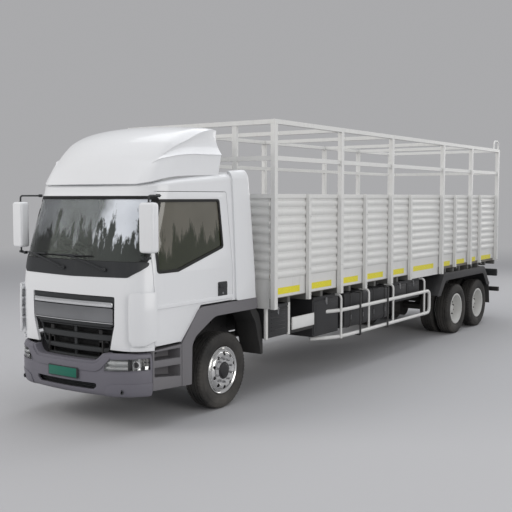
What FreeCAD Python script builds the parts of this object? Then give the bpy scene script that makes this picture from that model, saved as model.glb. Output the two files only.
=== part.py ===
import FreeCAD, Part
import math
import os

import Sketcher

# A three-axle stake-body truck with a tilting sleeper cab.
# Millimetres. +Z is up, the front faces -Y and the truck's left is +X.
# The origin is on the ground, at the middle of the truck's length and width.

SIZES = (
    # Chassis and running gear
    ("front_overhang", 1700), ("wheelbase", 7260), ("bogie_spacing", 1150),
    ("tail_overhang", 376), ("frame_half_width", 430), ("rail_height", 250),
    ("rail_flange", 70), ("rail_gauge", 8), ("rail_top", 1050), ("rail_lead", 1440),
    ("rail_tail", 120), ("member_length", 70), ("member_height", 150),
    ("tyre_radius", 475), ("tyre_width", 274), ("tyre_bead_radius", 282),
    ("tread_width", 214), ("shoulder_drop", 42), ("sidewall_bulge_radius", 380),
    ("front_tyre_face", 1024), ("rear_tyre_face", 1204), ("twin_spacing", 320),
    ("flange_radius", 292), ("flange_lip", 12), ("bead_heel", 16), 
    ("barrel_radius", 262), ("bead_seat", 34), ("disc_gauge", 14),
    ("disc_dish", 128), ("hub_radius", 112), ("hub_length", 118), ("hub_cap_radius", 62),
    ("hub_cap_length", 34), ("hand_hole_radius", 26), ("hand_hole_circle", 205),
    ("hand_holes", 10), ("nut_circle", 143), ("nut_radius", 15), ("nut_length", 26),
    ("drum_radius", 205), ("drum_length", 150), ("drum_gauge", 16),
    ("stub_radius", 44), ("fit_gap", 0.3), ("pin_gap", 0.6), ("move_gap", 6),
    ("kingpin_place", 700), ("kingpin_radius", 22), ("beam_eye_radius", 48),
    ("beam_eye_height", 96), ("beam_height", 100), ("beam_depth", 96),
    ("beam_drop", 95), ("beam_web", 28), ("beam_lip", 18), ("beam_flat", 480),
    ("ear_height", 38), ("ear_radius", 46), ("arm_reach", 215), ("arm_width", 42),
    ("arm_gauge", 26), ("ball_radius", 25), ("rod_radius", 19),
    ("spring_place", 395), ("spring_width", 74), ("leaf_gauge", 13), ("front_leaves", 4),
    ("front_spring_reach", 760), ("front_spring_rise", 175), ("spring_eye_radius", 34),
    ("hanger_width", 60), ("hanger_length", 110), ("rear_spring_place", 490),
    ("rear_leaves", 9), ("saddle_length", 240),
    ("axle_tube_radius", 72), ("axle_seat_height", 26), ("diff_radius", 215),
    ("spindle_radius", 44), ("spindle_length", 150),
    ("diff_width", 190), ("nose_radius", 86), ("nose_reach", 330),
    ("shaft_radius", 46), ("yoke_radius", 70), ("yoke_length", 90),
    ("engine_width", 640), ("engine_length", 1250), ("engine_height", 640),
    ("engine_bottom", 620), ("engine_front", 720),
    ("gearbox_length", 820), ("gearbox_width", 400), ("gearbox_height", 430),
    ("gearbox_tail", 260),
    # Load body
    ("bed_setback", 754), ("bed_length", 8570), ("bed_half_width", 1275),
    ("runner_height", 160), ("runner_width", 80), ("bearer_height", 80),
    ("bearer_width", 60), ("deck_gauge", 40), 
    ("post_depth", 65), ("post_width", 75), ("short_post_width", 60),
    ("short_post_depth", 50), ("post_foot", 1215), ("corner_foot", 1165),
    ("rear_foot", 1300), ("rack_top", 3620), ("top_rail_height", 60),
    ("top_rail_depth", 60), ("mid_rail_height", 62), ("mid_rail_bottom", 3094),
    ("mid_rail_depth", 40), ("panel_top", 2665), ("panel_rail_height", 55),
    ("sheet_gauge", 5), ("rib_pitch", 118), ("rib_depth", 26), ("rib_share", 0.78),
    ("rib_radius", 62), ("ribs", 9), ("skirt_bottom", 1300), ("deep_skirt_bottom", 1212),
    ("rear_skirt_bottom", 1345), ("front_upright_place", 620),
    ("roof_bar_width", 60), ("loop_reach", 250), ("loop_rise", 165),
    ("loop_radius", 17), ("gate_gauge", 42), ("gate_gap", 8), ("gate_bar", 60),
    
    # Underbody equipment
    ("guard_place", 1215), ("guard_radius", 24), ("guard_top", 950),
    ("guard_bottom", 560), ("guard_front", 1720), ("guard_rear", 5870),
    ("guard_bend", 95), ("guard_post_radius", 20), 
    ("guard_tuck", 70), 
    ("box_place", 1110), ("box_depth", 520), ("air_box_front", 810),
    ("air_box_length", 540), ("air_box_bottom", 760), ("battery_box_front", 2000),
    ("battery_box_length", 740), ("tank_front", 2930), ("tank_length", 1540),
    ("tank_bottom", 620), ("tool_box_front", 4585), ("tool_box_length", 1095),
    ("tool_box_bottom", 850), ("fender_place", 1250),
    ("fender_front", 6170), ("fender_rear", 8930), ("fender_top", 1210),
    ("fender_band", 158), ("fender_gauge", 14), ("fender_inside", 590),
    ("fender_foot", 810), ("fender_slope", 320), ("flap_bottom", 417),
    ("flap_rake", 60), ("flap_gauge", 12), ("underrun_height", 90),
    ("underrun_depth", 70), ("underrun_bottom", 595), ("underrun_half_width", 1190),
    ("underrun_arm_width", 90), ("tail_lamp_width", 420), ("tail_lamp_height", 150),
    ("tail_lamp_depth", 90), ("tail_lamp_bottom", 930),
    
    # Cab
    ("cab_half_width", 1050), ("cab_front", 1580), ("cab_rear", 636),
    ("cab_rear_rake", 0.0765), ("cab_bottom", 900), ("cowl_bottom", 1730),
    ("screen_bottom", 1970), ("screen_top", 2630), ("cab_roof", 2945),
    ("screen_setback", 30), ("screen_rake", 215), ("roof_setback", 330),
    ("roof_taper", 45), ("front_corner", 280), ("front_bow", 7000), ("rear_corner", 70),
    ("cab_wall", 40), ("glass_gauge", 8), ("glass_inset", 10),
    ("screen_half_width", 1000), ("cab_floor", 1360), ("footwell", 1070),
    ("floor_gauge", 40), ("footwell_length", 840), ("toe_length", 1360),
    ("toe_shelf", 1212), ("toe_run", 80), ("sill_top", 955),
    ("arch_start", 850), ("arch_slope", 362), ("arch_top", 1340),
    ("sleeper_start", 170), ("sleeper_proud", 28), ("door_front", 1300),
    ("door_rear", 145), ("door_top", 2690), ("door_gap", 6), 
    ("window_front", 1240), ("window_rear", 42), ("window_top", 2590),
    ("window_sill", 1780), ("window_kink", 897), ("window_kink_top", 2014),
    ("pillar", 55), ("tilt_forward", 1470), ("tilt_height", 990), ("tilt_pin_radius", 25),
    ("tilt_lug_radius", 45), ("tilt_lug_width", 50), ("tilt_plate_gauge", 20),
    ("grille_half_width", 660), ("grille_foot_half_width", 560), ("bar_bottom", 1200),
    ("bar_top", 1500), ("bar_gauge", 36), ("bar_proud", 26),
    ("lower_grille_top", 1160), ("lower_grille_bottom", 790),
    ("lower_half_width", 600), ("lower_foot_half_width", 385), ("slat_height", 46),
    ("slats", 3), ("slat_proud", 34), ("grille_back_gauge", 14), ("grille_setback", 1575),
    ("deflector_front", 1425), ("deflector_rear", 144), ("deflector_bottom", 2735),
    ("deflector_top", 3505), ("deflector_half_width", 985),
    ("deflector_gauge", 22),
    ("deflector_corner", 330), ("deflector_shoulder", 230),
    ("mirror_width", 205), ("mirror_height", 560), ("mirror_depth", 130),
    ("mirror_place", 1100), ("mirror_bottom", 2005), ("mirror_lead", 1680),
    ("mirror_corner", 28), ("mirror_arm_radius", 13), ("mirror_arm_rise", 90),
    ("mirror_arm_root", 920), ("mirror_arm_reach", 420),
    ("seat_width", 500), ("seat_depth", 480), ("seat_height", 150),
    ("seat_base_height", 250), ("seat_back_height", 720), ("seat_back_gauge", 130),
    ("seat_back_rake", 90), ("seat_place", 560), ("seat_front", 700),
    ("bunk_depth", 480), ("bunk_height", 90), 
    ("dash_depth", 480), ("dash_height", 330), ("dash_top", 1950),
    ("wheel_rim_radius", 225), ("wheel_grip_radius", 15), ("wheel_tilt", 35),
    ("wheel_height", 1985), ("wheel_setback", 935), ("column_radius", 32),
    ("column_length", 330), ("spokes", 3),
    # Bumper, lamps and steps
    ("bumper_half_width", 1060), ("bumper_bottom", 372), ("bumper_top", 838),
    ("bumper_wall", 45), ("bumper_corner", 330), ("bumper_bow", 6200),
    ("bumper_rear", 1312), ("bumper_mouth_bottom", 745), ("mouth_half_width", 620),
    ("mouth_foot_half_width", 420), ("lamp_start", 520), 
    ("lamp_bottom", 644), ("lamp_top", 787), 
    ("slot_half_width", 500), ("slot_bottom", 430), ("slot_top", 512),
    ("crash_arm_height", 160), ("crash_post_depth", 60),
    ("step_front", 1300), ("step_rear", 700), ("step_bottom", 457),
    ("step_top", 944), ("step_depth", 230), ("step_recess_depth", 150),
    ("tread_bar_bottom", 730), ("tread_bar_top", 776), ("arch_proud", 1062),
    ("arch_depth", 330), ("arch_gauge", 40), ("arch_inner_top", 1180),
    ("arch_rear", 660), ("inner_arch_start", 683),
    ("inner_arch_slope", 492), ("arch_hook", 200), ("mud_flap_bottom", 560),
    ("hinge_leaf_height", 90), ("hinge_leaf_width", 28), ("corner_run", 28),
    ("cut_overrun", 60),
)

# Shares of a length, from its front, its foot or its middle.
TREAD_CROWN_SHARE = 0.9
BAR_LIP_SHARE = 0.72
COWL_WRAP_SHARE = 0.7
FIRST_SLAT_SHARE = 0.45
FIRST_RIB_SHARE = 0.3
BROW_BEND_SHARE = 0.55
CROWN_BEND_SHARE = 1.6
GUARD_POST_SHARES = (0.22, 0.434, 0.643, 0.947)
POST_SHARES = (0.0, 0.1026, 0.2066, 0.3002, 0.4035, 0.4941, 0.6533, 0.7311, 0.8204,
               0.8870, 1.0)
FULL_POSTS = (0, 2, 4, 6, 8, 10)
REAR_POSTS = (7, 8, 9, 10)
HINGE_SHARES = (0.12, 0.45, 0.8)
MEMBER_SHARES = (0.0, 0.275, 0.39, 0.53, 0.70, 0.835, 0.985)
DEFLECTOR_SHARES = ((0.0, 0.0), (0.14, 0.36), (0.47, 0.845), (0.905, 1.0),
                    (0.963, 0.95), (1.0, 0.62), (0.95, 0.2))


class Size:
    """A size with its value and the formula that ties it to the sheet."""

    def __init__(self, value, formula):
        self.value = float(value)
        self.formula = formula

    def __add__(self, other):
        other = sized(other)
        return Size(self.value + other.value, f"({self.formula} + {other.formula})")

    def __sub__(self, other):
        other = sized(other)
        return Size(self.value - other.value, f"({self.formula} - {other.formula})")

    def __mul__(self, other):
        other = sized(other)
        return Size(self.value * other.value, f"({self.formula} * {other.formula})")

    def __truediv__(self, other):
        other = sized(other)
        return Size(self.value / other.value, f"({self.formula} / {other.formula})")

    def __neg__(self):
        return Size(-self.value, f"(0 - {self.formula})")

    def __radd__(self, other):
        return sized(other) + self

    def __rsub__(self, other):
        return sized(other) - self

    def __rmul__(self, other):
        return sized(other) * self


def sized(number):
    """A plain number as a Size, and a Size as it is."""
    if isinstance(number, Size):
        return number
    return Size(number, f"({float(number)})")


def lesser(first, second):
    """The smaller of two sizes."""
    return first if first.value <= second.value else second


def greater(first, second):
    """The larger of two sizes."""
    return first if first.value > second.value else second


def root(size):
    """The square root of a size."""
    return Size(math.sqrt(size.value), f"sqrt({size.formula})")


class Ring:
    """A full circle in a sketch."""

    def __init__(self, across, up, radius):
        self.across = sized(across)
        self.up = sized(up)
        self.radius = sized(radius)


doc = FreeCAD.newDocument("Truck")
sheet = doc.addObject("Spreadsheet::Sheet", "Sizes")
for row, (alias, number) in enumerate(SIZES, start=1):
    sheet.set(f"A{row}", alias)
    sheet.set(f"B{row}", str(number))
    sheet.setAlias(f"B{row}", alias)
doc.recompute()


class Sheet:
    """The driving sizes by name, as the sheet holds them."""

    def __getattr__(self, alias):
        return Size(float(sheet.get(alias)), f"Sizes.{alias}")


s = Sheet()
ORIGIN = (-1, 1)
PLANES = {"XY": "XY_Plane", "XZ": "XZ_Plane", "YZ": "YZ_Plane"}
AXES = {"X": "X_Axis", "Y": "Y_Axis", "Z": "Z_Axis"}
EXPORTED = []


def origin_part(body, role):
    """The origin plane or axis of a body that has this role."""
    return [part for part in body.Origin.OriginFeatures if part.Role == role][0]


def pin_point(sketch, line, end, across, up):
    """Ties a point of a sketch line to two sizes."""
    for kind, size in (("DistanceX", across), ("DistanceY", up)):
        made = sketch.addConstraint(
            Sketcher.Constraint(kind, *ORIGIN, line, end, size.value))
        sketch.setExpression(f"Constraints[{made}]", size.formula)


def arc_between(start, end, radius):
    """The shorter arc between two points, turning left where the radius is positive."""
    chord = end - start
    middle = (start + end) * 0.5
    height = math.sqrt(max(radius ** 2 - chord.Length ** 2 / 4, 0.0))
    left = FreeCAD.Vector(-chord.y, chord.x, 0).normalize()
    centre = middle + left * math.copysign(height, radius)
    first, last = (start, end) if radius > 0 else (end, start)
    from_angle = math.atan2(first.y - centre.y, first.x - centre.x)
    to_angle = math.atan2(last.y - centre.y, last.x - centre.x)
    if to_angle < from_angle:
        to_angle += 2 * math.pi
    circle = Part.Circle(centre, FreeCAD.Vector(0, 0, 1), abs(radius))
    return Part.ArcOfCircle(circle, from_angle, to_angle)


def draw(sketch, outline, closed=True):
    """Draws an outline. A point's third value is the radius of the arc that follows it."""
    if isinstance(outline, Ring):
        middle = FreeCAD.Vector(outline.across.value, outline.up.value, 0)
        ring = sketch.addGeometry(
            Part.Circle(middle, FreeCAD.Vector(0, 0, 1), outline.radius.value), False)
        pin_point(sketch, ring, 3, outline.across, outline.up)
        made = sketch.addConstraint(
            Sketcher.Constraint("Radius", ring, outline.radius.value))
        sketch.setExpression(f"Constraints[{made}]", outline.radius.formula)
        return
    points = [(sized(point[0]), sized(point[1]), sized(point[2]) if len(point) > 2 else None)
              for point in outline]
    spots = [FreeCAD.Vector(across.value, up.value, 0) for across, up, bend in points]
    count = len(points) if closed else len(points) - 1
    ends = []
    for i in range(count):
        start, end = spots[i], spots[(i + 1) % len(points)]
        bend = points[i][2]
        if bend is None:
            made = sketch.addGeometry(Part.LineSegment(start, end), False)
            ends.append((made, 1, 2))
            continue
        made = sketch.addGeometry(arc_between(start, end, bend.value), False)
        ends.append((made, 1, 2) if bend.value > 0 else (made, 2, 1))
        radius = bend if bend.value > 0 else -bend
        held = sketch.addConstraint(Sketcher.Constraint("Radius", made, radius.value))
        sketch.setExpression(f"Constraints[{held}]", radius.formula)
    for i in range(count):
        pin_point(sketch, ends[i][0], ends[i][1], points[i][0], points[i][1])
        if i + 1 < count or closed:
            follower = ends[(i + 1) % count]
            sketch.addConstraint(Sketcher.Constraint(
                "Coincident", ends[i][0], ends[i][2], follower[0], follower[1]))
    if not closed:
        pin_point(sketch, ends[-1][0], ends[-1][2], points[-1][0], points[-1][1])


class Piece:
    """One body made of sketched features that are tied to the sheet."""

    def __init__(self, name):
        self.name = name
        self.body = doc.addObject("PartDesign::Body", name)
        self.body.Label = name
        self.body.AllowCompound = True
        self.made = 0

    def feature(self, kind):
        self.made += 1
        return self.body.newObject(kind, f"{self.name}_{self.made}")

    def sketch(self, plane, offset, outlines, closed=True):
        """A sketch on an origin plane, moved along the plane's normal by the offset."""
        sketch = self.feature("Sketcher::SketchObject")
        sketch.AttachmentSupport = (origin_part(self.body, PLANES[plane]), [""])
        sketch.MapMode = "FlatFace"
        sketch.AttachmentOffset = FreeCAD.Placement(
            FreeCAD.Vector(0, 0, sized(offset).value), FreeCAD.Rotation())
        sketch.setExpression("AttachmentOffset.Base.z", sized(offset).formula)
        for outline in outlines:
            draw(sketch, outline, closed)
        return sketch

    def pad(self, plane, outlines, start, end):
        """Fills outlines between two places along the plane's axis."""
        start, end = sized(start), sized(end)
        low, high = lesser(start, end), greater(start, end)
        base = -high if plane == "XZ" else low
        pad = self.feature("PartDesign::Pad")
        pad.Profile = self.sketch(plane, base, outlines)
        pad.setExpression("Length", (high - low).formula)
        return self

    def pocket(self, plane, outlines, start, end):
        """Cuts outlines between two places along the plane's axis."""
        start, end = sized(start), sized(end)
        low, high = lesser(start, end), greater(start, end)
        base = -low if plane == "XZ" else high
        pocket = self.feature("PartDesign::Pocket")
        pocket.Profile = self.sketch(plane, base, outlines)
        pocket.setExpression("Length", (high - low).formula)
        return self

    def revolve(self, plane, outline, axis, cut=False):
        """Turns an outline once round an origin axis."""
        kind = "PartDesign::Groove" if cut else "PartDesign::Revolution"
        turned = self.feature(kind)
        turned.Profile = self.sketch(plane, 0, [outline])
        turned.ReferenceAxis = (origin_part(self.body, AXES[axis]), [""])
        turned.Angle = 360
        return self

    def polar(self, axis, count):
        """Repeats the last feature round an origin axis."""
        last = self.body.Tip
        pattern = self.feature("PartDesign::PolarPattern")
        pattern.Originals = [last]
        pattern.Axis = (origin_part(self.body, AXES[axis]), [""])
        pattern.Angle = 360
        pattern.Occurrences = int(sized(count).value)
        pattern.setExpression("Occurrences", sized(count).formula)
        self.body.Tip = pattern
        return self

    def loft(self, sections, cut=False):
        """Skins outlines that lie at rising heights, each given as (height, outline)."""
        kind = "PartDesign::SubtractiveLoft" if cut else "PartDesign::AdditiveLoft"
        skins = self.feature(kind)
        sketches = [self.sketch("XY", height, [outline]) for height, outline in sections]
        skins.Profile = sketches[0]
        skins.Sections = sketches[1:]
        skins.Ruled = True
        return self

    def pipe(self, plane, offset, path, start_plane, start_offset, ring):
        """Runs a round tube along an open path, from the ring at its start."""
        tube = self.feature("PartDesign::AdditivePipe")
        tube.Profile = self.sketch(start_plane, start_offset, [ring])
        tube.Spine = self.sketch(plane, offset, [path], closed=False)
        return self

    def place(self, across, along, up):
        """Sets the piece's place in the truck."""
        for axis, size in (("x", across), ("y", along), ("z", up)):
            self.body.setExpression(f"Placement.Base.{axis}", sized(size).formula)
        return self

    def keep(self):
        """Keeps the body as a sub-part of its own."""
        EXPORTED.append(self.body)
        return self


def joined(kind, name, shapes, keep=True):
    """A Part boolean of finished objects."""
    made = doc.addObject(kind, name)
    made.Label = name
    if kind == "Part::Cut":
        made.Base, made.Tool = shapes
    else:
        made.Shapes = shapes
    if keep:
        EXPORTED.append(made)
    return made


def box(low_across, low_up, high_across, high_up):
    """A rectangle's outline from two corners."""
    low_across, high_across = sized(low_across), sized(high_across)
    low_up, high_up = sized(low_up), sized(high_up)
    left, right = lesser(low_across, high_across), greater(low_across, high_across)
    return ((left, low_up), (right, low_up), (right, high_up), (left, high_up))


# Where the axles and the load body stand along the truck.
truck_length = s.front_overhang + s.bed_setback + s.bed_length + s.tail_overhang
axle = -truck_length / 2 + s.front_overhang
bed_front = axle + s.bed_setback
bed_rear = bed_front + s.bed_length
tail = bed_rear + s.tail_overhang
rear_axles = (axle + s.wheelbase, axle + s.wheelbase + s.bogie_spacing)
wheel_height = s.tyre_radius
rail_bottom = s.rail_top - s.rail_height
shaft_height = wheel_height + s.axle_tube_radius * 2
runner_top = s.rail_top + s.runner_height
bearer_top = runner_top + s.bearer_height
deck_top = bearer_top + s.deck_gauge
post_inside = s.bed_half_width - s.post_depth
full_posts = [POST_SHARES[i] for i in FULL_POSTS]


def post_middle(share):
    """Where a post stands along the body, its end posts flush with the ends."""
    return bed_front + s.post_width / 2 + share * (s.bed_length - s.post_width)


def frame_rails():
    """Two channel rails with their flanges inwards, and the members that join them."""
    rails = Piece("frame_rails")
    front, rear = axle - s.rail_lead, tail - s.rail_tail
    inside = s.frame_half_width - s.rail_flange
    for side in (1, -1):
        web = side * (s.frame_half_width - s.rail_gauge)
        channel = (
            (side * inside, rail_bottom), (side * s.frame_half_width, rail_bottom),
            (side * s.frame_half_width, s.rail_top), (side * inside, s.rail_top),
            (side * inside, s.rail_top - s.rail_gauge), (web, s.rail_top - s.rail_gauge),
            (web, rail_bottom + s.rail_gauge), (side * inside, rail_bottom + s.rail_gauge))
        rails.pad("XZ", [channel], front, rear)
    web = s.frame_half_width - s.rail_gauge - s.fit_gap
    middle = s.rail_top - s.rail_height / 2
    for share in MEMBER_SHARES:
        start = front + share * (rear - front - s.member_length)
        rails.pad("XZ", [box(-web, middle - s.member_height / 2,
                             web, middle + s.member_height / 2)],
                  start, start + s.member_length)
    rails.keep()


def cab_mounts():
    """The plates and pins at the front of the rails that the cab tilts on."""
    mounts = Piece("cab_mounts")
    pivot = axle - s.tilt_forward
    for side in (1, -1):
        inner = side * s.frame_half_width
        outer = inner + side * s.tilt_plate_gauge
        head, back = s.tilt_lug_radius, pivot + 3 * s.tilt_lug_radius
        plate = ((pivot - head, rail_bottom), (back, rail_bottom),
                 (back, s.rail_top - head), (pivot + head, s.tilt_height + head),
                 (pivot, s.tilt_height + head, head), (pivot - head, s.tilt_height))
        mounts.pad("YZ", [plate], inner, outer)
        mounts.pad("YZ", [Ring(pivot, s.tilt_height, s.tilt_pin_radius)],
                   outer, outer + side * (s.tilt_lug_width + 2 * s.move_gap))
    mounts.keep()


def engine():
    """The engine as one plain block between the rails."""
    start = axle - s.engine_front
    block = Piece("engine")
    half = s.engine_width / 2
    block.pad("XZ", [box(-half, s.engine_bottom, half, s.engine_bottom + s.engine_height)],
              start, start + s.engine_length)
    block.keep()


def gearbox():
    """The gearbox behind the engine, narrowing to its output flange."""
    front = axle - s.engine_front + s.engine_length
    high = s.engine_bottom + s.gearbox_height
    case = Piece("gearbox")
    half = s.gearbox_width / 2
    tail_half = s.yoke_radius + s.leaf_gauge
    waist = front + s.gearbox_length - s.gearbox_tail
    shaft = shaft_height
    case.pad("XY", [((-half, front), (half, front), (half, waist),
                     (tail_half, waist + s.gearbox_tail),
                     (-tail_half, waist + s.gearbox_tail),
                     (-half, waist))], s.engine_bottom, high)
    end = waist + s.gearbox_tail
    case.pocket("YZ", [((waist, s.engine_bottom), (end + s.cut_overrun, s.engine_bottom),
                        (end + s.cut_overrun, shaft - s.yoke_radius),
                        (end, shaft - s.yoke_radius))], -half, half)
    case.keep()


def shaft_run(piece, start, end, height):
    """One propeller shaft between two flanges, with a joint at each end."""
    piece.pad("XZ", [Ring(0, height, s.yoke_radius)], start, start + s.yoke_length)
    piece.pad("XZ", [Ring(0, height, s.shaft_radius)], start + s.yoke_length, end - s.yoke_length)
    piece.pad("XZ", [Ring(0, height, s.yoke_radius)], end - s.yoke_length, end)


def prop_shafts():
    """The shafts from the gearbox to the first rear axle and on to the second."""
    shafts = Piece("prop_shafts")
    height = shaft_height
    gearbox_end = axle - s.engine_front + s.engine_length + s.gearbox_length
    shaft_run(shafts, gearbox_end, rear_axles[0] - s.nose_reach, height)
    shaft_run(shafts, rear_axles[0] + s.nose_reach, rear_axles[1] - s.nose_reach, height)
    shafts.keep()


def front_axle():
    """The forged beam, dropped between the springs, with an eye for each kingpin."""
    beam = Piece("front_axle")
    half = s.beam_depth / 2
    low = wheel_height - s.beam_drop - s.beam_height / 2
    high = low + s.beam_height
    eye_low = wheel_height - s.beam_eye_height / 2
    eye_high = wheel_height + s.beam_eye_height / 2
    inner = s.kingpin_place - s.ear_radius - s.move_gap
    outline = ((-inner, eye_low), (-s.beam_flat, low), (s.beam_flat, low), (inner, eye_low),
               (s.kingpin_place, eye_low), (s.kingpin_place, eye_high), (inner, eye_high),
               (s.beam_flat, high), (-s.beam_flat, high), (-inner, eye_high),
               (-s.kingpin_place, eye_high), (-s.kingpin_place, eye_low))
    beam.pad("XZ", [outline], axle - half, axle + half)
    recess = (s.beam_depth - s.beam_web) / 2
    groove = box(-s.beam_flat, low + s.beam_lip, s.beam_flat, high - s.beam_lip)
    beam.pocket("XZ", [groove], axle - half, axle - half + recess)
    beam.pocket("XZ", [groove], axle + half - recess, axle + half)
    for side in (1, -1):
        eye = Ring(side * s.kingpin_place, axle, s.beam_eye_radius)
        beam.pad("XY", [eye], eye_low, eye_high)
    for side in (1, -1):
        bore = Ring(side * s.kingpin_place, axle, s.kingpin_radius + s.pin_gap)
        beam.pocket("XY", [bore], eye_low, eye_high)
    beam.keep()


def knuckle(name, side):
    """A steering knuckle: ears above and below the beam's eye, pin, stub axle and arm."""
    piece = Piece(name)
    across = side * s.kingpin_place
    eye_low = wheel_height - s.beam_eye_height / 2 - s.pin_gap
    eye_high = wheel_height + s.beam_eye_height / 2 + s.pin_gap
    plate_in = across + side * (s.beam_eye_radius + s.move_gap)
    plate_out = plate_in + side * s.arm_gauge
    ear = box(across, axle - s.ear_radius, plate_out, axle + s.ear_radius)
    piece.pad("XY", [Ring(across, axle, s.kingpin_radius)],
              eye_low - s.ear_height, eye_high + s.ear_height)
    for low, high in ((eye_low - s.ear_height, eye_low), (eye_high, eye_high + s.ear_height)):
        piece.pad("XY", [Ring(across, axle, s.ear_radius)], low, high)
        piece.pad("XY", [ear], low, high)
    piece.pad("YZ", [box(axle - s.ear_radius, eye_low - s.ear_height,
                         axle + s.ear_radius, eye_high + s.ear_height)], plate_in, plate_out)
    stub_end = side * (s.front_tyre_face - s.disc_dish / 2 - s.pin_gap)
    piece.pad("YZ", [Ring(axle, wheel_height, s.stub_radius)], plate_out, stub_end)
    arm_low = eye_low - s.ear_height
    arm = box(across - s.arm_width / 2, axle, across + s.arm_width / 2, axle + s.arm_reach)
    piece.pad("XY", [arm], arm_low, arm_low + s.arm_gauge)
    piece.pad("XY", [Ring(across, axle + s.arm_reach, s.ball_radius)],
              arm_low, arm_low + s.arm_gauge)
    piece.keep()


def tie_rod():
    """The rod that joins the two steering arms under their ball joints."""
    rod = Piece("tie_rod")
    top = wheel_height - s.beam_eye_height / 2 - s.pin_gap - s.ear_height - s.pin_gap
    along = axle + s.arm_reach
    centre = top - s.ball_radius
    for side in (1, -1):
        rod.pad("XY", [Ring(side * s.kingpin_place, along, s.ball_radius)],
                top - 2 * s.ball_radius, top)
    reach = s.kingpin_place - s.ball_radius / 2
    rod.pad("YZ", [Ring(along, centre, s.rod_radius)], -reach, reach)
    rod.keep()


def leaf_pack(piece, low, high, middle, reach, rise, seat, leaves, upward):
    """A pack of curved leaves between two sides, the main leaf longest."""
    for i in range(int(leaves.value)):
        share = 1 - i / (leaves.value + 1)
        half = reach * share
        lift = rise * (share * share)
        level = seat + upward * (i * -1) * s.leaf_gauge
        near = level + upward * lift
        radius = (half * half + lift * lift) / (2 * lift)
        leaf = ((middle - half, near, upward * radius), (middle + half, near),
                (middle + half, near + s.leaf_gauge, -upward * (radius - s.leaf_gauge)),
                (middle - half, near + s.leaf_gauge))
        piece.pad("YZ", [leaf], low, high)


def front_springs():
    """A leaf pack over the front axle on each side, hung from the rail at both ends."""
    springs = Piece("front_springs")
    beam_top = wheel_height - s.beam_drop + s.beam_height / 2
    stack = s.front_leaves * s.leaf_gauge
    for side in (1, -1):
        low = side * s.spring_place - s.spring_width / 2
        high = side * s.spring_place + s.spring_width / 2
        springs.pad("YZ", [box(axle - s.hanger_length, beam_top,
                               axle + s.hanger_length, beam_top + s.axle_seat_height)], low, high)
        seat = beam_top + s.axle_seat_height + stack - s.leaf_gauge
        leaf_pack(springs, low, high, axle, s.front_spring_reach, s.front_spring_rise,
                  seat, s.front_leaves, 1)
        end_height = seat + s.front_spring_rise + s.leaf_gauge / 2
        for end in (-1, 1):
            along = axle + end * s.front_spring_reach
            springs.pad("YZ", [Ring(along, end_height, s.spring_eye_radius)], low, high)
            springs.pad("YZ", [((along - s.spring_eye_radius, end_height),
                                (along + s.spring_eye_radius, end_height),
                                (along + s.hanger_length / 2, rail_bottom),
                                (along - s.hanger_length / 2, rail_bottom))], low, high)
    springs.keep()


def rear_springs():
    """The bogie's leaf packs, carried at a saddle between the axles on each side."""
    springs = Piece("rear_springs")
    seat = wheel_height + s.axle_tube_radius + s.axle_seat_height
    middle = (rear_axles[0] + rear_axles[1]) / 2
    reach = s.bogie_spacing / 2 + s.spring_width
    for side in (1, -1):
        low = side * s.rear_spring_place - s.spring_width / 2
        high = side * s.rear_spring_place + s.spring_width / 2
        for along in rear_axles:
            springs.pad("YZ", [box(along - s.axle_tube_radius, wheel_height + s.axle_tube_radius,
                                   along + s.axle_tube_radius, seat)], low, high)
        stack = s.rear_leaves * s.leaf_gauge
        springs.pad("YZ", [((middle - reach, seat), (middle + reach, seat),
                            (middle + reach, seat + s.leaf_gauge),
                            (middle + s.saddle_length / 2, seat + stack),
                            (middle - s.saddle_length / 2, seat + stack),
                            (middle - reach, seat + s.leaf_gauge))], low, high)
        inner, outer = sized(side * s.frame_half_width), sized(high if side > 0 else low)
        springs.pad("YZ", [((middle - s.saddle_length / 2, seat + stack),
                            (middle + s.saddle_length / 2, seat + stack),
                            (middle + s.saddle_length, s.rail_top - s.rail_gauge),
                            (middle - s.saddle_length, s.rail_top - s.rail_gauge))], inner, outer)
    springs.keep()


def rear_axle_housings():
    """Two driven axles with their round housings and pinion noses."""
    housings = Piece("rear_axles")
    reach = s.rear_tyre_face - s.tyre_width - s.twin_spacing - s.move_gap
    for along in rear_axles:
        housings.pad("YZ", [Ring(along, wheel_height, s.axle_tube_radius)], -reach, reach)
        housings.pad("YZ", [Ring(along, wheel_height, s.diff_radius)],
                     -s.diff_width / 2, s.diff_width / 2)
        for side in (1, -1):
            end = side * reach
            housings.pad("YZ", [Ring(along, wheel_height, s.spindle_radius)],
                         end, end + side * s.spindle_length)
    for start, end in ((rear_axles[0] - s.nose_reach, rear_axles[0] + s.nose_reach),
                       (rear_axles[1] - s.nose_reach, rear_axles[1])):
        housings.pad("XZ", [Ring(0, shaft_height, s.nose_radius)], start, end)
    housings.keep()


def tyre_outline(inner, outer, way):
    """Half a tyre's section from the axle outwards, as (along the axle, radius)."""
    middle = (inner + outer) / 2
    low = middle - way * s.tyre_width / 2
    high = middle + way * s.tyre_width / 2
    tread = s.tread_width / 2
    bead = s.bead_seat
    heel = s.flange_radius + s.bead_heel
    crown = tread * TREAD_CROWN_SHARE
    shoulder = s.tyre_radius - s.shoulder_drop / 4
    return ((low + way * bead, s.tyre_bead_radius), (high - way * bead, s.tyre_bead_radius),
            (high - way * bead, heel), (high, s.sidewall_bulge_radius),
            (middle + way * tread, shoulder), (middle + way * crown, s.tyre_radius),
            (middle - way * crown, s.tyre_radius), (middle - way * tread, shoulder),
            (low, s.sidewall_bulge_radius), (low + way * bead, heel))


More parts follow.
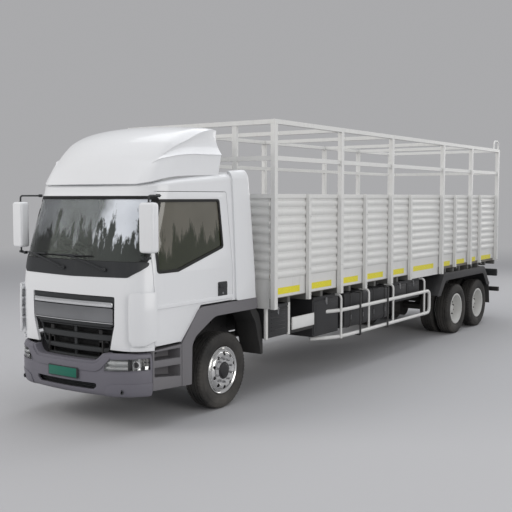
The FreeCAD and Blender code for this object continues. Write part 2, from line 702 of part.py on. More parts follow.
def tyres(name, side, centres, along):
    """The tyre or pair of tyres of one wheel."""
    piece = Piece(name)
    half = s.tyre_width / 2
    for centre in centres:
        inner, outer = side * (centre - half), side * (centre + half)
        piece.revolve("XY", tyre_outline(inner, outer, side), "X")
    piece.place(0, along, wheel_height).keep()


def rim_barrel(side, centre):
    """The rim that one tyre sits on, as a section."""
    half = s.tyre_width / 2 - s.bead_seat
    seat = s.tyre_bead_radius - s.fit_gap
    low, high = side * (centre - half), side * (centre + half)
    lip = side * s.flange_lip
    inside = s.barrel_radius
    return ((low - lip, inside), (high + lip, inside), (high + lip, s.flange_radius),
            (high + side * s.fit_gap, s.flange_radius), (high + side * s.fit_gap, seat),
            (low - side * s.fit_gap, seat), (low - side * s.fit_gap, s.flange_radius),
            (low - lip, s.flange_radius))


def disc_section(side, rim_at, hub_at):
    """The dished disc that joins the rim to the hub."""
    gauge = side * s.disc_gauge
    return ((hub_at - gauge, s.stub_radius + s.pin_gap), (hub_at, s.stub_radius + s.pin_gap),
            (hub_at, s.nut_circle + s.nut_radius * 2), (rim_at, s.barrel_radius),
            (rim_at - gauge, s.barrel_radius), (hub_at - gauge, s.nut_circle + s.nut_radius * 2))


def front_rim(name, side):
    """A front wheel: barrel, outward disc with hand holes, hub, nuts and drum."""
    piece = Piece(name)
    centre = s.front_tyre_face - s.tyre_width / 2
    piece.revolve("XY", rim_barrel(side, centre), "X")
    face = side * (s.front_tyre_face - s.disc_dish / 4)
    rim_at = side * (centre + s.tyre_width / 2 - s.bead_seat)
    piece.revolve("XY", disc_section(side, rim_at, face), "X")
    hub_end = face + side * s.hub_cap_length
    piece.revolve("XY", ((face - side * s.hub_length, s.stub_radius + s.pin_gap),
                         (face, s.stub_radius + s.pin_gap), (face, 0), (hub_end, 0),
                         (hub_end, s.hub_cap_radius), (face, s.hub_radius),
                         (face - side * s.hub_length, s.hub_radius)), "X")
    drum_in = face - side * s.drum_length
    hub_in, hub_middle = face - side * s.hub_length, face - side * s.hub_length / 2
    bore = s.hub_radius - s.drum_gauge
    piece.revolve("XY", ((drum_in, s.drum_radius - s.drum_gauge),
                         (hub_in, s.drum_radius - s.drum_gauge), (hub_in, bore),
                         (hub_middle, bore), (hub_middle, s.drum_radius),
                         (drum_in, s.drum_radius)), "X")
    piece.pocket("YZ", [Ring(s.hand_hole_circle, 0, s.hand_hole_radius)],
                 rim_at - side * s.cut_overrun, face + side * s.cut_overrun)
    piece.polar("X", s.hand_holes)
    piece.pad("YZ", [Ring(s.nut_circle, 0, s.nut_radius)], face, face + side * s.nut_length)
    piece.polar("X", s.hand_holes)
    piece.place(0, axle, wheel_height).keep()


def rear_rims(name, side, along):
    """A rear wheel: two barrels on one hub, discs back to back, dished deep outside."""
    piece = Piece(name)
    outer = s.rear_tyre_face - s.tyre_width / 2
    inner = outer - s.twin_spacing
    middle = (outer + inner) / 2
    for centre, lean in ((outer, 1), (inner, -1)):
        piece.revolve("XY", rim_barrel(side, centre), "X")
        face = side * (middle + lean * s.disc_gauge)
        rim_at = side * (centre + lean * (s.disc_gauge - s.bead_seat))
        gauge = side * lean * s.disc_gauge
        root_radius = s.hub_radius - s.drum_gauge
        bend_radius = s.nut_circle + s.nut_radius * 2
        piece.revolve("XY", ((face - gauge, root_radius), (face, root_radius),
                             (face, bend_radius), (rim_at, s.barrel_radius),
                             (rim_at - gauge, s.barrel_radius),
                             (face - gauge, bend_radius)), "X")
    piece.pocket("YZ", [Ring(s.hand_hole_circle, 0, s.hand_hole_radius)],
                 side * inner, side * outer)
    piece.polar("X", s.hand_holes)
    hub_in = side * (s.rear_tyre_face - s.tyre_width - s.twin_spacing)
    hub_out = side * (outer + s.hub_cap_length)
    bore = s.spindle_radius + s.pin_gap
    bore_end = hub_in + side * (s.spindle_length + s.move_gap)
    piece.revolve("XY", ((hub_in, bore), (bore_end, bore), (bore_end, 0), (hub_out, 0),
                         (hub_out, s.hub_cap_radius),
                         (side * middle + side * s.hub_cap_length, s.hub_radius),
                         (side * inner, s.hub_radius), (side * inner, s.drum_radius),
                         (hub_in, s.drum_radius)), "X")
    piece.place(0, along, wheel_height).keep()


def bed_frame():
    """The runners on the rails and the cross-bearers, one at each stake and one between."""
    frame = Piece("bed_frame")
    start = bed_front + s.rib_depth
    for side in (1, -1):
        outer = side * s.frame_half_width
        frame.pad("XZ", [box(outer, s.rail_top, outer - side * s.runner_width, runner_top)],
                  start, bed_rear - s.post_width)
    wide = s.bearer_width / 2
    seat = runner_top + s.fit_gap
    places = [post_middle(share) for share in POST_SHARES]
    places[0] = start + wide
    for i, middle in enumerate(places):
        frame.pad("XZ", [box(-post_inside, seat, post_inside, bearer_top)],
                  middle - wide, middle + wide)
        if i > 0:
            between = (places[i - 1] + middle) / 2
            reach = post_inside - s.rib_depth
            frame.pad("XZ", [box(-reach, seat, reach, bearer_top)],
                      between - wide, between + wide)
    frame.keep()


def deck():
    """The load floor on the bearers."""
    floor = Piece("deck")
    floor.pad("XY", [box(-(post_inside - s.rib_depth), bed_front + s.rib_depth + s.sheet_gauge,
                         post_inside - s.rib_depth, bed_rear - s.gate_gauge - s.gate_gap)],
              bearer_top, deck_top)
    floor.keep()


def ribbed_section(outside, way, bottom):
    """A sheet with arched ribs above a flat skirt, as (across, up) from the bottom."""
    valley = outside - way * s.rib_depth
    rib_height = s.rib_pitch * s.rib_share
    rib_start = s.panel_top - s.panel_rail_height - s.ribs * s.rib_pitch
    front, back = [(valley + way * s.sheet_gauge, bottom)], [(valley, bottom)]
    for i in range(int(s.ribs.value)):
        low = rib_start + i * s.rib_pitch
        front.append((valley + way * s.sheet_gauge, low, way * s.rib_radius))
        front.append((valley + way * s.sheet_gauge, low + rib_height))
        back.append((valley, low))
        back.append((valley, low + rib_height, -way * s.rib_radius))
    top = s.panel_top - s.panel_rail_height
    front.append((valley + way * s.sheet_gauge, top))
    back.append((valley, top))
    return tuple(front) + tuple(reversed(back))


def side_walls():
    """The long sides of the body: ribbed sheet, flat skirt in bays and the rail on top."""
    walls = Piece("side_walls")
    wide_start = post_middle(POST_SHARES[5]) + s.bearer_width / 2
    wide_end = post_middle(POST_SHARES[6]) - s.bearer_width / 2
    skirt = ((bed_front, s.skirt_bottom), (wide_start, s.skirt_bottom),
             (wide_start, s.deep_skirt_bottom), (wide_end, s.deep_skirt_bottom),
             (wide_end, s.rear_skirt_bottom), (bed_rear, s.rear_skirt_bottom),
             (bed_rear, s.rear_skirt_bottom + s.rib_depth),
             (bed_front, s.rear_skirt_bottom + s.rib_depth))
    for side in (1, -1):
        outside = side * post_inside
        inside = outside - side * s.rib_depth
        section = ribbed_section(outside, side, s.rear_skirt_bottom)
        walls.pad("XZ", [section], bed_front, bed_rear)
        walls.pad("YZ", [skirt], inside, inside + side * s.sheet_gauge)
        walls.pad("XZ", [box(inside, s.panel_top - s.panel_rail_height, outside, s.panel_top)],
                  bed_front, bed_rear)
        leaf = inside - side * (s.gate_gap - s.fit_gap)
        for share in HINGE_SHARES:
            low = deck_top + share * (s.panel_top - deck_top)
            walls.pad("XZ", [box(inside, low, leaf, low + s.hinge_leaf_height)],
                      bed_rear - s.hinge_leaf_width, bed_rear)
    walls.keep()


def front_wall():
    """The ribbed wall behind the cab, between the corner posts."""
    wall = Piece("front_wall")
    face = bed_front
    valley = face + s.rib_depth
    front, back = [(valley - s.sheet_gauge, s.corner_foot)], [(valley, s.corner_foot)]
    rib_height = s.rib_pitch * s.rib_share
    rib_start = s.panel_top - s.panel_rail_height - s.ribs * s.rib_pitch
    for i in range(int(s.ribs.value)):
        low = rib_start + i * s.rib_pitch
        front.append((valley - s.sheet_gauge, low, -s.rib_radius))
        front.append((valley - s.sheet_gauge, low + rib_height))
        back.append((valley, low))
        back.append((valley, low + rib_height, s.rib_radius))
    top = s.panel_top - s.panel_rail_height
    front.append((valley - s.sheet_gauge, top))
    back.append((valley, top))
    reach = post_inside - s.rib_depth
    wall.pad("YZ", [tuple(front) + tuple(reversed(back))], -reach, reach)
    wall.pad("YZ", [box(face, top, valley, s.panel_top)], -reach, reach)
    wall.keep()


def posts():
    """The upright stakes of both sides, full height and short in turn."""
    stakes = Piece("posts")
    for side in (1, -1):
        inner, outer = side * post_inside, side * s.bed_half_width
        for i, share in enumerate(POST_SHARES):
            middle = post_middle(share)
            full = i in FULL_POSTS
            half = s.post_width / 2 if full else s.short_post_width / 2
            proud = outer if full else inner + side * s.short_post_depth
            foot = s.corner_foot if i == 0 else s.post_foot
            if i in REAR_POSTS:
                foot = s.rear_foot
            top = s.rack_top - s.top_rail_height if full else s.panel_top
            stakes.pad("XY", [box(inner, middle - half, proud, middle + half)], foot, top)
    stakes.keep()


def rack_rails():
    """The rails of the rack's sides: one along the top, a middle one between the posts."""
    rails = Piece("rack_rails")
    low_end, high_end = s.mid_rail_bottom, s.mid_rail_bottom + s.mid_rail_height
    for side in (1, -1):
        inner, outer = side * post_inside, side * s.bed_half_width
        rails.pad("XZ", [box(outer - side * s.top_rail_depth, s.rack_top - s.top_rail_height,
                             outer, s.rack_top)], bed_front, bed_rear)
        for low, high in zip(full_posts, full_posts[1:]):
            rails.pad("XZ", [box(inner, low_end, inner + side * s.mid_rail_depth, high_end)],
                      post_middle(low) + s.post_width / 2, post_middle(high) - s.post_width / 2)
    rails.keep()


def roof_bars():
    """The bars across the top of the rack and the bars of its front and rear ends."""
    bars = Piece("roof_bars")
    reach = s.bed_half_width - s.top_rail_depth
    low = s.rack_top - s.top_rail_height
    for share in full_posts:
        middle = post_middle(share)
        bars.pad("XZ", [box(-reach, low, reach, s.rack_top)],
                 middle - s.roof_bar_width / 2, middle + s.roof_bar_width / 2)
    for share in (full_posts[0], full_posts[-1]):
        middle = post_middle(share)
        bars.pad("XZ", [box(-post_inside, s.mid_rail_bottom, post_inside,
                            s.mid_rail_bottom + s.mid_rail_height)],
                 middle - s.mid_rail_depth / 2, middle + s.mid_rail_depth / 2)
    bars.keep()


def front_uprights():
    """The short uprights of the rack's front end, above and below its middle bar."""
    uprights = Piece("front_uprights")
    middle = post_middle(full_posts[0])
    half = s.mid_rail_depth / 2
    wide = s.post_width / 2
    for side in (1, -1):
        at = side * s.front_upright_place
        for low, high in ((s.panel_top, s.mid_rail_bottom),
                          (s.mid_rail_bottom + s.mid_rail_height, s.rack_top - s.top_rail_height)):
            uprights.pad("XZ", [box(at - wide, low, at + wide, high)], middle - half, middle + half)
    uprights.keep()


def top_loop():
    """The bent tube on the top rail at the rear left corner."""
    loop = Piece("top_loop")
    across = s.bed_half_width - s.top_rail_depth / 2
    end = bed_rear - s.loop_radius
    start = end - s.loop_reach
    bend = s.loop_rise / 2
    high = s.rack_top + s.loop_rise
    path = ((start, s.rack_top), (start, high - bend, -bend), (start + bend, high),
            (end - bend, high, -bend), (end, high - bend), (end, s.rack_top))
    loop.pipe("YZ", across, path, "XY", s.rack_top, Ring(across, start, s.loop_radius))
    loop.keep()


def rear_gate(name, side):
    """One leaf of the rear doors, a frame with a ribbed sheet, hinged at the post."""
    gate = Piece(name)
    rear = bed_rear
    front = rear - s.gate_gauge
    outer = side * (post_inside - s.rib_depth - s.gate_gap)
    inner = side * s.gate_gap / 2
    bottom, top = bearer_top + s.gate_gap, s.panel_top - s.gate_gap
    frame = box(outer, bottom, inner, top)
    hole = box(outer - side * s.gate_bar, bottom + s.gate_bar,
               inner + side * s.gate_bar, top - s.gate_bar)
    gate.pad("XZ", [frame, hole], front, rear)
    sheet_back = front + s.gate_gauge / 4
    gate.pad("XZ", [box(outer - side * s.gate_bar / 2, bottom + s.gate_bar / 2,
                        inner + side * s.gate_bar / 2, top - s.gate_bar / 2)],
             sheet_back, sheet_back + s.sheet_gauge)
    for i in range(int(s.ribs.value)):
        low = bottom + s.gate_bar + (i + FIRST_RIB_SHARE) * s.rib_pitch
        gate.pad("XZ", [box(outer - side * s.gate_bar / 2, low, inner + side * s.gate_bar / 2,
                            low + s.rib_pitch * s.rib_share / 2)],
                 sheet_back, rear - s.gate_gauge / 4)
    gate.keep()


def side_guards():
    """The tube guard under one side: a long loop with posts up to the body."""
    guard = Piece("side_guards")
    for side in (1, -1):
        across = side * s.guard_place
        start, end = axle + s.guard_front, axle + s.guard_rear
        bend = s.guard_bend
        path = ((start, s.guard_top), (end - bend, s.guard_top, -bend),
                (end, s.guard_top - bend), (end, s.guard_bottom + bend, -bend),
                (end - bend, s.guard_bottom), (start, s.guard_bottom))
        guard.pipe("YZ", across, path, "XZ", -start, Ring(across, s.guard_top, s.guard_radius))
        for share in GUARD_POST_SHARES:
            along = start + share * (end - start)
            guard.pad("XY", [Ring(across, along, s.guard_post_radius)], s.guard_bottom, s.guard_top)
            guard.pad("XY", [Ring(across - side * s.guard_tuck, along, s.guard_post_radius)],
                      s.guard_top, runner_top)
            guard.pad("YZ", [Ring(along, s.guard_top, s.guard_post_radius)],
                      across - side * s.guard_tuck, across)
    guard.keep()



def underbody_box(name, boxes):
    """Boxes hung from the rail, each as (side, front, length, bottom)."""
    piece = Piece(name)
    for side, front, length, bottom in boxes:
        outer = side * s.box_place
        inner = side * s.frame_half_width
        back = outer - side * s.box_depth
        start = axle + front
        piece.pad("XZ", [box(outer, bottom, back, runner_top)], start, start + length)
        middle = (rail_bottom + s.rail_top) / 2
        piece.pad("XZ", [box(back, middle - s.hanger_width / 2, inner, middle + s.hanger_width / 2)],
                  start + length / 4, start + length - length / 4)
    piece.keep()


def rear_fenders():
    """The long mudguards over the rear wheels, each with a lip, a front foot and a flap."""
    guards = Piece("rear_fenders")
    front, rear = axle + s.fender_front, axle + s.fender_rear
    gauge, foot = s.fender_gauge, s.fender_foot
    top, low = s.fender_top, s.fender_top - s.fender_gauge
    band = s.fender_top - s.fender_band
    rise, fall = front + s.fender_slope, rear - s.fender_slope
    sheet = ((front, foot), (front + gauge, foot), (rise + gauge / 2, low),
             (fall - gauge / 2, low), (rear - gauge, foot), (rear, foot), (fall, top), (rise, top))
    lip = ((front, foot), (front + s.fender_band, foot), (rise + s.fender_band / 2, band),
           (fall - s.fender_band / 4, band), (rear - s.fender_band / 2, foot), (rear, foot),
           (fall, top), (rise, top))
    flap = ((rear - s.flap_gauge, foot), (rear, foot), (rear + s.flap_rake, s.flap_bottom),
            (rear + s.flap_rake - s.flap_gauge, s.flap_bottom))
    for side in (1, -1):
        inner, outer = side * s.fender_inside, side * s.fender_place
        guards.pad("YZ", [sheet], inner, outer)
        guards.pad("YZ", [lip], outer - side * gauge, outer)
        guards.pad("YZ", [flap], inner, outer - side * gauge)
    guards.keep()


def underrun():
    """The bar across the tail, its two arms down from the rails."""
    guard = Piece("underrun")
    rear = tail
    half = s.underrun_half_width
    guard.pad("XZ", [box(-half, s.underrun_bottom, half, s.underrun_bottom + s.underrun_height)],
              rear - s.underrun_depth, rear)
    for side in (1, -1):
        inner = side * s.frame_half_width
        guard.pad("XZ", [box(inner, s.underrun_bottom, inner + side * s.underrun_arm_width,
                             s.rail_top - s.rail_flange)],
                  rear - s.underrun_depth * 2, rear - s.underrun_depth)
        guard.pad("XZ", [box(inner, rail_bottom, inner + side * s.underrun_arm_width,
                             s.rail_top - s.rail_flange)],
                  rear - s.underrun_depth * 5, rear - s.underrun_depth)
    guard.keep()


def tail_lamps():
    """The lamp boxes on their brackets beside the rear of the rails."""
    lamps = Piece("tail_lamps")
    for side in (1, -1):
        outer = side * (s.underrun_half_width)
        inner = side * (s.frame_half_width + s.underrun_arm_width)
        lamps.pad("XZ", [box(outer, s.tail_lamp_bottom, outer - side * s.tail_lamp_width,
                             s.tail_lamp_bottom + s.tail_lamp_height)],
                  tail - s.underrun_depth - s.tail_lamp_depth, tail - s.underrun_depth)
        lamps.pad("XZ", [box(inner, s.tail_lamp_bottom + s.tail_lamp_height / 3,
                             outer - side * s.tail_lamp_width,
                             s.tail_lamp_bottom + s.tail_lamp_height / 2)],
                  tail - s.underrun_depth - s.tail_lamp_depth, tail - s.underrun_depth)
    lamps.keep()


def cab_plan(front, rear, half_width, inset):
    """The cab's outline from above: bowed front, round front corners, small rear ones."""
    across = half_width - inset
    ahead = front + inset
    behind = rear - inset
    round_front = s.front_corner - inset
    round_rear = s.rear_corner - inset / 2
    bow = s.front_bow - inset
    shoulder = across - round_front
    sag = bow - root(bow * bow - shoulder * shoulder)
    return ((-shoulder, ahead + sag, bow), (shoulder, ahead + sag, round_front),
            (across, ahead + sag + round_front), (across, behind - round_rear, round_rear),
            (across - round_rear, behind), (-across + round_rear, behind, round_rear),
            (-across, behind - round_rear), (-across, ahead + sag + round_front, round_front))


def cab_levels(inset, bottom, top):
    """The cab's plan at each height where its front or side turns."""
    front, rear = axle - s.cab_front, axle + s.cab_rear

    def back(height):
        return rear - (height - s.arch_top) * s.cab_rear_rake

    levels = (
        (bottom, front, s.cab_half_width),
        (s.cowl_bottom, front, s.cab_half_width),
        (s.screen_bottom, front + s.screen_setback, s.cab_half_width),
        (s.screen_top, front + s.screen_setback + s.screen_rake, s.cab_half_width),
        (top, front + s.roof_setback, s.cab_half_width - s.roof_taper))
    return [(height, cab_plan(ahead, back(height), half, inset)) for height, ahead, half in levels]


def cab_form(name, inset, bottom, top):
    """The cab's closed outer form, or the same form drawn in by an inset."""
    return Piece(name).loft(cab_levels(inset, bottom, top))


def window_outline(inset=0):
    """The side window in its door, from the side, its lower edge stepped down in front."""
    front, rear = axle - s.window_front + inset, axle - s.window_rear - inset
    sill, top = s.window_sill + inset, s.window_top - inset
    kink = axle - s.window_kink
    return ((front, sill), (kink, sill), (rear, s.window_kink_top + inset),
            (rear - s.glass_inset * 6, top), (front, top))


def door_outline(gap):
    """A cab door from the side, its lower rear corner cut for the wheel arch."""
    front, rear = axle - s.door_front + gap, axle + s.door_rear - gap
    start = axle - s.arch_start
    top_rear = axle
    return ((front, s.sill_top + gap), (start - gap, s.sill_top + gap),
            (start + s.arch_slope - gap, s.arch_top + gap), (rear, s.arch_top + gap),
            (rear, s.window_sill), (top_rear + s.pillar - gap, s.door_top - gap),
            (front, s.door_top - gap))


def floor_strip():
    """The cab floor from the side: shelf, toe-board, footwell and the raised rear part."""
    front, rear = axle - s.cab_front - s.cut_overrun, axle + s.cab_rear + s.cut_overrun
    toe, heel = axle - s.toe_length, axle - s.toe_length + s.toe_run
    riser = axle - s.footwell_length
    gauge = s.floor_gauge
    return ((front, s.toe_shelf), (toe, s.toe_shelf), (heel, s.footwell), (riser, s.footwell),
            (riser, s.cab_floor), (rear, s.cab_floor), (rear, s.cab_floor + gauge),
            (riser - gauge, s.cab_floor + gauge), (riser - gauge, s.footwell + gauge),
            (heel + gauge / 2, s.footwell + gauge), (toe + gauge / 2, s.toe_shelf + gauge),
            (front, s.toe_shelf + gauge))


def cab_shell():
    """The hollow cab: outer form less the inside, wheel arches, windows and doors."""
    outer = cab_form("cab_outer", sized(0), s.cab_bottom, s.cab_roof)
    far = s.cab_half_width + s.cut_overrun
    start = axle - s.arch_start
    end = axle + s.cab_rear + s.cut_overrun
    low = s.cab_bottom - s.cut_overrun
    corner = axle - s.step_front - s.corner_run - s.move_gap
    outer.pocket("YZ", [((corner, low), (end, low), (end, s.arch_top),
                         (start + s.arch_slope, s.arch_top), (start, s.sill_top),
                         (corner + s.corner_run, s.sill_top), (corner, s.cab_bottom))], -far, far)
    ceiling = s.cab_roof - s.cab_wall
    inner = cab_form("cab_inner", s.cab_wall, low, ceiling)
    hollow = joined("Part::Cut", "cab_hollow", (outer.body, inner.body), False)
    floor_room = cab_form("cab_floor_room", s.cab_wall, low, ceiling)
    strip = Piece("cab_floor_strip")
    strip.pad("YZ", [floor_strip()], -far, far)
    floor = joined("Part::MultiCommon", "cab_floor_panel", [floor_room.body, strip.body], False)
    openings = Piece("cab_openings")
    openings.pad("XZ", [window_screen(sized(0))], axle - s.cab_front - s.cut_overrun,
                 axle - s.screen_rake * 4)
    openings.pad("XZ", [grille_opening(sized(0))], axle - s.cab_front - s.cut_overrun,
                 axle - s.cab_front + s.cab_wall * 2)
    for side in (1, -1):
        inside = side * (s.cab_half_width - s.cab_wall - s.cut_overrun)
        openings.pad("YZ", [door_outline(sized(0))], inside, side * far)
    opened = joined("Part::Cut", "cab_opened", (hollow, openings.body), False)
    fittings = Piece("cab_fittings")
    pivot = axle - s.tilt_forward
    head = s.tilt_lug_radius
    heel = axle - s.toe_length + s.toe_run
    lug = ((pivot - head, s.tilt_height, head), (pivot, s.tilt_height - head),
           (heel + head * 3, s.footwell), (heel + head * 3, s.footwell + s.floor_gauge / 2),
           (heel + head / 2, s.footwell + s.floor_gauge / 2), (heel + head / 2, s.footwell),
           (pivot, s.tilt_height + head, head))
    for side in (1, -1):
        inner_side = side * (s.frame_half_width + s.tilt_plate_gauge + s.move_gap)
        bore = Ring(pivot, s.tilt_height, s.tilt_pin_radius + s.pin_gap)
        fittings.pad("YZ", [lug, bore], inner_side, inner_side + side * s.tilt_lug_width)
        panel = box(axle + s.sleeper_start, s.arch_top + s.door_gap,
                    axle + s.cab_rear - s.rear_corner * 2, s.screen_top + s.sleeper_start)
        skin = side * s.cab_half_width
        fittings.pad("YZ", [panel], skin - side * s.cab_wall / 2, skin + side * s.sleeper_proud)
        edge = axle - s.door_front
        for share in HINGE_SHARES:
            foot = s.sill_top + share * (s.door_top - s.sill_top)
            leaf = box(skin - side * s.cab_wall, edge - s.hinge_leaf_width,
                       skin - side * s.cab_wall / 4, edge + s.door_gap - s.fit_gap)
            fittings.pad("XY", [leaf], foot, foot + s.hinge_leaf_height)
    joined("Part::MultiFuse", "cab_shell", [opened, floor, fittings.body])


def window_screen(inset):
    """The windscreen's outline from the front."""
    low, high = s.screen_half_width - inset, s.screen_half_width - s.roof_taper / 2 - inset
    return ((-low, s.screen_bottom + inset), (low, s.screen_bottom + inset),
            (high, s.screen_top - inset), (-high, s.screen_top - inset))


def grille_opening(inset):
    """The cab's opening for the grille from the front, narrower at its foot."""
    low, high = s.grille_foot_half_width - inset, s.grille_half_width - inset
    bottom = s.cab_bottom - s.cut_overrun
    return ((-low, bottom), (low, bottom), (low, s.cab_bottom), (high, s.bar_bottom),
            (high, s.bar_top), (-high, s.bar_top), (-high, s.bar_bottom), (-low, s.cab_bottom))


def windscreen():
    """The wrapped windscreen, set in its opening."""
    outside = cab_form("screen_outside", s.glass_inset, s.cab_bottom, s.cab_roof)
    inside = cab_form("screen_inside", s.glass_inset + s.glass_gauge, s.cab_bottom, s.cab_roof)
    pane = joined("Part::Cut", "screen_pane", (outside.body, inside.body), False)
    reach = Piece("screen_reach")
    reach.pad("XZ", [window_screen(s.fit_gap)], axle - s.cab_front - s.cut_overrun,
              axle - s.screen_rake * 4)
    joined("Part::MultiCommon", "windscreen", [pane, reach.body])


def cowl():
    """The dark band under the windscreen, wrapped round the cab's front."""
    outside = cab_form("cowl_outside", -s.glass_gauge, s.cab_bottom, s.cab_roof)
    inside = cab_form("cowl_inside", -s.fit_gap, s.cab_bottom, s.cab_roof)
    band = joined("Part::Cut", "cowl_band", (outside.body, inside.body), False)
    reach = Piece("cowl_reach")
    reach.pad("XZ", [box(-s.cab_half_width, s.cowl_bottom, s.cab_half_width, s.screen_bottom)],
              axle - s.cab_front - s.cut_overrun, axle - s.cab_front + s.front_corner * COWL_WRAP_SHARE)
    joined("Part::MultiCommon", "cowl", [band, reach.body])


def grille_bar():
    """The bright bar across the upper grille, in its dark surround."""
    bar = Piece("grille_bar")
    reach = s.grille_half_width - s.fit_gap
    front = axle - s.cab_front
    bow = s.front_bow
    shoulder = reach
    sag = bow - root(bow * bow - shoulder * shoulder)
    proud, back = front - s.bar_proud, front + s.bar_gauge
    slab = ((-reach, front + sag, bow), (reach, front + sag), (reach, back + sag, -bow),
            (-reach, back + sag))
    bar.pad("XY", [slab], s.bar_bottom, s.bar_top - s.fit_gap)
    lip = ((-reach, proud + sag, bow), (reach, proud + sag), (reach, front + sag + s.fit_gap, -bow),
           (-reach, front + sag + s.fit_gap))
    band = s.bar_top - s.bar_bottom
    bar.pad("XY", [lip], s.bar_bottom, s.bar_bottom + band * BAR_LIP_SHARE)
    bar.keep()


def cab_door(name, side):
    """A cab door: one panel as thick as the side, with its window cut out."""
    door = Piece(name)
    skin = side * s.cab_half_width
    inner = skin - side * s.cab_wall
    door.pad("YZ", [door_outline(s.door_gap), window_outline()], inner, skin)
    door.keep()


def door_glass(name, side):
    """The pane in a cab door."""
    pane = Piece(name)
    outer = side * (s.cab_half_width - s.glass_inset)
    pane.pad("YZ", [window_outline(s.fit_gap)], outer - side * s.glass_gauge, outer)
    pane.keep()


def deflector_form(name, inset):
    """The deflector's closed dome, or the room inside it, open below and to the rear."""
    front = axle - s.deflector_front + inset
    reach = s.deflector_front + s.deflector_rear
    rise = s.deflector_top - s.deflector_bottom - inset

    def spot(share):
        return front + reach * share[0], s.deflector_bottom + rise * share[1]

    lip, brow, crown, tail_top, tail_edge, tail_low, heel = [
        spot(share) for share in DEFLECTOR_SHARES]
    far = s.deflector_half_width + s.cut_overrun
    end = axle + s.deflector_rear + s.cut_overrun
    low, top = s.deflector_bottom - s.cut_overrun, s.deflector_top - inset
    front_line = (lip, brow + (-reach * BROW_BEND_SHARE,), crown + (-reach * CROWN_BEND_SHARE,))
    if inset.value > 0:
        outline = front_line + (tail_top, (end, tail_top[1]), (end, low), (lip[0], low))
    else:
        outline = front_line + (tail_top, tail_edge, tail_low, heel, (heel[0], lip[1]))
    side_view = Piece(f"{name}_side")
    side_view.pad("YZ", [outline], -far, far)
    half, corner, shoulder = s.deflector_half_width - inset, s.deflector_corner, s.deflector_shoulder
    plan = Piece(f"{name}_plan")
    plan.pad("XY", [((-half + corner, front), (half - corner, front, corner), (half, front + corner),
                     (half, end), (-half, end), (-half, front + corner, corner))],
             low, s.deflector_top + s.cut_overrun)
    narrow = half - s.roof_taper * 2
    face = Piece(f"{name}_face")
    face.pad("XZ", [((-half, low), (half, low), (half, s.deflector_bottom + shoulder),
                     (narrow, top - shoulder, shoulder), (narrow - shoulder, top),
                     (-narrow + shoulder, top, shoulder), (-narrow, top - shoulder),
                     (-half, s.deflector_bottom + shoulder))],
             axle - s.deflector_front - s.cut_overrun, end)
    return joined("Part::MultiCommon", name, [side_view.body, plan.body, face.body], False)


def roof_deflector():
    """The wind deflector on the roof, a domed shell from its lip to its open back."""
    dome = deflector_form("deflector_dome", sized(0))
    room = deflector_form("deflector_room", s.deflector_gauge)
    shell = joined("Part::Cut", "deflector_shell", (dome, room), False)
    seat = cab_form("deflector_seat", -s.fit_gap, s.cab_bottom, s.cab_roof + s.fit_gap)
    joined("Part::Cut", "roof_deflector", (shell, seat.body))


def mirrors():
    """The two tall mirror housings, each on an arm above and one below."""
    arms = Piece("mirror_arms")
    front = axle - s.mirror_lead
    back = front + s.mirror_depth
    top = s.mirror_bottom + s.mirror_height
    corner = s.mirror_corner
    arm = front + s.mirror_depth / 2
    levels = ((top + s.mirror_arm_rise, top), (s.mirror_bottom - s.mirror_arm_rise, s.mirror_bottom))
    for side in (1, -1):
        inner = side * s.mirror_place
        outer = inner + side * s.mirror_width
        low, high = lesser(inner, outer), greater(inner, outer)
        housing = ((low + corner, front), (high - corner, front, corner), (high, front + corner),
                   (high, back), (low, back), (low, front + corner, corner))
        arms.pad("XY", [housing], s.mirror_bottom, top)
        stem, bracket = inner + side * s.mirror_width / 2, side * s.mirror_arm_root
        for level, end in levels:
            arms.pad("XY", [Ring(stem, arm, s.mirror_arm_radius)], level, end)
            arms.pad("YZ", [Ring(arm, level, s.mirror_arm_radius)], bracket, stem)
            arms.pad("XZ", [Ring(bracket, level, s.mirror_arm_radius)], arm,
                     arm + s.mirror_arm_reach)
    skin = cab_form("mirror_seat", -s.fit_gap, s.cab_bottom, s.cab_roof)
    band = cab_form("mirror_band", -s.glass_gauge - s.fit_gap, s.cab_bottom, s.screen_bottom)
    seated = joined("Part::Cut", "mirror_seated", (arms.body, skin.body), False)
    joined("Part::Cut", "mirrors", (seated, band.body))


def seats():
    """The two cab seats on their bases and the bunk behind them."""
    piece = Piece("seats")
    floor = s.cab_floor + s.floor_gauge
    front = axle - s.seat_front
    for side in (1, -1):
        low = side * s.seat_place - s.seat_width / 2
        high = side * s.seat_place + s.seat_width / 2
        cushion = floor + s.seat_base_height
        back, head = front + s.seat_depth, cushion + s.seat_back_height
        piece.pad("YZ", [((front + s.seat_height, floor), (back, floor), (back, cushion),
                          (back + s.seat_back_rake, head),
                          (back + s.seat_back_rake - s.seat_back_gauge, head),
                          (back - s.seat_back_gauge, cushion + s.seat_height),
                          (front, cushion + s.seat_height), (front, cushion))], low, high)
    rear = axle + s.cab_rear - s.cab_wall * 2 - s.rear_corner
    side_in = s.cab_half_width - s.cab_wall - s.move_gap
    piece.pad("XY", [box(-side_in, rear - s.bunk_depth, side_in, rear)],
              floor, floor + s.seat_base_height + s.bunk_height)
    piece.keep()


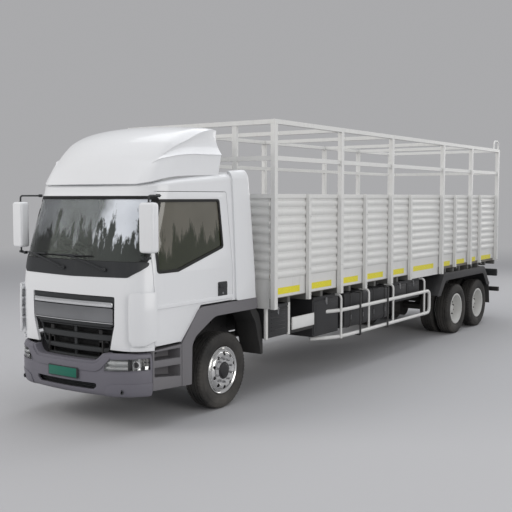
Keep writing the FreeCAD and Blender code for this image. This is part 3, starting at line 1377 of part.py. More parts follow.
def dashboard():
    """The dashboard across the cab under the windscreen, against the cab's inner walls."""
    piece = Piece("dash_block")
    front = axle - s.cab_front
    low = s.dash_top - s.dash_height
    rear = front + s.dash_depth
    piece.pad("YZ", [((front, low), (rear - s.dash_depth / 3, low), (rear, low + s.dash_height / 3),
                      (rear - s.dash_depth / 6, s.dash_top), (front, s.dash_top))],
              -s.cab_half_width, s.cab_half_width)
    room = cab_form("dash_room", s.cab_wall + s.fit_gap, s.cab_bottom, s.cab_roof)
    within = joined("Part::MultiCommon", "dash_within", [piece.body, room.body], False)
    sleeve = Piece("column_sleeve")
    sleeve.pad("XY", [Ring(0, 0, s.column_radius + s.fit_gap)], -s.column_length - s.fit_gap, 0)
    lean_back(sleeve)
    joined("Part::Cut", "dashboard", (within, sleeve.body))


def lean_back(piece):
    """Puts a piece at the steering wheel's place and tilts it towards the driver."""
    piece.body.Placement = FreeCAD.Placement(
        FreeCAD.Vector(), FreeCAD.Rotation(FreeCAD.Vector(-1, 0, 0), s.wheel_tilt.value))
    piece.place(-s.seat_place, axle - s.wheel_setback, s.wheel_height)


def steering_wheel():
    """The steering wheel on its column, on the truck's right."""
    piece = Piece("steering_wheel")
    ring = Ring(s.wheel_rim_radius, 0, s.wheel_grip_radius)
    piece.revolve("XZ", ring, "Z")
    piece.pad("XY", [Ring(0, 0, s.column_radius * 2)], -s.wheel_grip_radius, s.wheel_grip_radius)
    spoke = box(0, -s.wheel_grip_radius, s.wheel_rim_radius, s.wheel_grip_radius)
    piece.pad("XY", [spoke], -s.wheel_grip_radius / 2, s.wheel_grip_radius / 2)
    piece.polar("Z", s.spokes)
    piece.pad("XY", [Ring(0, 0, s.column_radius)], -s.column_length, 0)
    lean_back(piece)
    piece.keep()


def bumper_plan(inset, rear):
    """The bumper's outline from above."""
    across = s.bumper_half_width - inset
    ahead = axle - s.front_overhang + inset
    turn = s.bumper_corner - inset
    bow = s.bumper_bow - inset
    shoulder = across - turn
    sag = bow - root(bow * bow - shoulder * shoulder)
    return ((-shoulder, ahead + sag, bow), (shoulder, ahead + sag, turn), (across, ahead + sag + turn),
            (across, rear), (-across, rear), (-across, ahead + sag + turn, turn))


def bumper():
    """The moulded bumper: round corners, mouth for the grille, lamp recesses and a slot."""
    piece = Piece("bumper")
    rear = axle - s.bumper_rear
    piece.pad("XY", [bumper_plan(sized(0), rear)], s.bumper_bottom, s.bumper_top)
    piece.pocket("XY", [bumper_plan(s.bumper_wall, rear + s.cut_overrun)],
                 s.bumper_bottom - s.cut_overrun, s.bumper_top + s.cut_overrun)
    ahead = axle - s.front_overhang - s.cut_overrun
    deep = axle - s.front_overhang + s.bumper_corner / 2
    top = s.bumper_top + s.cut_overrun
    piece.pocket("XZ", [((-s.mouth_foot_half_width, s.bumper_mouth_bottom),
                         (s.mouth_foot_half_width, s.bumper_mouth_bottom),
                         (s.mouth_half_width, s.bumper_top), (s.mouth_half_width, top),
                         (-s.mouth_half_width, top), (-s.mouth_half_width, s.bumper_top))],
                 ahead, deep)
    piece.pocket("XZ", [box(-s.slot_half_width, s.slot_bottom, s.slot_half_width, s.slot_top)],
                 ahead, deep)
    for side in (1, -1):
        piece.pocket("XZ", [lamp_outline(side)], ahead, axle - s.bumper_rear - s.cut_overrun)
    low = s.slot_top + s.bumper_wall
    post_front = axle - s.rail_lead - s.crash_post_depth
    for side in (1, -1):
        inner, outer = side * (s.frame_half_width - s.rail_flange), side * s.frame_half_width
        piece.pad("XZ", [box(inner, low, outer, low + s.crash_arm_height)],
                  axle - s.front_overhang + s.bumper_wall / 2, post_front)
        piece.pad("XZ", [box(inner, low, outer, s.rail_top - s.rail_flange)],
                  post_front, axle - s.rail_lead)
    piece.keep()


def lamp_outline(side):
    """A headlamp's outline from the front, running out to the corner."""
    start, end = side * s.lamp_start, side * (s.bumper_half_width + s.cut_overrun)
    return ((start, s.lamp_bottom), (end, s.lamp_bottom + s.bumper_wall / 2), (end, s.lamp_top),
            (start + side * s.bumper_wall, s.lamp_top))


def headlamps():
    """The lamp units that fill the bumper's recesses round its corners."""
    outside = Piece("lamp_outside")
    rear = axle - s.bumper_rear
    outside.pad("XY", [bumper_plan(s.move_gap, rear)],
                s.lamp_bottom - s.cut_overrun, s.lamp_top + s.cut_overrun)
    outside.pocket("XY", [bumper_plan(s.bumper_wall, rear + s.cut_overrun)],
                   s.lamp_bottom - 2 * s.cut_overrun, s.lamp_top + 2 * s.cut_overrun)
    reach = Piece("lamp_reach")
    for side in (1, -1):
        reach.pad("XZ", [lamp_outline(side)], axle - s.front_overhang - s.cut_overrun,
                  axle - s.bumper_rear - s.cut_overrun - s.fit_gap)
    joined("Part::MultiCommon", "headlamps", [outside.body, reach.body])


def lower_grille():
    """The slatted grille between bumper and bar, its slats bowed with the cab's front."""
    piece = Piece("lower_grille")
    front = axle - s.grille_setback
    bow = s.front_bow
    rise = s.lower_grille_top - s.lower_grille_bottom
    reach = s.lower_half_width
    sag = bow - root(bow * bow - reach * reach)
    back = front + sag + s.grille_back_gauge
    foot = s.lower_foot_half_width
    outline = ((-foot, s.lower_grille_bottom), (foot, s.lower_grille_bottom),
               (reach, s.lower_grille_top), (-reach, s.lower_grille_top))
    piece.pad("XZ", [outline], back - s.grille_back_gauge, back)
    for i in range(int(s.slats.value)):
        low = s.lower_grille_bottom + rise * (i + FIRST_SLAT_SHARE) / s.slats
        wide = foot + (reach - foot) * (i + FIRST_SLAT_SHARE) / s.slats
        drop = bow - root(bow * bow - wide * wide)
        slat = ((-wide, front + drop - s.slat_proud / 2, bow), (wide, front + drop - s.slat_proud / 2),
                (wide, back), (-wide, back))
        piece.pad("XY", [slat], low, low + s.slat_height)
    for side in (1, -1):
        inner, outer = side * (s.frame_half_width - s.rail_flange), side * s.frame_half_width
        piece.pad("XZ", [box(inner, rail_bottom + s.rail_flange, outer, s.rail_top - s.rail_flange)],
                  back, axle - s.rail_lead - s.crash_post_depth)
    piece.keep()


def steps_and_arches():
    """The step panel under each door and the arch over the front wheel, on their brackets."""
    piece = Piece("steps_and_arches")
    front, rear = axle - s.step_front, axle - s.step_rear
    foot, under = s.step_bottom + s.bumper_wall, s.step_top - s.arch_gauge
    panel = ((front, foot), (rear - s.bumper_wall, s.step_bottom), (rear, foot), (rear, under),
             (rear, s.step_top), (front, s.step_top))
    start, end = axle - s.arch_start, axle + s.arch_rear
    arch_top = s.arch_top - s.door_gap * 2
    inner_start = axle - s.inner_arch_start
    arch = ((rear, under), (inner_start, under),
            (inner_start + s.inner_arch_slope, s.arch_inner_top), (end, s.arch_inner_top),
            (end, arch_top), (start + s.arch_slope + s.door_gap, arch_top),
            (start + s.door_gap, s.step_top), (rear, s.step_top))
    hook = end + s.arch_hook
    flap = ((end - s.arch_gauge, s.arch_inner_top), (end, s.arch_inner_top),
            (hook, s.mud_flap_bottom), (hook - s.flap_gauge, s.mud_flap_bottom))
    for side in (1, -1):
        skin, rail = side * s.arch_proud, side * s.frame_half_width
        piece.pad("YZ", [panel], skin, skin - side * s.step_depth)
        for low, high in ((foot + s.bumper_wall, s.tread_bar_bottom - s.bumper_wall),
                          (s.tread_bar_top, s.step_top - s.bumper_wall)):
            piece.pocket("YZ", [box(front + s.bumper_wall, low, rear - s.bumper_wall * 2, high)],
                         skin + side * s.cut_overrun, skin - side * s.step_recess_depth)
        piece.pad("YZ", [arch], skin, skin - side * s.arch_depth)
        piece.pad("YZ", [flap], skin - side * s.flap_gauge, skin - side * s.arch_depth)
        piece.pad("YZ", [box(front + s.hanger_width, under - s.hanger_width,
                             front + s.hanger_width * 2, under)],
                  skin - side * s.step_depth, rail)
        piece.pad("YZ", [box(end - s.hanger_width * 2, s.arch_inner_top,
                             end - s.hanger_width, s.arch_inner_top + s.arch_gauge)],
                  skin - side * s.arch_depth, rail)
        piece.pad("YZ", [box(end - s.hanger_width * 2, rail_bottom + s.hanger_length,
                             end - s.hanger_width, s.arch_inner_top + s.arch_gauge)],
                  rail + side * s.arch_gauge, rail)
    piece.keep()


frame_rails()
cab_mounts()
engine()
gearbox()
prop_shafts()
front_axle()
front_springs()
rear_springs()
rear_axle_housings()
for side_name, side in (("left", 1), ("right", -1)):
    knuckle(f"knuckle_{side_name}", side)
    front_centre = s.front_tyre_face - s.tyre_width / 2
    tyres(f"front_tyre_{side_name}", side, [front_centre], axle)
    front_rim(f"front_rim_{side_name}", side)
    outer_centre = s.rear_tyre_face - s.tyre_width / 2
    for number, along in enumerate(rear_axles, start=1):
        tyres(f"rear_tyres_{number}_{side_name}", side,
              [outer_centre, outer_centre - s.twin_spacing], along)
        rear_rims(f"rear_rims_{number}_{side_name}", side, along)
    rear_gate(f"rear_gate_{side_name}", side)
    cab_door(f"door_{side_name}", side)
    door_glass(f"door_glass_{side_name}", side)
tie_rod()
bed_frame()
deck()
side_walls()
posts()
rack_rails()
side_guards()
rear_fenders()
steps_and_arches()
front_wall()
roof_bars()
front_uprights()
top_loop()
underbody_box("air_box", [(1, s.air_box_front, s.air_box_length, s.air_box_bottom)])
underbody_box("battery_box", [(1, s.battery_box_front, s.battery_box_length, s.tank_bottom)])
underbody_box("fuel_tanks", [(1, s.tank_front, s.tank_length, s.tank_bottom),
                             (-1, s.battery_box_front, s.tank_length, s.tank_bottom)])
underbody_box("tool_box", [(1, s.tool_box_front, s.tool_box_length, s.tool_box_bottom)])
underrun()
tail_lamps()
cab_shell()
windscreen()
cowl()
grille_bar()
roof_deflector()
mirrors()
seats()
dashboard()
steering_wheel()
bumper()
headlamps()
lower_grille()

doc.recompute()
failed = [thing.Name for thing in doc.Objects
          if "Invalid" in thing.State or "Error" in thing.State]
if failed:
    raise RuntimeError("not made: " + ", ".join(failed))
for piece in EXPORTED:
    if piece.Shape.isNull() or not piece.Shape.isValid():
        raise RuntimeError("no sound solid: " + piece.Label)
os.makedirs("parts", exist_ok=True)
for piece in EXPORTED:
    piece.Shape.exportStep(f"parts/{piece.Label}.step")
print(len(EXPORTED), "sub-parts written")
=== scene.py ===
import math

import bmesh
import bpy
from mathutils import Matrix, Vector


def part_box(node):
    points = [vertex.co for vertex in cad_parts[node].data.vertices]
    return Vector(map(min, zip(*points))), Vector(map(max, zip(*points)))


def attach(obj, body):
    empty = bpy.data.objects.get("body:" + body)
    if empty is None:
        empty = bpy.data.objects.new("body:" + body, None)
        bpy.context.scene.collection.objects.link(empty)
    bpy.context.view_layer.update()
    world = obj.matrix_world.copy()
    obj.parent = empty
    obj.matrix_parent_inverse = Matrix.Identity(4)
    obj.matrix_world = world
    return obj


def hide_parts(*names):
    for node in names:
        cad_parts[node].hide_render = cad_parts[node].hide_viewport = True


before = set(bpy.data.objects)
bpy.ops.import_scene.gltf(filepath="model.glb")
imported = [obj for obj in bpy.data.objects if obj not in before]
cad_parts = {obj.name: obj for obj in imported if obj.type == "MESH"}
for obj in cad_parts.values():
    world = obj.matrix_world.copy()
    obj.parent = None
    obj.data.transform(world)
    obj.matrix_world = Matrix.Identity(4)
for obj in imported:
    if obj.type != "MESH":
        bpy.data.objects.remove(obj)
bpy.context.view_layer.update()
axle_low, axle_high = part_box("front_axle")
axle = (axle_low.y + axle_high.y) / 2
scene = bpy.context.scene

# The studio
# A pale floor that fades into an even pale background, with four soft lamps.
# The camera stands ahead of the truck's left corner at a driver's height.
BACKGROUND = (0.4, 0.4, 0.41, 1)
FLOOR_COLOUR = (0.46, 0.46, 0.47, 1)
SKY_LIGHT = (0.87, 0.88, 0.91, 1)
SKY_STRENGTH = 0.62
FADE_START, FADE_END = 13.0, 34.0
FLOOR_RADIUS, FLOOR_DROP = 60.0, 0.002
CAMERA_PLACE = (7.282, axle - 8.317, 2.623)
CAMERA_TURN, CAMERA_TILT, LENS = 34.78, 3.981, 59.5
LAMPS = (("key", (-9.0, -15.0, 9.0), (0, -3, 1.5), 9.0, 1150, (1.0, 0.97, 0.93)),
    ("fill", (13.0, -7.0, 5.0), (0, 0, 1.5), 8.0, 520, (1.0, 0.98, 0.95)),
    ("top", (0.0, 2.0, 12.0), (0, 0, 0), 12.0, 700, (0.95, 0.97, 1.0)),
    ("back", (4.0, 16.0, 6.0), (0, 3, 1.5), 7.0, 380, (1.0, 0.98, 0.95)),)


def add(tree, kind, **values):
    """A node in a tree, with its settings and inputs given by name. A bare kind is a shader's."""
    node = tree.nodes.new(kind if "Node" in kind else "ShaderNode" + kind)
    for name, value in values.items():
        if name in node.inputs:
            node.inputs[name].default_value = value
        elif hasattr(node, name):
            setattr(node, name, value)
        else:
            node.inputs[name.replace("_", " ")].default_value = value
    return node


def maths(tree, operation, first, second=None, clamp=False):
    """A Math node on two links or numbers, giving its output."""
    node = tree.nodes.new("ShaderNodeMath")
    node.operation = operation
    node.use_clamp = clamp
    for slot, value in enumerate((first, second)):
        if isinstance(value, bpy.types.NodeSocket):
            tree.links.new(value, node.inputs[slot])
        elif value is not None:
            node.inputs[slot].default_value = value
    return node.outputs[0]


def join(tree, *links):
    """Links between nodes, each as (from node, its output, to node, its input)."""
    for source, output, target, taken in links:
        tree.links.new(source.outputs[output], target.inputs[taken])


def empty_material(name):
    """A material with no nodes in it yet, and its tree."""
    material = bpy.data.materials.new(name)
    material.use_nodes = True
    material.node_tree.nodes.clear()
    return material, material.node_tree


def build(name, points, faces, material, smooth_angle=None):
    """A mesh object from points and faces."""
    mesh = bpy.data.meshes.new(name)
    mesh.from_pydata([tuple(point) for point in points], [], [tuple(face) for face in faces])
    mesh.update()
    made = bpy.data.objects.new(name, mesh)
    scene.collection.objects.link(made)
    if material:
        mesh.materials.append(material)
    if smooth_angle:
        mesh.shade_smooth()
        mesh.set_sharp_from_angle(angle=math.radians(smooth_angle))
    return made


camera_data = bpy.data.cameras.new("camera")
camera_data.lens = LENS
camera = bpy.data.objects.new("camera", camera_data)
camera.location = CAMERA_PLACE
camera.rotation_euler = (math.radians(90 - CAMERA_TILT), 0, math.radians(CAMERA_TURN))
scene.collection.objects.link(camera)
scene.camera = camera
scene.view_settings.view_transform = "Standard"
for name, place, target, size, power, colour in LAMPS:
    lamp_data = bpy.data.lights.new(name, "AREA")
    lamp_data.size = size
    lamp_data.energy = power
    lamp_data.color = colour
    lamp = bpy.data.objects.new(name, lamp_data)
    lamp.location = place
    lamp.visible_glossy = name != "key"
    lamp.rotation_euler = (Vector(place) - Vector(target)).to_track_quat("Z", "Y").to_euler()
    scene.collection.objects.link(lamp)

world = bpy.data.worlds.new("studio")
world.use_nodes = True
scene.world = world
tree = world.node_tree
tree.nodes.clear()
path = add(tree, "LightPath")
seen = maths(tree, "MAXIMUM", path.outputs["Is Camera Ray"], path.outputs["Is Glossy Ray"])
seen = maths(tree, "MAXIMUM", seen, path.outputs["Is Transmission Ray"])
light = add(tree, "Background", Color=SKY_LIGHT, Strength=SKY_STRENGTH)
shown = add(tree, "Background", Color=BACKGROUND)
blend = add(tree, "MixShader")
out = add(tree, "OutputWorld")
tree.links.new(seen, blend.inputs[0])
join(tree, (light, 0, blend, 1), (shown, 0, blend, 2), (blend, 0, out, 0))

floor_material, tree = empty_material("studio_floor")
where = add(tree, "TexCoord")
far = add(tree, "VectorMath", operation="LENGTH")
fade = add(tree, "MapRange", interpolation_type="SMOOTHSTEP", From_Min=FADE_START, From_Max=FADE_END)
matt = add(tree, "BsdfDiffuse", Color=FLOOR_COLOUR)
even = add(tree, "Emission", Color=BACKGROUND)
blend = add(tree, "MixShader")
out = add(tree, "OutputMaterial")
join(tree, (where, "Object", far, 0), (far, "Value", fade, "Value"), (fade, "Result", blend, 0),
    (matt, 0, blend, 1), (even, 0, blend, 2), (blend, 0, out, 0))
corners = [(x * FLOOR_RADIUS, y * FLOOR_RADIUS, -FLOOR_DROP) for x,
    y in ((-1, -1), (1, -1), (1, 1), (-1, 1))]
build("floor", corners, [(0, 1, 2, 3)], floor_material)

# The chassis: rails, springs, axles, shafts, engine and gearbox
# Pressed and cast steel, painted near black and dulled by road dust from below.
# The springs and axles are bare of trim, bolted to the rails in rows.
CHASSIS_COLOUR = (0.012, 0.012, 0.013, 1)
CAST_COLOUR = (0.03, 0.029, 0.028, 1)
DUST_COLOUR = (0.2, 0.185, 0.165, 1)


def pattern(tree, kind, stretch=None, **values):
    """A texture on the piece's own coordinates, stretched where a scale is given."""
    texture, source, output = add(tree, kind, **values), add(tree, "TexCoord"), "Object"
    if stretch:
        mapping = add(tree, "Mapping", Scale=stretch)
        join(tree, (source, output, mapping, 0))
        source, output = mapping, 0
    join(tree, (source, output, texture, "Vector"))
    return texture


def wear_group():
    """Colour, roughness and height of a used surface: dust low down, streaks and fine grain."""
    group = bpy.data.node_groups.new("road_wear", "ShaderNodeTree")
    face = group.interface
    for name, kind, value in (("Colour", "NodeSocketColor", (1, 1, 1, 1)),
            ("Dust Colour", "NodeSocketColor", DUST_COLOUR), ("Dust", "NodeSocketFloat", 0.3),
            ("Dust Top", "NodeSocketFloat", 1.4), ("Streaks", "NodeSocketFloat", 0.1),
            ("Roughness", "NodeSocketFloat", 0.5), ("Grain Scale", "NodeSocketFloat", 200.0)):
        face.new_socket(name=name, in_out="INPUT", socket_type=kind).default_value = value
    for name, kind in (("Colour", "NodeSocketColor"), ("Roughness", "NodeSocketFloat"),
            ("Height", "NodeSocketFloat")):
        face.new_socket(name=name, in_out="OUTPUT", socket_type=kind)
    given, result = add(group, "NodeGroupInput"), add(group, "NodeGroupOutput")
    where = add(group, "TexCoord")
    apart = add(group, "SeparateXYZ")
    low = add(group, "MapRange", From_Min=0.0, To_Min=1.0, To_Max=0.0)
    cloud = pattern(group, "TexNoise", Scale=2.6, Detail=6.0, Roughness=0.62)
    runs = pattern(group, "TexNoise", (9.0, 9.0, 0.9), Scale=2.0, Detail=4.0)
    grain = pattern(group, "TexNoise", Detail=2.0)
    patch = add(group, "MapRange", From_Min=0.35, From_Max=0.7)
    run_mask = add(group, "MapRange", From_Min=0.55, From_Max=0.8)
    join(group, (where, "Object", apart, 0), (apart, "Z", low, "Value"),
        (given, "Dust Top", low, "From Max"), (given, "Grain Scale", grain, "Scale"),
        (cloud, "Fac", patch, "Value"), (runs, "Fac", run_mask, "Value"))
    fallen = maths(group, "MULTIPLY", low.outputs[0], patch.outputs[0])
    fallen = maths(group, "MULTIPLY", fallen, given.outputs["Dust"])
    marks = maths(group, "MULTIPLY", run_mask.outputs[0], given.outputs["Streaks"])
    mask = maths(group, "ADD", fallen, marks, True)
    tint = add(group, "Mix", data_type="RGBA")
    group.links.new(mask, tint.inputs[0])
    join(group, (given, "Colour", tint, 6), (given, "Dust Colour", tint, 7))
    vary = maths(group, "MULTIPLY", maths(group, "SUBTRACT", grain.outputs["Fac"], 0.5), 0.12)
    rough = maths(group, "ADD", given.outputs["Roughness"], vary)
    rough = maths(group, "ADD", rough, maths(group, "MULTIPLY", mask, 0.35), True)
    join(group, (tint, 2, result, "Colour"))
    group.links.new(rough, result.inputs["Roughness"])
    join(group, (grain, "Fac", result, "Height"))
    return group


road_wear = wear_group()


def finish(name, colour, roughness, dust=0.25, dust_top=1.4, streaks=0.04, grain=220.0, bump=0.04,
        edge=0.003, **sockets):
    """A worn surface: the wear group on a Principled shader, with softly rounded edges."""
    material, tree = empty_material(name)
    worn = add(tree, "Group", node_tree=road_wear)
    for label, value in (("Colour", colour), ("Dust", dust), ("Dust Top", dust_top),
            ("Streaks", streaks), ("Roughness", roughness), ("Grain Scale", grain)):
        worn.inputs[label].default_value = value
    shader = add(tree, "BsdfPrincipled")
    for label, value in sockets.items():
        shader.inputs[label.replace("_", " ")].default_value = value
    round_edge = add(tree, "Bevel", samples=4, Radius=edge)
    relief = add(tree, "Bump", Strength=bump, Distance=0.002)
    join(tree, (worn, "Colour", shader, "Base Color"), (worn, "Roughness", shader, "Roughness"),
        (worn, "Height", relief, "Height"), (round_edge, 0, relief, "Normal"),
        (relief, 0, shader, "Normal"), (shader, 0, add(tree, "OutputMaterial"), 0))
    return material


def dress(material, *nodes):
    """Gives CAD nodes a finish in all their material slots."""
    for name in nodes:
        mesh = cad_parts[name].data
        if not mesh.materials:
            mesh.materials.append(material)
        for slot in range(len(mesh.materials)):
            mesh.materials[slot] = material


chassis_paint = finish("chassis_paint", CHASSIS_COLOUR, 0.5, dust=0.35, dust_top=1.3, bump=0.1)
cast_iron = finish("cast_iron", CAST_COLOUR, 0.62, dust=0.5, dust_top=1.2, bump=0.35, grain=90.0)
dress(chassis_paint, "frame_rails", "cab_mounts", "prop_shafts", "underrun")
dress(cast_iron, "engine", "gearbox", "front_axle", "knuckle_left", "knuckle_right", "tie_rod",
    "front_springs", "rear_springs", "rear_axles")

# The tyres
# Radial truck tyres: a ribbed tread cut by four grooves, blocks along each shoulder,
# smooth sidewalls with raised rings, and the bead held behind the rim's flange.
TYRE_COLOUR = (0.017, 0.0165, 0.016, 1)
TYRE_STEPS = 240
LUG_STEPS = 4
LUG_DEPTH, LUG_START, LUG_FADE, LUG_END = 0.011, 0.079, 0.12, 0.125
# Half the section from the middle of the tread to the bead, as (along the axle, radius).
TYRE_SECTION = ((0.0, 0.475), (0.022, 0.475), (0.024, 0.463), (0.032, 0.463), (0.034, 0.4748),
    (0.064, 0.4745), (0.066, 0.4625), (0.074, 0.4625), (0.076, 0.474), (0.106, 0.471), (0.116, 0.464),
    (0.1225, 0.448), (0.13, 0.425), (0.1318, 0.419), (0.1345, 0.417), (0.1365, 0.398), (0.137, 0.38),
    (0.1352, 0.356), (0.1335, 0.35), (0.1325, 0.344), (0.127, 0.33), (0.1185, 0.314), (0.112, 0.306),
    (0.105, 0.3), (0.103, 0.29), (0.103, 0.283))


def round_faces(count, steps):
    """The faces between rings of points that close on themselves both ways."""
    faces = []
    for step in range(steps):
        now, following = step * count, (step + 1) % steps * count
        for i in range(count):
            j = (i + 1) % count
            faces.append((now + i, now + j, following + j, following + i))
    return faces


def tyre(centre, along, height, side):
    """One tyre's points and faces about its own axle."""
    section = [(-t, r) for t, r in reversed(TYRE_SECTION[1:])] + list(TYRE_SECTION)
    points, count = [], len(section)
    for step in range(TYRE_STEPS):
        angle = 2 * math.pi * step / TYRE_STEPS
        for t, r in section:
            gap = step % LUG_STEPS == (0 if t > 0 else LUG_STEPS // 2)
            if gap and LUG_START < abs(t) < LUG_END:
                r -= LUG_DEPTH * (1 if abs(t) < LUG_FADE else 0.5)
            points.append((side * centre + t, along + r * math.cos(angle),
                height + r * math.sin(angle)))
    return points, round_faces(count, TYRE_STEPS)


def gather(parts):
    """Several sets of points and faces as one."""
    points, faces = [], []
    for more_points, more_faces in parts:
        start = len(points)
        points += more_points
        faces += [tuple(start + corner for corner in face) for face in more_faces]
    return points, faces


def keep(made, body, slot, *replaced):
    """Names a finished piece's body and the CAD nodes it stands for, which it hides; the slot is not
    used.
    """
    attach(made, body)
    if replaced:
        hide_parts(*replaced)
    return made


tyre_rubber = finish("tyre_rubber", TYRE_COLOUR, 0.72, dust=0.42, dust_top=1.5, streaks=0.0,
    grain=700.0, bump=0.25, edge=0.0015)
wheel_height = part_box("front_tyre_left")[1].z / 2
for name in [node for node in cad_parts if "_tyre" in node]:
    low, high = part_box(name)
    side = 1 if low.x > 0 else -1
    face = max(abs(low.x), abs(high.x))
    width = 2 * max(t for t, r in TYRE_SECTION)
    centres = [face - width / 2]
    if name.startswith("rear"):
        centres.append(min(abs(low.x), abs(high.x)) + width / 2)
    middle = (low.y + high.y) / 2
    rubber = build(name + "_rubber", *gather([tyre(centre, middle, wheel_height,
        side) for centre in centres]), tyre_rubber, 38)
    body = name.replace("_tyre_", "_wheel_").replace("_tyres_", "_wheels_")
    keep(rubber, body, "tyre", name)

# The wheels: polished discs in front, white dished discs behind
# Forged discs with ten hand holes, clamped on the hub by ten nuts round a dark cap.
# The rear pairs share one hub, so the outer disc is dished deep.
POLISHED_COLOUR = (0.78, 0.78, 0.77, 1)
WHITE_RIM_COLOUR = (0.6, 0.6, 0.58, 1)
NUT_COLOUR = (0.35, 0.35, 0.36, 1)
HUB_COLOUR = (0.02, 0.02, 0.022, 1)
NUT_CIRCLE, NUT_WIDTH, NUT_RISE, NUT_COUNT = 0.143, 0.0165, 0.026, 10
HAND_HOLE_CIRCLE, HAND_HOLE_RADIUS = 0.208, 0.026
REAR_HOLE_CIRCLE, REAR_HOLE_RADIUS = 0.218, 0.027
NUT_SINK, CAP_SINK, REAR_DISH = 0.008, 0.012, 0.13
WHEEL_STEPS = 96
# The front disc's outer face from the flange to the hub cap, as (from the tyre's face, radius).
FRONT_DISC = ((-0.052, 0.262), (-0.046, 0.29), (-0.03, 0.2955), (-0.022, 0.2925), (-0.021, 0.284),
    (-0.034, 0.272), (-0.04, 0.258), (-0.03, 0.246), (-0.006, 0.232), (0.004, 0.216), (0.008, 0.2),
    (0.006, 0.186), (-0.002, 0.174), (-0.004, 0.166), (-0.004, 0.112), (-0.004, 0.084))


# Its inner face and the barrel behind it, and the hub's cap.
RIM_BACK = ((-0.018, 0.084), (-0.018, 0.25), (-0.062, 0.256), (-0.226, 0.256), (-0.236, 0.292),
    (-0.24, 0.292), (-0.232, 0.25), (-0.212, 0.262))
HUB_CAP = ((-0.1, 0.112), (0.0, 0.112), (0.01, 0.106), (0.012, 0.09), (0.028, 0.08), (0.034, 0.066),
    (0.034, 0.001), (-0.1, 0.001))


def lathe(section, place, side, steps=WHEEL_STEPS):
    """A closed section turned about an axle, as (outwards from the place, radius)."""
    points = []
    for step in range(steps):
        angle = 2 * math.pi * step / steps
        points += [(place.x + side * t, place.y + r * math.cos(angle),
            place.z + r * math.sin(angle)) for t, r in section]
    return points, round_faces(len(section), steps)


def outwards(made):
    """Merges a piece's doubles and turns its faces outwards."""
    work = bmesh.new()
    work.from_mesh(made.data)
    bmesh.ops.remove_doubles(work, verts=work.verts, dist=1e-5)
    bmesh.ops.recalc_face_normals(work, faces=work.faces)
    work.to_mesh(made.data)
    work.free()
    return made


def settle(made):
    """Applies a piece's modifiers, and leaves it a plain mesh."""
    depsgraph = bpy.context.evaluated_depsgraph_get()
    mesh = bpy.data.meshes.new_from_object(made.evaluated_get(depsgraph))
    made.modifiers.clear()
    made.data = mesh
    return made


def cut(made, cutters, operation="DIFFERENCE"):
    """Cuts a piece by others, which go."""
    for cutter in cutters:
        boolean = made.modifiers.new("cut", "BOOLEAN")
        boolean.operation = operation
        boolean.solver = "EXACT"
        boolean.object = cutter
    settle(made)
    for cutter in cutters:
        bpy.data.objects.remove(cutter)
    return made


def soften(made, radius, segments=2, angle=30, smooth_angle=35):
    """Rounds a piece's edges and shades it smooth."""
    work = bmesh.new()
    work.from_mesh(made.data)
    bmesh.ops.remove_doubles(work, verts=work.verts, dist=2e-5)
    bmesh.ops.dissolve_degenerate(work, edges=work.edges, dist=2e-5)
    work.to_mesh(made.data)
    work.free()
    bevel = made.modifiers.new("edges", "BEVEL")
    bevel.width = radius
    bevel.segments = segments
    bevel.limit_method = "ANGLE"
    bevel.angle_limit = math.radians(angle)
    bevel.use_clamp_overlap = True
    settle(made)
    made.data.shade_smooth()
    made.data.set_sharp_from_angle(angle=math.radians(smooth_angle))
    return made


def new_tree(name, **sockets):
    """A Geometry Nodes tree with named inputs of these kinds, its input and its output node."""
    tree = bpy.data.node_groups.new(name, "GeometryNodeTree")
    tree.is_modifier = True
    tree.interface.new_socket(name="Geometry", in_out="OUTPUT", socket_type="NodeSocketGeometry")
    for label, kind in sockets.items():
        tree.interface.new_socket(name=label, in_out="INPUT", socket_type="NodeSocket" + kind)
    return tree, add(tree, "NodeGroupInput"), add(tree, "NodeGroupOutput")


def ring_tree():
    """Nuts, bolts or holes' rings: small prisms round a circle about X, as Geometry Nodes."""
    group, given, result = new_tree("ring_of_nuts", Count="Int", Circle="Float", Width="Float",
        Rise="Float", Corners="Int", Place="Vector", Material="Material")
    circle = add(group, "GeometryNodeMeshCircle")
    nut = add(group, "GeometryNodeMeshCone")
    taper = maths(group, "MULTIPLY", given.outputs["Width"], 0.82)
    copies = add(group, "GeometryNodeInstanceOnPoints")
    upright = add(group, "GeometryNodeTransform", Rotation=(0, math.radians(90), 0))
    whole = add(group, "GeometryNodeRealizeInstances")
    painted = add(group, "GeometryNodeSetMaterial")
    join(group, (given, "Count", circle, "Vertices"), (given, "Circle", circle, "Radius"),
        (given, "Width", nut, "Radius Bottom"), (given, "Rise", nut, "Depth"),
        (given, "Corners", nut, "Vertices"), (given, "Place", upright, "Translation"),
        (given, "Material", painted, "Material"))
    group.links.new(taper, nut.inputs["Radius Top"])
    join(group, (circle, 0, copies, "Points"), (nut, 0, copies, "Instance"),
        (copies, 0, upright, "Geometry"), (upright, 0, whole, 0), (whole, 0, painted, "Geometry"),
        (painted, 0, result, 0))
    return group


nut_ring = ring_tree()


def grown(name, group, **inputs):
    """The plain mesh that a Geometry Nodes tree makes with these inputs."""
    made = build(name, [], [], None)
    nodes = made.modifiers.new("nodes", "NODES")
    nodes.node_group = group
    for item in group.interface.items_tree:
        if item.in_out == "INPUT" and item.name in inputs:
            nodes[item.identifier] = inputs[item.name]
    return settle(made)


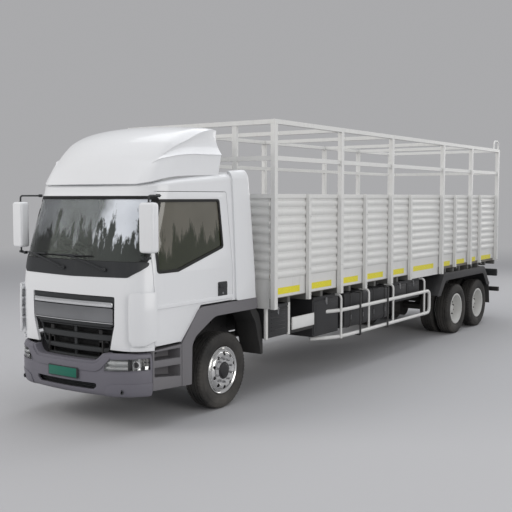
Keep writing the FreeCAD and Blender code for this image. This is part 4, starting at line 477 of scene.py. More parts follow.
def merge(name, pieces):
    """Joins finished pieces into one, keeping their materials."""
    work = bmesh.new()
    materials = []
    for piece in pieces:
        shift = []
        for material in piece.data.materials:
            if material not in materials:
                materials.append(material)
            shift.append(materials.index(material))
        before = len(work.faces)
        work.from_mesh(piece.data)
        work.faces.ensure_lookup_table()
        for face in work.faces[before:]:
            face.material_index = shift[face.material_index] if shift else 0
        bpy.data.objects.remove(piece)
    made = build(name, [], [], None)
    work.to_mesh(made.data)
    work.free()
    for material in materials:
        made.data.materials.append(material)
    return made


def hub_ring(x, y, circle, width, rise, corners, material):
    """Nuts, or the cutters of hand holes, in a ring round a hub."""
    return grown("hub_ring", nut_ring, Count=NUT_COUNT, Circle=circle, Width=width, Rise=rise,
        Corners=corners, Material=material, Place=(x, y, wheel_height))


polished_metal = finish("polished_metal", POLISHED_COLOUR, 0.16, dust=0.1, dust_top=0.9, streaks=0.02,
    grain=300.0, bump=0.02, Metallic=1.0)
white_rim_paint = finish("white_rim_paint", WHITE_RIM_COLOUR, 0.38, dust=0.35, dust_top=0.9, bump=0.05)
nut_steel = finish("nut_steel", NUT_COLOUR, 0.3, dust=0.2, Metallic=1.0)
hub_black = finish("hub_black", HUB_COLOUR, 0.45, dust=0.05)
dress(polished_metal, "front_rim_left", "front_rim_right")
for name in [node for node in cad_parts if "_rim" in node]:
    low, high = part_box(name)
    side = 1 if low.x > 0 else -1
    outer = max(abs(low.x), abs(high.x))
    middle = (low.y + high.y) / 2
    body = name.replace("_rim_", "_wheel_").replace("_rims_", "_wheels_")
    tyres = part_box(name.replace("_rim", "_tyre"))
    if name.startswith("front"):
        tyre_face = max(abs(corner.x) for corner in tyres)
        disc = outwards(build("disc", *lathe(FRONT_DISC + RIM_BACK,
            Vector((side * tyre_face, middle, wheel_height)), side), polished_metal))
        holes = hub_ring(side * (tyre_face - 0.1), middle, HAND_HOLE_CIRCLE, HAND_HOLE_RADIUS, 0.2, 20,
            hub_black)
        nuts_at = side * (tyre_face - NUT_SINK)
        nut_finish, slot = nut_steel, "polished_rim"
    else:
        disc = build(name + "_discs", [], [], white_rim_paint)
        whole = bmesh.new()
        whole.from_mesh(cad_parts[name].data)
        bmesh.ops.remove_doubles(whole, verts=whole.verts[:], dist=0.00001)
        for face in whole.faces:
            face.material_index = 0
        whole.to_mesh(disc.data)
        whole.free()
        holes = hub_ring((tyres[0].x + tyres[1].x) / 2 + side * 0.085, middle, REAR_HOLE_CIRCLE,
            REAR_HOLE_RADIUS, 0.11, 18, hub_black)
        nuts_at, nut_finish, slot = side * (outer - REAR_DISH), hub_black, "white_rim"
    soften(cut(disc, [holes]), 0.002, 1, 40, 30)
    wheel = [disc, hub_ring(nuts_at, middle, NUT_CIRCLE, NUT_WIDTH, NUT_RISE, 6, nut_finish)]
    if name.startswith("front"):
        hub_face = Vector((side * (tyre_face - CAP_SINK), middle, wheel_height))
        wheel.append(outwards(build("hub", *lathe(HUB_CAP, hub_face, side, 48), hub_black, 30)))
    keep(merge(name + "_disc", wheel), body, slot, name)

# The load body: bearers, deck, ribbed walls, stakes and the open rack
# Welded steel sheet and square tube, sprayed white, with weld beads where stakes meet rails.
# The yellow strips are reflective tape stuck to the skirt, one in each bay.
BODY_COLOUR = (0.7, 0.7, 0.685, 1)
DECK_COLOUR = (0.16, 0.145, 0.12, 1)
UNDER_COLOUR = (0.1, 0.1, 0.095, 1)
TAPE_COLOUR = (0.82, 0.74, 0.006, 1)
TAPE_BOTTOM, TAPE_HEIGHT, TAPE_RISE, TAPE_SHARE, SKIRT_DEPTH = 1.338, 0.088, 0.0015, 0.68, 0.021

body_paint = finish("body_paint", BODY_COLOUR, 0.42, dust=0.22, dust_top=1.9, streaks=0.1, grain=260.0,
    bump=0.05, edge=0.004)
deck_steel = finish("deck_steel", DECK_COLOUR, 0.6, dust=0.5, dust_top=2.0, streaks=0.3, grain=60.0,
    bump=0.3)
under_paint = finish("under_paint", UNDER_COLOUR, 0.55, dust=0.5, dust_top=1.6, bump=0.15)
dress(body_paint, "side_walls", "front_wall", "posts", "rack_rails", "roof_bars", "front_uprights",
    "top_loop", "rear_gate_left", "rear_gate_right")
dress(deck_steel, "deck")
dress(under_paint, "bed_frame")


def block(low, high):
    """A plain block's points and faces between two corners."""
    points = [(x, y, z) for z in (low[2], high[2]) for y in (low[1], high[1]) for x in (low[0],
        high[0])]
    faces = [(0, 2, 3, 1), (4, 5, 7, 6), (0, 1, 5, 4), (2, 6, 7, 3), (0, 4, 6, 2), (1, 3, 7, 5)]
    return points, faces


def tape_material():
    """Reflective tape: a yellow film over a fine honeycomb."""
    material, tree = empty_material("reflective_tape")
    cells = pattern(tree, "TexVoronoi", feature="DISTANCE_TO_EDGE", Scale=140.0)
    lines = add(tree, "MapRange", From_Max=0.06, To_Min=0.0, To_Max=1.0)
    tint = add(tree, "Mix", data_type="RGBA")
    tint.inputs[6].default_value = (0.55, 0.43, 0.01, 1)
    tint.inputs[7].default_value = TAPE_COLOUR
    rough = add(tree, "MapRange", To_Min=0.5, To_Max=0.28)
    relief = add(tree, "Bump", Strength=0.15, Distance=0.001)
    shader = add(tree, "BsdfPrincipled", Coat_Weight=0.4)
    join(tree, (cells, "Distance", lines, "Value"), (lines, 0, tint, 0), (lines, 0, rough, "Value"),
        (lines, 0, relief, "Height"), (tint, 2, shader, "Base Color"), (rough, 0, shader, "Roughness"),
        (relief, 0, shader, "Normal"), (shader, 0, add(tree, "OutputMaterial"), 0))
    return material


STAKE_TOP = 2.6


def stake_places():
    """Where the stakes stand along the truck, each as (front edge, rear edge)."""
    stakes = {}
    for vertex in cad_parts["posts"].data.vertices:
        if vertex.co.x < 0 or vertex.co.z > STAKE_TOP:
            continue
        stakes.setdefault(round(vertex.co.y, 3), []).append(vertex.co.x)
    edges = sorted(stakes)
    return [(edges[i], edges[i + 1]) for i in range(0, len(edges) - 1, 2)]


wall_low, wall_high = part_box("side_walls")
stakes = stake_places()
yellow_tape = tape_material()
strips = []
for (_, start), (end, _) in zip(stakes, stakes[1:]):
    middle, length = (start + end) / 2, (end - start) * TAPE_SHARE
    for side in (1, -1):
        skirt = side * (wall_high.x - SKIRT_DEPTH)
        outer = skirt + side * TAPE_RISE
        low = (min(skirt, outer), middle - length / 2, TAPE_BOTTOM)
        high = (max(skirt, outer), middle + length / 2, TAPE_BOTTOM + TAPE_HEIGHT)
        strips.append(block(low, high))
tape = build("reflective_strips", *gather(strips), yellow_tape)
keep(tape, "root", "body_paint")

# The cab: shell, doors, glass, cowl and corner deflectors
# One pressed steel skin sprayed white, bowed in front and rounded into the sides, with
# the windscreen bonded in flush over a black band and each door hung in the side.
CAB_COLOUR = (0.76, 0.77, 0.785, 1)
PLASTIC_DARK = (0.028, 0.03, 0.032, 1)
RUBBER_COLOUR = (0.01, 0.01, 0.01, 1)
GLASS_TINT = (0.3, 0.34, 0.31, 1)
LINER_COLOUR = (0.1, 0.1, 0.095, 1)
CAB_HALF, CAB_FRONT, CAB_REAR = 1.05, 1.58, 0.636
REAR_CORNER, FRONT_BOW = 0.045, 7.0
CAB_ROOF, ROOF_ROUND, REAR_RAKE, ARCH_TOP = 2.945, 0.09, 0.0765, 1.34
SKIN_GAUGE = 0.035
CORNER_STEPS, BOW_STEPS, REAR_STEPS = 14, 16, 8
ROOF_DROP, DROP_START, DROP_END, DROP_CURVE, ROOF_FLAT = 0.15, 0.2, -1.15, 1.1, 2.63
# The cab's front at its middle and its side, as (height, setback, side taper, corner radius).
CAB_PROFILE = ((0.915, 0.012, 0.004, 0.33), (1.05, 0.004, 0.0, 0.33), (1.3, 0.0, 0.0, 0.33),
    (1.6, 0.002, 0.0, 0.35), (1.76, 0.01, 0.002, 0.38), (1.88, 0.024, 0.005, 0.4),
    (2.2, 0.115, 0.012, 0.43), (2.45, 0.192, 0.02, 0.45), (2.63, 0.247, 0.026, 0.46),
    (2.72, 0.268, 0.03, 0.45), (2.845, 0.29, 0.034, 0.43))


def arc(centre, radius, start, end, steps):
    """Points on an arc, its angles in degrees."""
    return [(centre[0] + radius * math.cos(math.radians(start + (end - start) * i / steps)),
        centre[1] + radius * math.sin(math.radians(start + (end - start) * i / steps))) for i in
        range(steps + 1)]


def plan(half, front, rear, front_round, rear_round, bow):
    """A bowed, rounded outline from above, the same number of points at every size."""
    shoulder = half - front_round
    sag = bow - math.sqrt(bow * bow - shoulder * shoulder)
    centre_y = front + sag + front_round
    points = []
    for i in range(1, BOW_STEPS):
        x = shoulder * (2 * i / BOW_STEPS - 1)
        points.append((x, front + bow - math.sqrt(bow * bow - x * x)))
    points += arc((shoulder, centre_y), front_round, -90, 0, CORNER_STEPS)
    points += arc((half - rear_round, rear - rear_round), rear_round, 0, 90, REAR_STEPS)
    points += arc((-half + rear_round, rear - rear_round), rear_round, 90, 180, REAR_STEPS)
    points += arc((-shoulder, centre_y), front_round, 180, 270, CORNER_STEPS)
    return points


def roof_drop(y):
    """How far the roof falls towards the front."""
    ahead = max(0.0, axle + DROP_START - y) / (DROP_START - DROP_END)
    return ROOF_DROP * min(DROP_CURVE, ahead) ** DROP_CURVE


def cab_rings(inset, top=CAB_ROOF):
    """The cab's outlines at rising heights, drawn in by an inset."""
    levels = [(*level, 0.0) for level in CAB_PROFILE]
    _, back, taper, corner = CAB_PROFILE[-1]
    start = top - ROOF_ROUND
    for i in range(7):
        turn = math.radians(90 * i / 6)
        rise, draw_in = ROOF_ROUND * math.sin(turn), ROOF_ROUND * (1 - math.cos(turn))
        levels.append((start + rise, back + 0.04 * rise / ROOF_ROUND, taper, corner, draw_in))
    rings = []
    for height, back, taper, corner, draw_in in levels:
        rear = axle + CAB_REAR - max(0, height - ARCH_TOP) * REAR_RAKE
        grow = inset + draw_in
        outline = plan(CAB_HALF - taper - grow, axle - CAB_FRONT + back + grow, rear - grow,
            max(0.02, corner - grow), max(0.015, REAR_CORNER - grow), FRONT_BOW - grow)
        lift = inset * min(1.0, draw_in / ROOF_ROUND * 2) if draw_in else 0
        rise = min(1.0, max(0.0, height - ROOF_FLAT) / (top - ROOF_FLAT))
        rings.append([(x, y, height - lift - roof_drop(y) * rise) for x, y in outline])
    return rings


def shell(name, outer, inner, material, closed_top=True):
    """A closed skin between two stacks of rings, its top closed or open like its foot."""
    count, layers = len(outer[0]), len(outer)
    points = [point for ring in outer for point in ring] + [point for ring in inner for point in ring]
    start = count * layers
    faces = []
    for layer in range(layers - 1):
        for i in range(count):
            j = (i + 1) % count
            a, b = layer * count, (layer + 1) * count
            faces.append((a + i, a + j, b + j, b + i))
            faces.append((start + b + i, start + b + j, start + a + j, start + a + i))
    ends = [(0, start)]
    top, inner_top = (layers - 1) * count, start + (layers - 1) * count
    if closed_top:
        turn = BOW_STEPS // 2 - 1
        for k in range(count // 2):
            near = [(turn + k) % count, (turn + k + 1) % count]
            mirrored = [(turn - k - 1) % count, (turn - k) % count]
            ring = list(dict.fromkeys(near + mirrored))
            if len(ring) > 2:
                faces.append([top + i for i in ring])
                faces.append([inner_top + i for i in reversed(ring)])
    else:
        ends.append((inner_top, top))
    for first, second in ends:
        for i in range(count):
            j = (i + 1) % count
            faces.append((second + i, second + j, first + j, first + i))
    return outwards(build(name, points, faces, material))


def cab_skin(name, outset, gauge, material, closed_top=True):
    """A layer of the cab's skin, proud of it by the outset."""
    return shell(name, cab_rings(-outset), cab_rings(gauge - outset), material, closed_top)


def rounded(outline, radius, steps=6):
    """An outline with its corners rounded."""
    made = []
    count = len(outline)
    for i, corner in enumerate(outline):
        reach = radius[i] if isinstance(radius, (list, tuple)) else radius
        here = Vector(corner)
        to_last = Vector(outline[i - 1]) - here
        to_next = Vector(outline[(i + 1) % count]) - here
        if reach <= 0:
            made.append(tuple(here))
            continue
        turn = to_last.angle(to_next)
        back = min(reach / math.tan(turn / 2), to_last.length * 0.49, to_next.length * 0.49)
        start, end = here + to_last.normalized() * back, here + to_next.normalized() * back
        for k in range(steps + 1):
            t = k / steps
            made.append(tuple(start * (1 - t) ** 2 + here * 2 * t * (1 - t) + end * t * t))
    return made


def prism(name, outline, axis, low, high, material=None):
    """An outline pushed along an axis: Y and Z for X, X and Z for Y, X and Y for Z."""
    place = {"X": lambda u, v, w: (w, u, v), "Y": lambda u, v, w: (u, w, v), "Z": lambda u, v,
        w: (u, v, w)}[axis]
    count = len(outline)
    points = [place(u, v, w) for w in sorted((low, high)) for u, v in outline]
    faces = [tuple(range(count)), tuple(range(2 * count - 1, count - 1, -1))]
    faces += [(i, count + i, count + (i + 1) % count, (i + 1) % count) for i in range(count)]
    return outwards(build(name, points, faces, material))


def kept(made, outline, axis, low, high):
    """Keeps what of a piece lies within an outline pushed along an axis."""
    return cut(made, [prism("reach", outline, axis, low, high)], "INTERSECT")


def holed(made, outline, axis, low, high):
    """Opens a piece by an outline pushed along an axis."""
    return cut(made, [prism("hole", outline, axis, low, high)])


def from_axle(*points):
    """Points of a side view whose lengths are from the front axle."""
    return [(axle + y, z) for y, z in points]


def oblong(left, low, right, high):
    """A rectangle's corners in order."""
    return [(left, low), (right, low), (right, high), (left, high)]


DOOR_GAP, DOOR_FRONT, DOOR_REAR, DOOR_TOP, SILL = 0.006, -1.3, 0.145, 2.69, 0.955
DOOR_SIDE = from_axle((DOOR_FRONT, SILL), (-0.85, SILL), (-0.488, ARCH_TOP), (DOOR_REAR, ARCH_TOP),
    (DOOR_REAR, 1.78), (0.055, DOOR_TOP), (DOOR_FRONT, DOOR_TOP))
WINDOW_SIDE = from_axle((-1.24, 1.78), (-0.897, 1.78), (-0.042, 2.014), (-0.102, 2.59), (-1.24, 2.59))
SEAL_WIDTH, GLASS_DEPTH = 0.022, 0.012
# How far behind the cab's foremost line the screen, the cowl and the grille's opening reach.
SCREEN_DEPTH, COWL_DEPTH, GRILLE_DEPTH = 0.62, 0.44, 0.2
SCREEN = [(-0.975, 1.885), (0.975, 1.885), (0.945, 2.625), (-0.945, 2.625)]
COWL = [(-0.99, 1.86), (-0.94, 1.81), (-0.83, 1.735), (0.0, 1.722), (0.83, 1.735), (0.94, 1.81),
    (0.99, 1.86), (0.99, 1.905), (-0.99, 1.905)]
GRILLE_HOLE = [(-0.56, 0.8), (0.56, 0.8), (0.66, 1.19), (0.668, 1.515), (-0.668, 1.515), (-0.66, 1.19)]
ARCH_CUT = from_axle((-0.85, 0.8), (-0.85, SILL), (-0.488, ARCH_TOP), (0.8, ARCH_TOP), (0.8, 0.8))
STEP_CUT = from_axle((-1.312, 0.8), (-1.312, 0.88), (-1.3, SILL), (-0.8, SILL), (-0.8, 0.8))
SLEEPER = from_axle((0.19, 1.33), (0.7, 1.33), (0.7, 3.1), (0.15, 3.1))
SLEEPER_RISE = 0.028
BLADE = [(0.915, 0.985), (1.02, 0.985), (1.2, 1.12), (1.2, 1.572), (0.885, 1.572), (0.885, 1.05)]
BLADE_FOOT = oblong(0.87, 0.918, 1.2, 0.96)
BLADE_RISE, BLADE_GAUGE, BLADE_REAR, BLADE_RIBS = 0.056, 0.018, -1.312, (1.16, 1.28, 1.4, 1.52)
SWAGE_LOW, SWAGE_WIDTH = 1.37, 0.05
SIDES = ((1, "left"), (-1, "right"))


def grown_outline(outline, distance):
    """An outline moved outwards along its corners."""
    middle = sum((Vector(point) for point in outline), Vector((0, 0))) / len(outline)
    made = []
    for i, corner in enumerate(outline):
        here, last, following = Vector(corner), Vector(outline[i - 1]), Vector(outline[(i + 1) %
            len(outline)])
        first, second = (here - last).normalized(), (following - here).normalized()
        normals = [Vector((edge.y, -edge.x)) for edge in (first, second)]
        normals = [n if n.dot(here - middle) > 0 else -n for n in normals]
        way = (normals[0] + normals[1]).normalized()
        made.append(tuple(here + way * distance / max(0.3, way.dot(normals[0]))))
    return made


cab_paint = finish("cab_paint", CAB_COLOUR, 0.3, dust=0.1, dust_top=1.3, streaks=0.02, grain=160.0,
    bump=0.012, edge=0.004, Coat_Weight=0.5, Coat_Roughness=0.08)
dark_plastic = finish("dark_plastic", PLASTIC_DARK, 0.48, dust=0.08, bump=0.12, grain=900.0)
rubber_seal = finish("rubber_seal", RUBBER_COLOUR, 0.6, dust=0.08, bump=0.1, grain=500.0)
cab_liner = finish("cab_liner", LINER_COLOUR, 0.8, dust=0.0, bump=0.3, grain=300.0)


def glass_material(name, tint, rough):
    """Tinted glass, its roughness varied by a faint film of dust."""
    material, tree = empty_material(name)
    film = pattern(tree, "TexNoise", Scale=3.0, Detail=5.0)
    smear = add(tree, "MapRange", From_Min=0.3, From_Max=0.9, To_Min=rough, To_Max=rough + 0.05)
    shader = add(tree, "BsdfPrincipled", Base_Color=tint, IOR=1.45, Transmission_Weight=1.0,
        Specular_IOR_Level=0.7)
    join(tree, (film, "Fac", smear, "Value"), (smear, 0, shader, "Roughness"),
        (shader, 0, add(tree, "OutputMaterial"), 0))
    return material


def painted_reflection_glass(name, tint, share, bright, dark, start, tree_top, scale):
    """Tinted glass with a painted reflection of a bright sky over dark trees, mixed in past a start on
    its length.
    """
    material, tree = empty_material(name)
    where = add(tree, "TexCoord")
    parts = add(tree, "SeparateXYZ")
    trunks = pattern(tree, "TexNoise", (scale, scale, 0.9), Scale=1.0, Detail=6.0, Roughness=0.65)
    clouds = pattern(tree, "TexNoise", Scale=2.2, Detail=3.0)
    clear = add(tree, "BsdfPrincipled", Base_Color=tint, IOR=1.45, Roughness=0.01,
        Transmission_Weight=1.0, Specular_IOR_Level=0.7)
    # A glossy coat whose base colour is the painted reflection.
    painted_reflection_coat = add(tree, "BsdfPrincipled", Roughness=0.12, Coat_Weight=1.0, Coat_Roughness=0.02)
    colour = add(tree, "Mix", data_type="RGBA")
    colour.inputs[6].default_value, colour.inputs[7].default_value = dark, bright
    both = add(tree, "MixShader")
    join(tree, (where, "Object", parts, 0))
    edge = maths(tree, "ADD", maths(tree, "MULTIPLY", trunks.outputs["Fac"], 1.5), tree_top - 0.75)
    sky = maths(tree, "MULTIPLY", maths(tree, "SUBTRACT", parts.outputs["Z"], edge), 9.0, True)
    aside = maths(tree, "ADD", parts.outputs["X" if start[0] == "x" else "Y"],
        maths(tree, "MULTIPLY", clouds.outputs["Fac"], 0.5))
    past = maths(tree, "MULTIPLY", maths(tree, "SUBTRACT", aside, start[1]), 6.0, True)
    tree.links.new(sky, colour.inputs[0])
    join(tree, (colour, 2, painted_reflection_coat, "Base Color"))
    # Cloud noise mixes in more of the painted reflection in patches.
    film = maths(tree, "MULTIPLY", clouds.outputs["Fac"], 0.32)
    tree.links.new(maths(tree, "ADD", maths(tree, "MULTIPLY", past, share), film, True),
        both.inputs["Fac"])
    join(tree, (clear, 0, both, 1), (painted_reflection_coat, 0, both, 2), (both, 0, add(tree, "OutputMaterial"), 0))
    return material


# Painted reflections: the windscreen shows a bright sky over dark trees towards its left side, and the
# door panes a dim brown scene over dark green.
screen_glass = painted_reflection_glass("screen_glass", GLASS_TINT, 0.72, (0.8, 0.84, 0.9, 1),
    (0.035, 0.042, 0.036, 1), ("x", 0.55), 2.2, 9.0)
cab_glass = painted_reflection_glass("cab_glass", (0.3, 0.32, 0.27, 1), 0.6, (0.16, 0.15, 0.12, 1),
    (0.02, 0.026, 0.006, 1), ("y", -9.0), 2.1, 5.0)


def front_layer(name, proud, gauge, material, outline, depth=SCREEN_DEPTH):
    """A layer of the cab's skin, kept where an outline lies as seen from the front."""
    return kept(cab_skin(name, proud, gauge, material, False), outline, "Y", front_far,
        axle - CAB_FRONT + depth)


far = CAB_HALF + 0.2
front_far, front_near = axle - CAB_FRONT - 0.3, axle - CAB_FRONT + SCREEN_DEPTH
body_shell = cab_skin("cab_body", 0.0, SKIN_GAUGE, cab_paint)
cutters = [prism("screen_hole", rounded(SCREEN, 0.07), "Y", front_far, front_near),
    prism("grille_hole", rounded(GRILLE_HOLE, 0.02, 3), "Y", front_far,
    axle - CAB_FRONT + GRILLE_DEPTH), prism("arches", ARCH_CUT, "X", -far, far),
    prism("steps", STEP_CUT, "X", -far, far)]
for side in (1, -1):
    low, high = sorted((side * 0.9, side * far))
    cutters.append(prism("door_hole", rounded(DOOR_SIDE, 0.035, 4), "X", low, high))
cut(body_shell, cutters)
soften(body_shell, 0.003, 1, 50, 32)
sleepers = cab_skin("sleeper_panels", SLEEPER_RISE, 0.05, cab_paint)
kept(sleepers, rounded(SLEEPER, 0.05), "X", -far, far)
holed(sleepers, from_axle(*oblong(-2, 0.5, 2, 3.2)), "X", -CAB_HALF + 0.09, CAB_HALF - 0.09)
soften(sleepers, 0.014, 3, 40, 50)
blade_parts = [(BLADE_RISE, BLADE_GAUGE, [BLADE], 0.006), (0.02, 0.03, [BLADE_FOOT], 0.009)]
blade_parts.append((BLADE_RISE - 0.008, BLADE_RISE,
    [oblong(0.9, z - 0.012, 1.2, z + 0.012) for z in BLADE_RIBS], 0.002))
blades = []
for rise, gauge, outlines, radius in blade_parts:
    layer = cab_skin("corner_blades", rise, gauge, cab_paint, False)
    regions = []
    for outline in outlines:
        for side in (1, -1):
            bent = [(side * x, z) for x, z in outline]
            bent = rounded(bent, [0.0, 0.04, 0.0, 0.0, 0.05, 0.03]) if len(bent) > 4 else bent
            regions.append(prism("blade_reach", bent, "Y", front_far, axle + BLADE_REAR))
    cut(layer, [merge("regions", regions)], "INTERSECT")
    blades.append(soften(layer, radius, 3, 40, 50))
cab_body = merge("cab_body", [body_shell, sleepers] + blades)
keep(cab_body, "cab", "white_paint", "cab_shell")

cowl_band = front_layer("cowl_band", 0.004, 0.012, dark_plastic, rounded(COWL, 0.05), COWL_DEPTH)
keep(soften(cowl_band, 0.002, 1), "cab", "dark_plastic", "cowl")
screen = front_layer("windscreen_glass", -0.006, 0.006, screen_glass,
    rounded(grown_outline(SCREEN, -0.004), 0.066))
keep(soften(screen, 0.001, 1), "cab", "glass", "windscreen")
screen_seal = front_layer("windscreen_seal", 0.003, 0.014, rubber_seal,
    rounded(grown_outline(SCREEN, 0.012), 0.075))
holed(screen_seal, rounded(grown_outline(SCREEN, -0.024), 0.06), "Y", front_far - 0.1, front_near + 0.1)
keep(soften(screen_seal, 0.002, 1), "cab", "black_plastic")

for side, name in SIDES:
    body = "cab_door_" + name
    low, high = sorted((side * 0.9, side * far))
    outline = rounded(grown_outline(DOOR_SIDE, -DOOR_GAP), 0.032, 4)
    door = cab_skin("door_panel_" + name, 0.0, 0.038, cab_paint, False)
    kept(door, outline, "X", low, high)
    holed(door, rounded(WINDOW_SIDE, 0.035), "X", low, high)
    soften(door, 0.004, 2, 40, 40)
    swage = cab_skin("door_swage_" + name, 0.012, 0.018, cab_paint, False)
    kept(swage, outline, "X", low, high)
    band = from_axle(*oblong(-2, SWAGE_LOW, 1, SWAGE_LOW + SWAGE_WIDTH))
    soften(kept(swage, band, "X", low - 0.1, high + 0.1), 0.01, 4, 40, 50)
    keep(merge("door_panel_" + name, [door, swage]), body, "white_paint", "door_" + name)
    pane = cab_skin("door_pane_" + name, -GLASS_DEPTH, 0.005, cab_glass, False)
    kept(pane, rounded(WINDOW_SIDE, 0.03), "X", low, high)
    keep(soften(pane, 0.001, 1), body, "glass", "door_glass_" + name)
    seal = cab_skin("window_seal_" + name, 0.003, 0.022, rubber_seal, False)
    kept(seal, rounded(grown_outline(WINDOW_SIDE, 0.01), 0.045), "X", low, high)
    holed(seal, rounded(grown_outline(WINDOW_SIDE, -SEAL_WIDTH), 0.02), "X", low - 0.1, high + 0.1)
    keep(soften(seal, 0.003, 2), body, "black_plastic")

# The roof wind deflector
# A thin moulded dome, open behind and screwed to the roof round its foot. Its flanks are
# scooped out under the crest, and a plain panel closes each side down to the roof.
# Knots along the crest from the lip, as (behind the axle, height, crest half width).
DOME_KNOTS = ((-1.305, 2.772, 0.735), (-1.262, 2.89, 0.755), (-1.2, 3.03, 0.785), (-1.115, 3.15, 0.845),
    (-0.97, 3.285, 0.885), (-0.84, 3.365, 0.905), (-0.66, 3.435, 0.905), (-0.44, 3.48, 0.9),
    (-0.2, 3.5, 0.885), (0.0, 3.5, 0.865), (0.085, 3.488, 0.845))
RIDGE_KNOTS = ((0.862, -0.985, 3.058), (0.915, -0.875, 3.085), (0.95, -0.76, 3.108),
    (0.966, -0.62, 3.122), (0.97, -0.46, 3.13), (0.97, -0.29, 3.133), (0.97, -0.12, 3.137),
    (0.97, 0.035, 3.14))
FOOT_KNOTS = ((0.87, -1.15, 2.8), (0.92, -1.0, 2.835), (0.95, -0.84, 2.86), (0.964, -0.66, 2.872),
    (0.966, -0.45, 2.88), (0.966, -0.23, 2.886), (0.966, -0.11, 2.89), (0.966, -0.03, 2.895))
KNOT_STEPS, DOME_HALF_STEPS, FLANK_STEPS, RIDGE_KNOT = 5, 24, 7, 2
DOME_GAUGE, SCOOP_DEPTH, RIDGE_STEP = 0.014, 0.04, 0.013
DOME_SAG, LIP_SAG, DOME_CROWN, DOME_SHOULDER, SQUARE_REAR = 0.25, 0.09, 0.055, 0.8, 0.69


def line_through(knots, steps):
    """A smooth line through its knots, with this many steps between each two."""
    made, last = [], len(knots) - 1
    for i in range(last):
        a, b, c, d = (Vector(knots[max(0, min(last, i + k))]) for k in (-1, 0, 1, 2))
        for step in range(steps):
            t = step / steps
            made.append(0.5 * (2 * b + (c - a) * t + (2 * a - 5 * b + 4 * c - d) * t ** 2 +
                (3 * b - a - 3 * c + d) * t ** 3))
    made.append(Vector(knots[-1]))
    return made


def grid(rows):
    """Points and faces of a surface given by its rows of points."""
    wide = len(rows[0])
    points = [point for row in rows for point in row]
    faces = [(i * wide + j, i * wide + j + 1, (i + 1) * wide + j + 1,
        (i + 1) * wide + j) for i in range(len(rows) - 1) for j in range(wide - 1)]
    return points, faces


def dome_point(x, knot):
    """A point of the dome: the middle line bowed back and dropped towards the sides."""
    y, z, _ = knot
    past = max(0.0, abs(x) - DOME_SHOULDER)
    square = min(1.0, (DOME_KNOTS[-1][0] - y) / (DOME_KNOTS[-1][0] + SQUARE_REAR))
    lifted = min(1.0, (z - DOME_KNOTS[0][1]) / 0.3)
    sag = LIP_SAG + (DOME_SAG - LIP_SAG) * lifted
    return Vector((x, axle + y + (sag * x * x + 6 * past ** 2) * square,
        z - (DOME_CROWN * x * x + 3 * past ** 2) * lifted))


crest = line_through(DOME_KNOTS, KNOT_STEPS)
surfaces = [grid([[dome_point(knot.z * i / DOME_HALF_STEPS, knot) for i in range(-DOME_HALF_STEPS,
    DOME_HALF_STEPS + 1)] for knot in crest])]
split = RIDGE_KNOT * KNOT_STEPS
for side in (1, -1):
    edge = [dome_point(side * knot.z, knot) for knot in crest]
    ridge = line_through([edge[split]] + [(side * x, axle + y, z) for x, y, z in RIDGE_KNOTS],
        KNOT_STEPS)
    foot = line_through([edge[0]] + [(side * x, axle + y, z) for x, y, z in FOOT_KNOTS], KNOT_STEPS)
    flank, panel = [], []
    for k, (top, low) in enumerate(zip(edge[split:], ridge)):
        deep = SCOOP_DEPTH * min(1.0, (top - low).length / 0.25)
        flank.append([top.lerp(low, i / FLANK_STEPS) -
            Vector((side * deep * math.sin(math.pi * i / FLANK_STEPS), 0,
            0)) for i in range(FLANK_STEPS + 1)])
        step_in = RIDGE_STEP * min(1.0, k / KNOT_STEPS)
        tucked = low - Vector((side * step_in, 0, step_in * 0.5))
        fade = (1 - k / (len(ridge) - 1)) ** 4
        rise = [foot[k].lerp(tucked, i / split) + fade * (edge[i] - foot[0].lerp(ridge[0],
            i / split)) for i in range(split + 1)]
        panel.append(rise + [low])
    surfaces += [grid(flank), grid(panel)]
dome = outwards(build("wind_deflector", *gather(surfaces), cab_paint))
thick = dome.modifiers.new("thick", "SOLIDIFY")
thick.thickness, thick.offset, thick.use_even_offset = DOME_GAUGE, -1.0, False
settle(dome)
keep(soften(dome, 0.003, 1, 50, 28), "cab", "white_paint", "roof_deflector")

# The mirrors
# Tall rounded housings on bent black tubes at head and foot, the glasses facing back.
# A main glass stands over a smaller curved one, in a dark frame.
MIRROR_LOW, MIRROR_HIGH = (0.955, -1.46, 2.01), (1.15, -1.335, 2.565)
MIRROR_ROUND, MIRROR_TURN, MIRROR_SHARE = 0.03, 8.0, 0.62
MIRROR_GLASS = (0.75, 0.77, 0.78, 1)
ARM_RADIUS, ARM_TOP, ARM_FOOT, ARM_ROOT = 0.0105, 2.64, 1.945, 0.985


def tube(name, route, radius, material, bend=0.05, sides=12, steps=6):
    """A round bar along a route whose corners are bent, closed at both ends."""
    line = [Vector(point) for point in route]
    path = [line[0]]
    for i in range(1, len(line) - 1):
        back = min(bend, (line[i] - line[i - 1]).length / 2, (line[i + 1] - line[i]).length / 2)
        start = line[i] + (line[i - 1] - line[i]).normalized() * back
        end = line[i] + (line[i + 1] - line[i]).normalized() * back
        path += [start * (1 - t) ** 2 + line[i] * 2 * t * (1 - t) + end * t * t for t in
            (k / steps for k in range(steps + 1))]
    path.append(line[-1])
    points, faces = [], []
    across = None
    for i, place in enumerate(path):
        ahead = (path[min(i + 1, len(path) - 1)] - path[max(i - 1, 0)]).normalized()
        across = across or ahead.orthogonal().normalized()
        across = (across - ahead * across.dot(ahead)).normalized()
        other = ahead.cross(across)
        points += [place + radius * (across * math.cos(2 * math.pi * k / sides) + other *
            math.sin(2 * math.pi * k / sides)) for k in range(sides)]
    for i in range(len(path) - 1):
        faces += [(i * sides + k, i * sides + (k + 1) % sides, (i + 1) * sides + (k + 1) % sides,
            (i + 1) * sides + k) for k in range(sides)]
    faces += [tuple(range(sides))[::-1], tuple(range(len(points) - sides, len(points)))]
    return outwards(build(name, points, faces, material, 40))


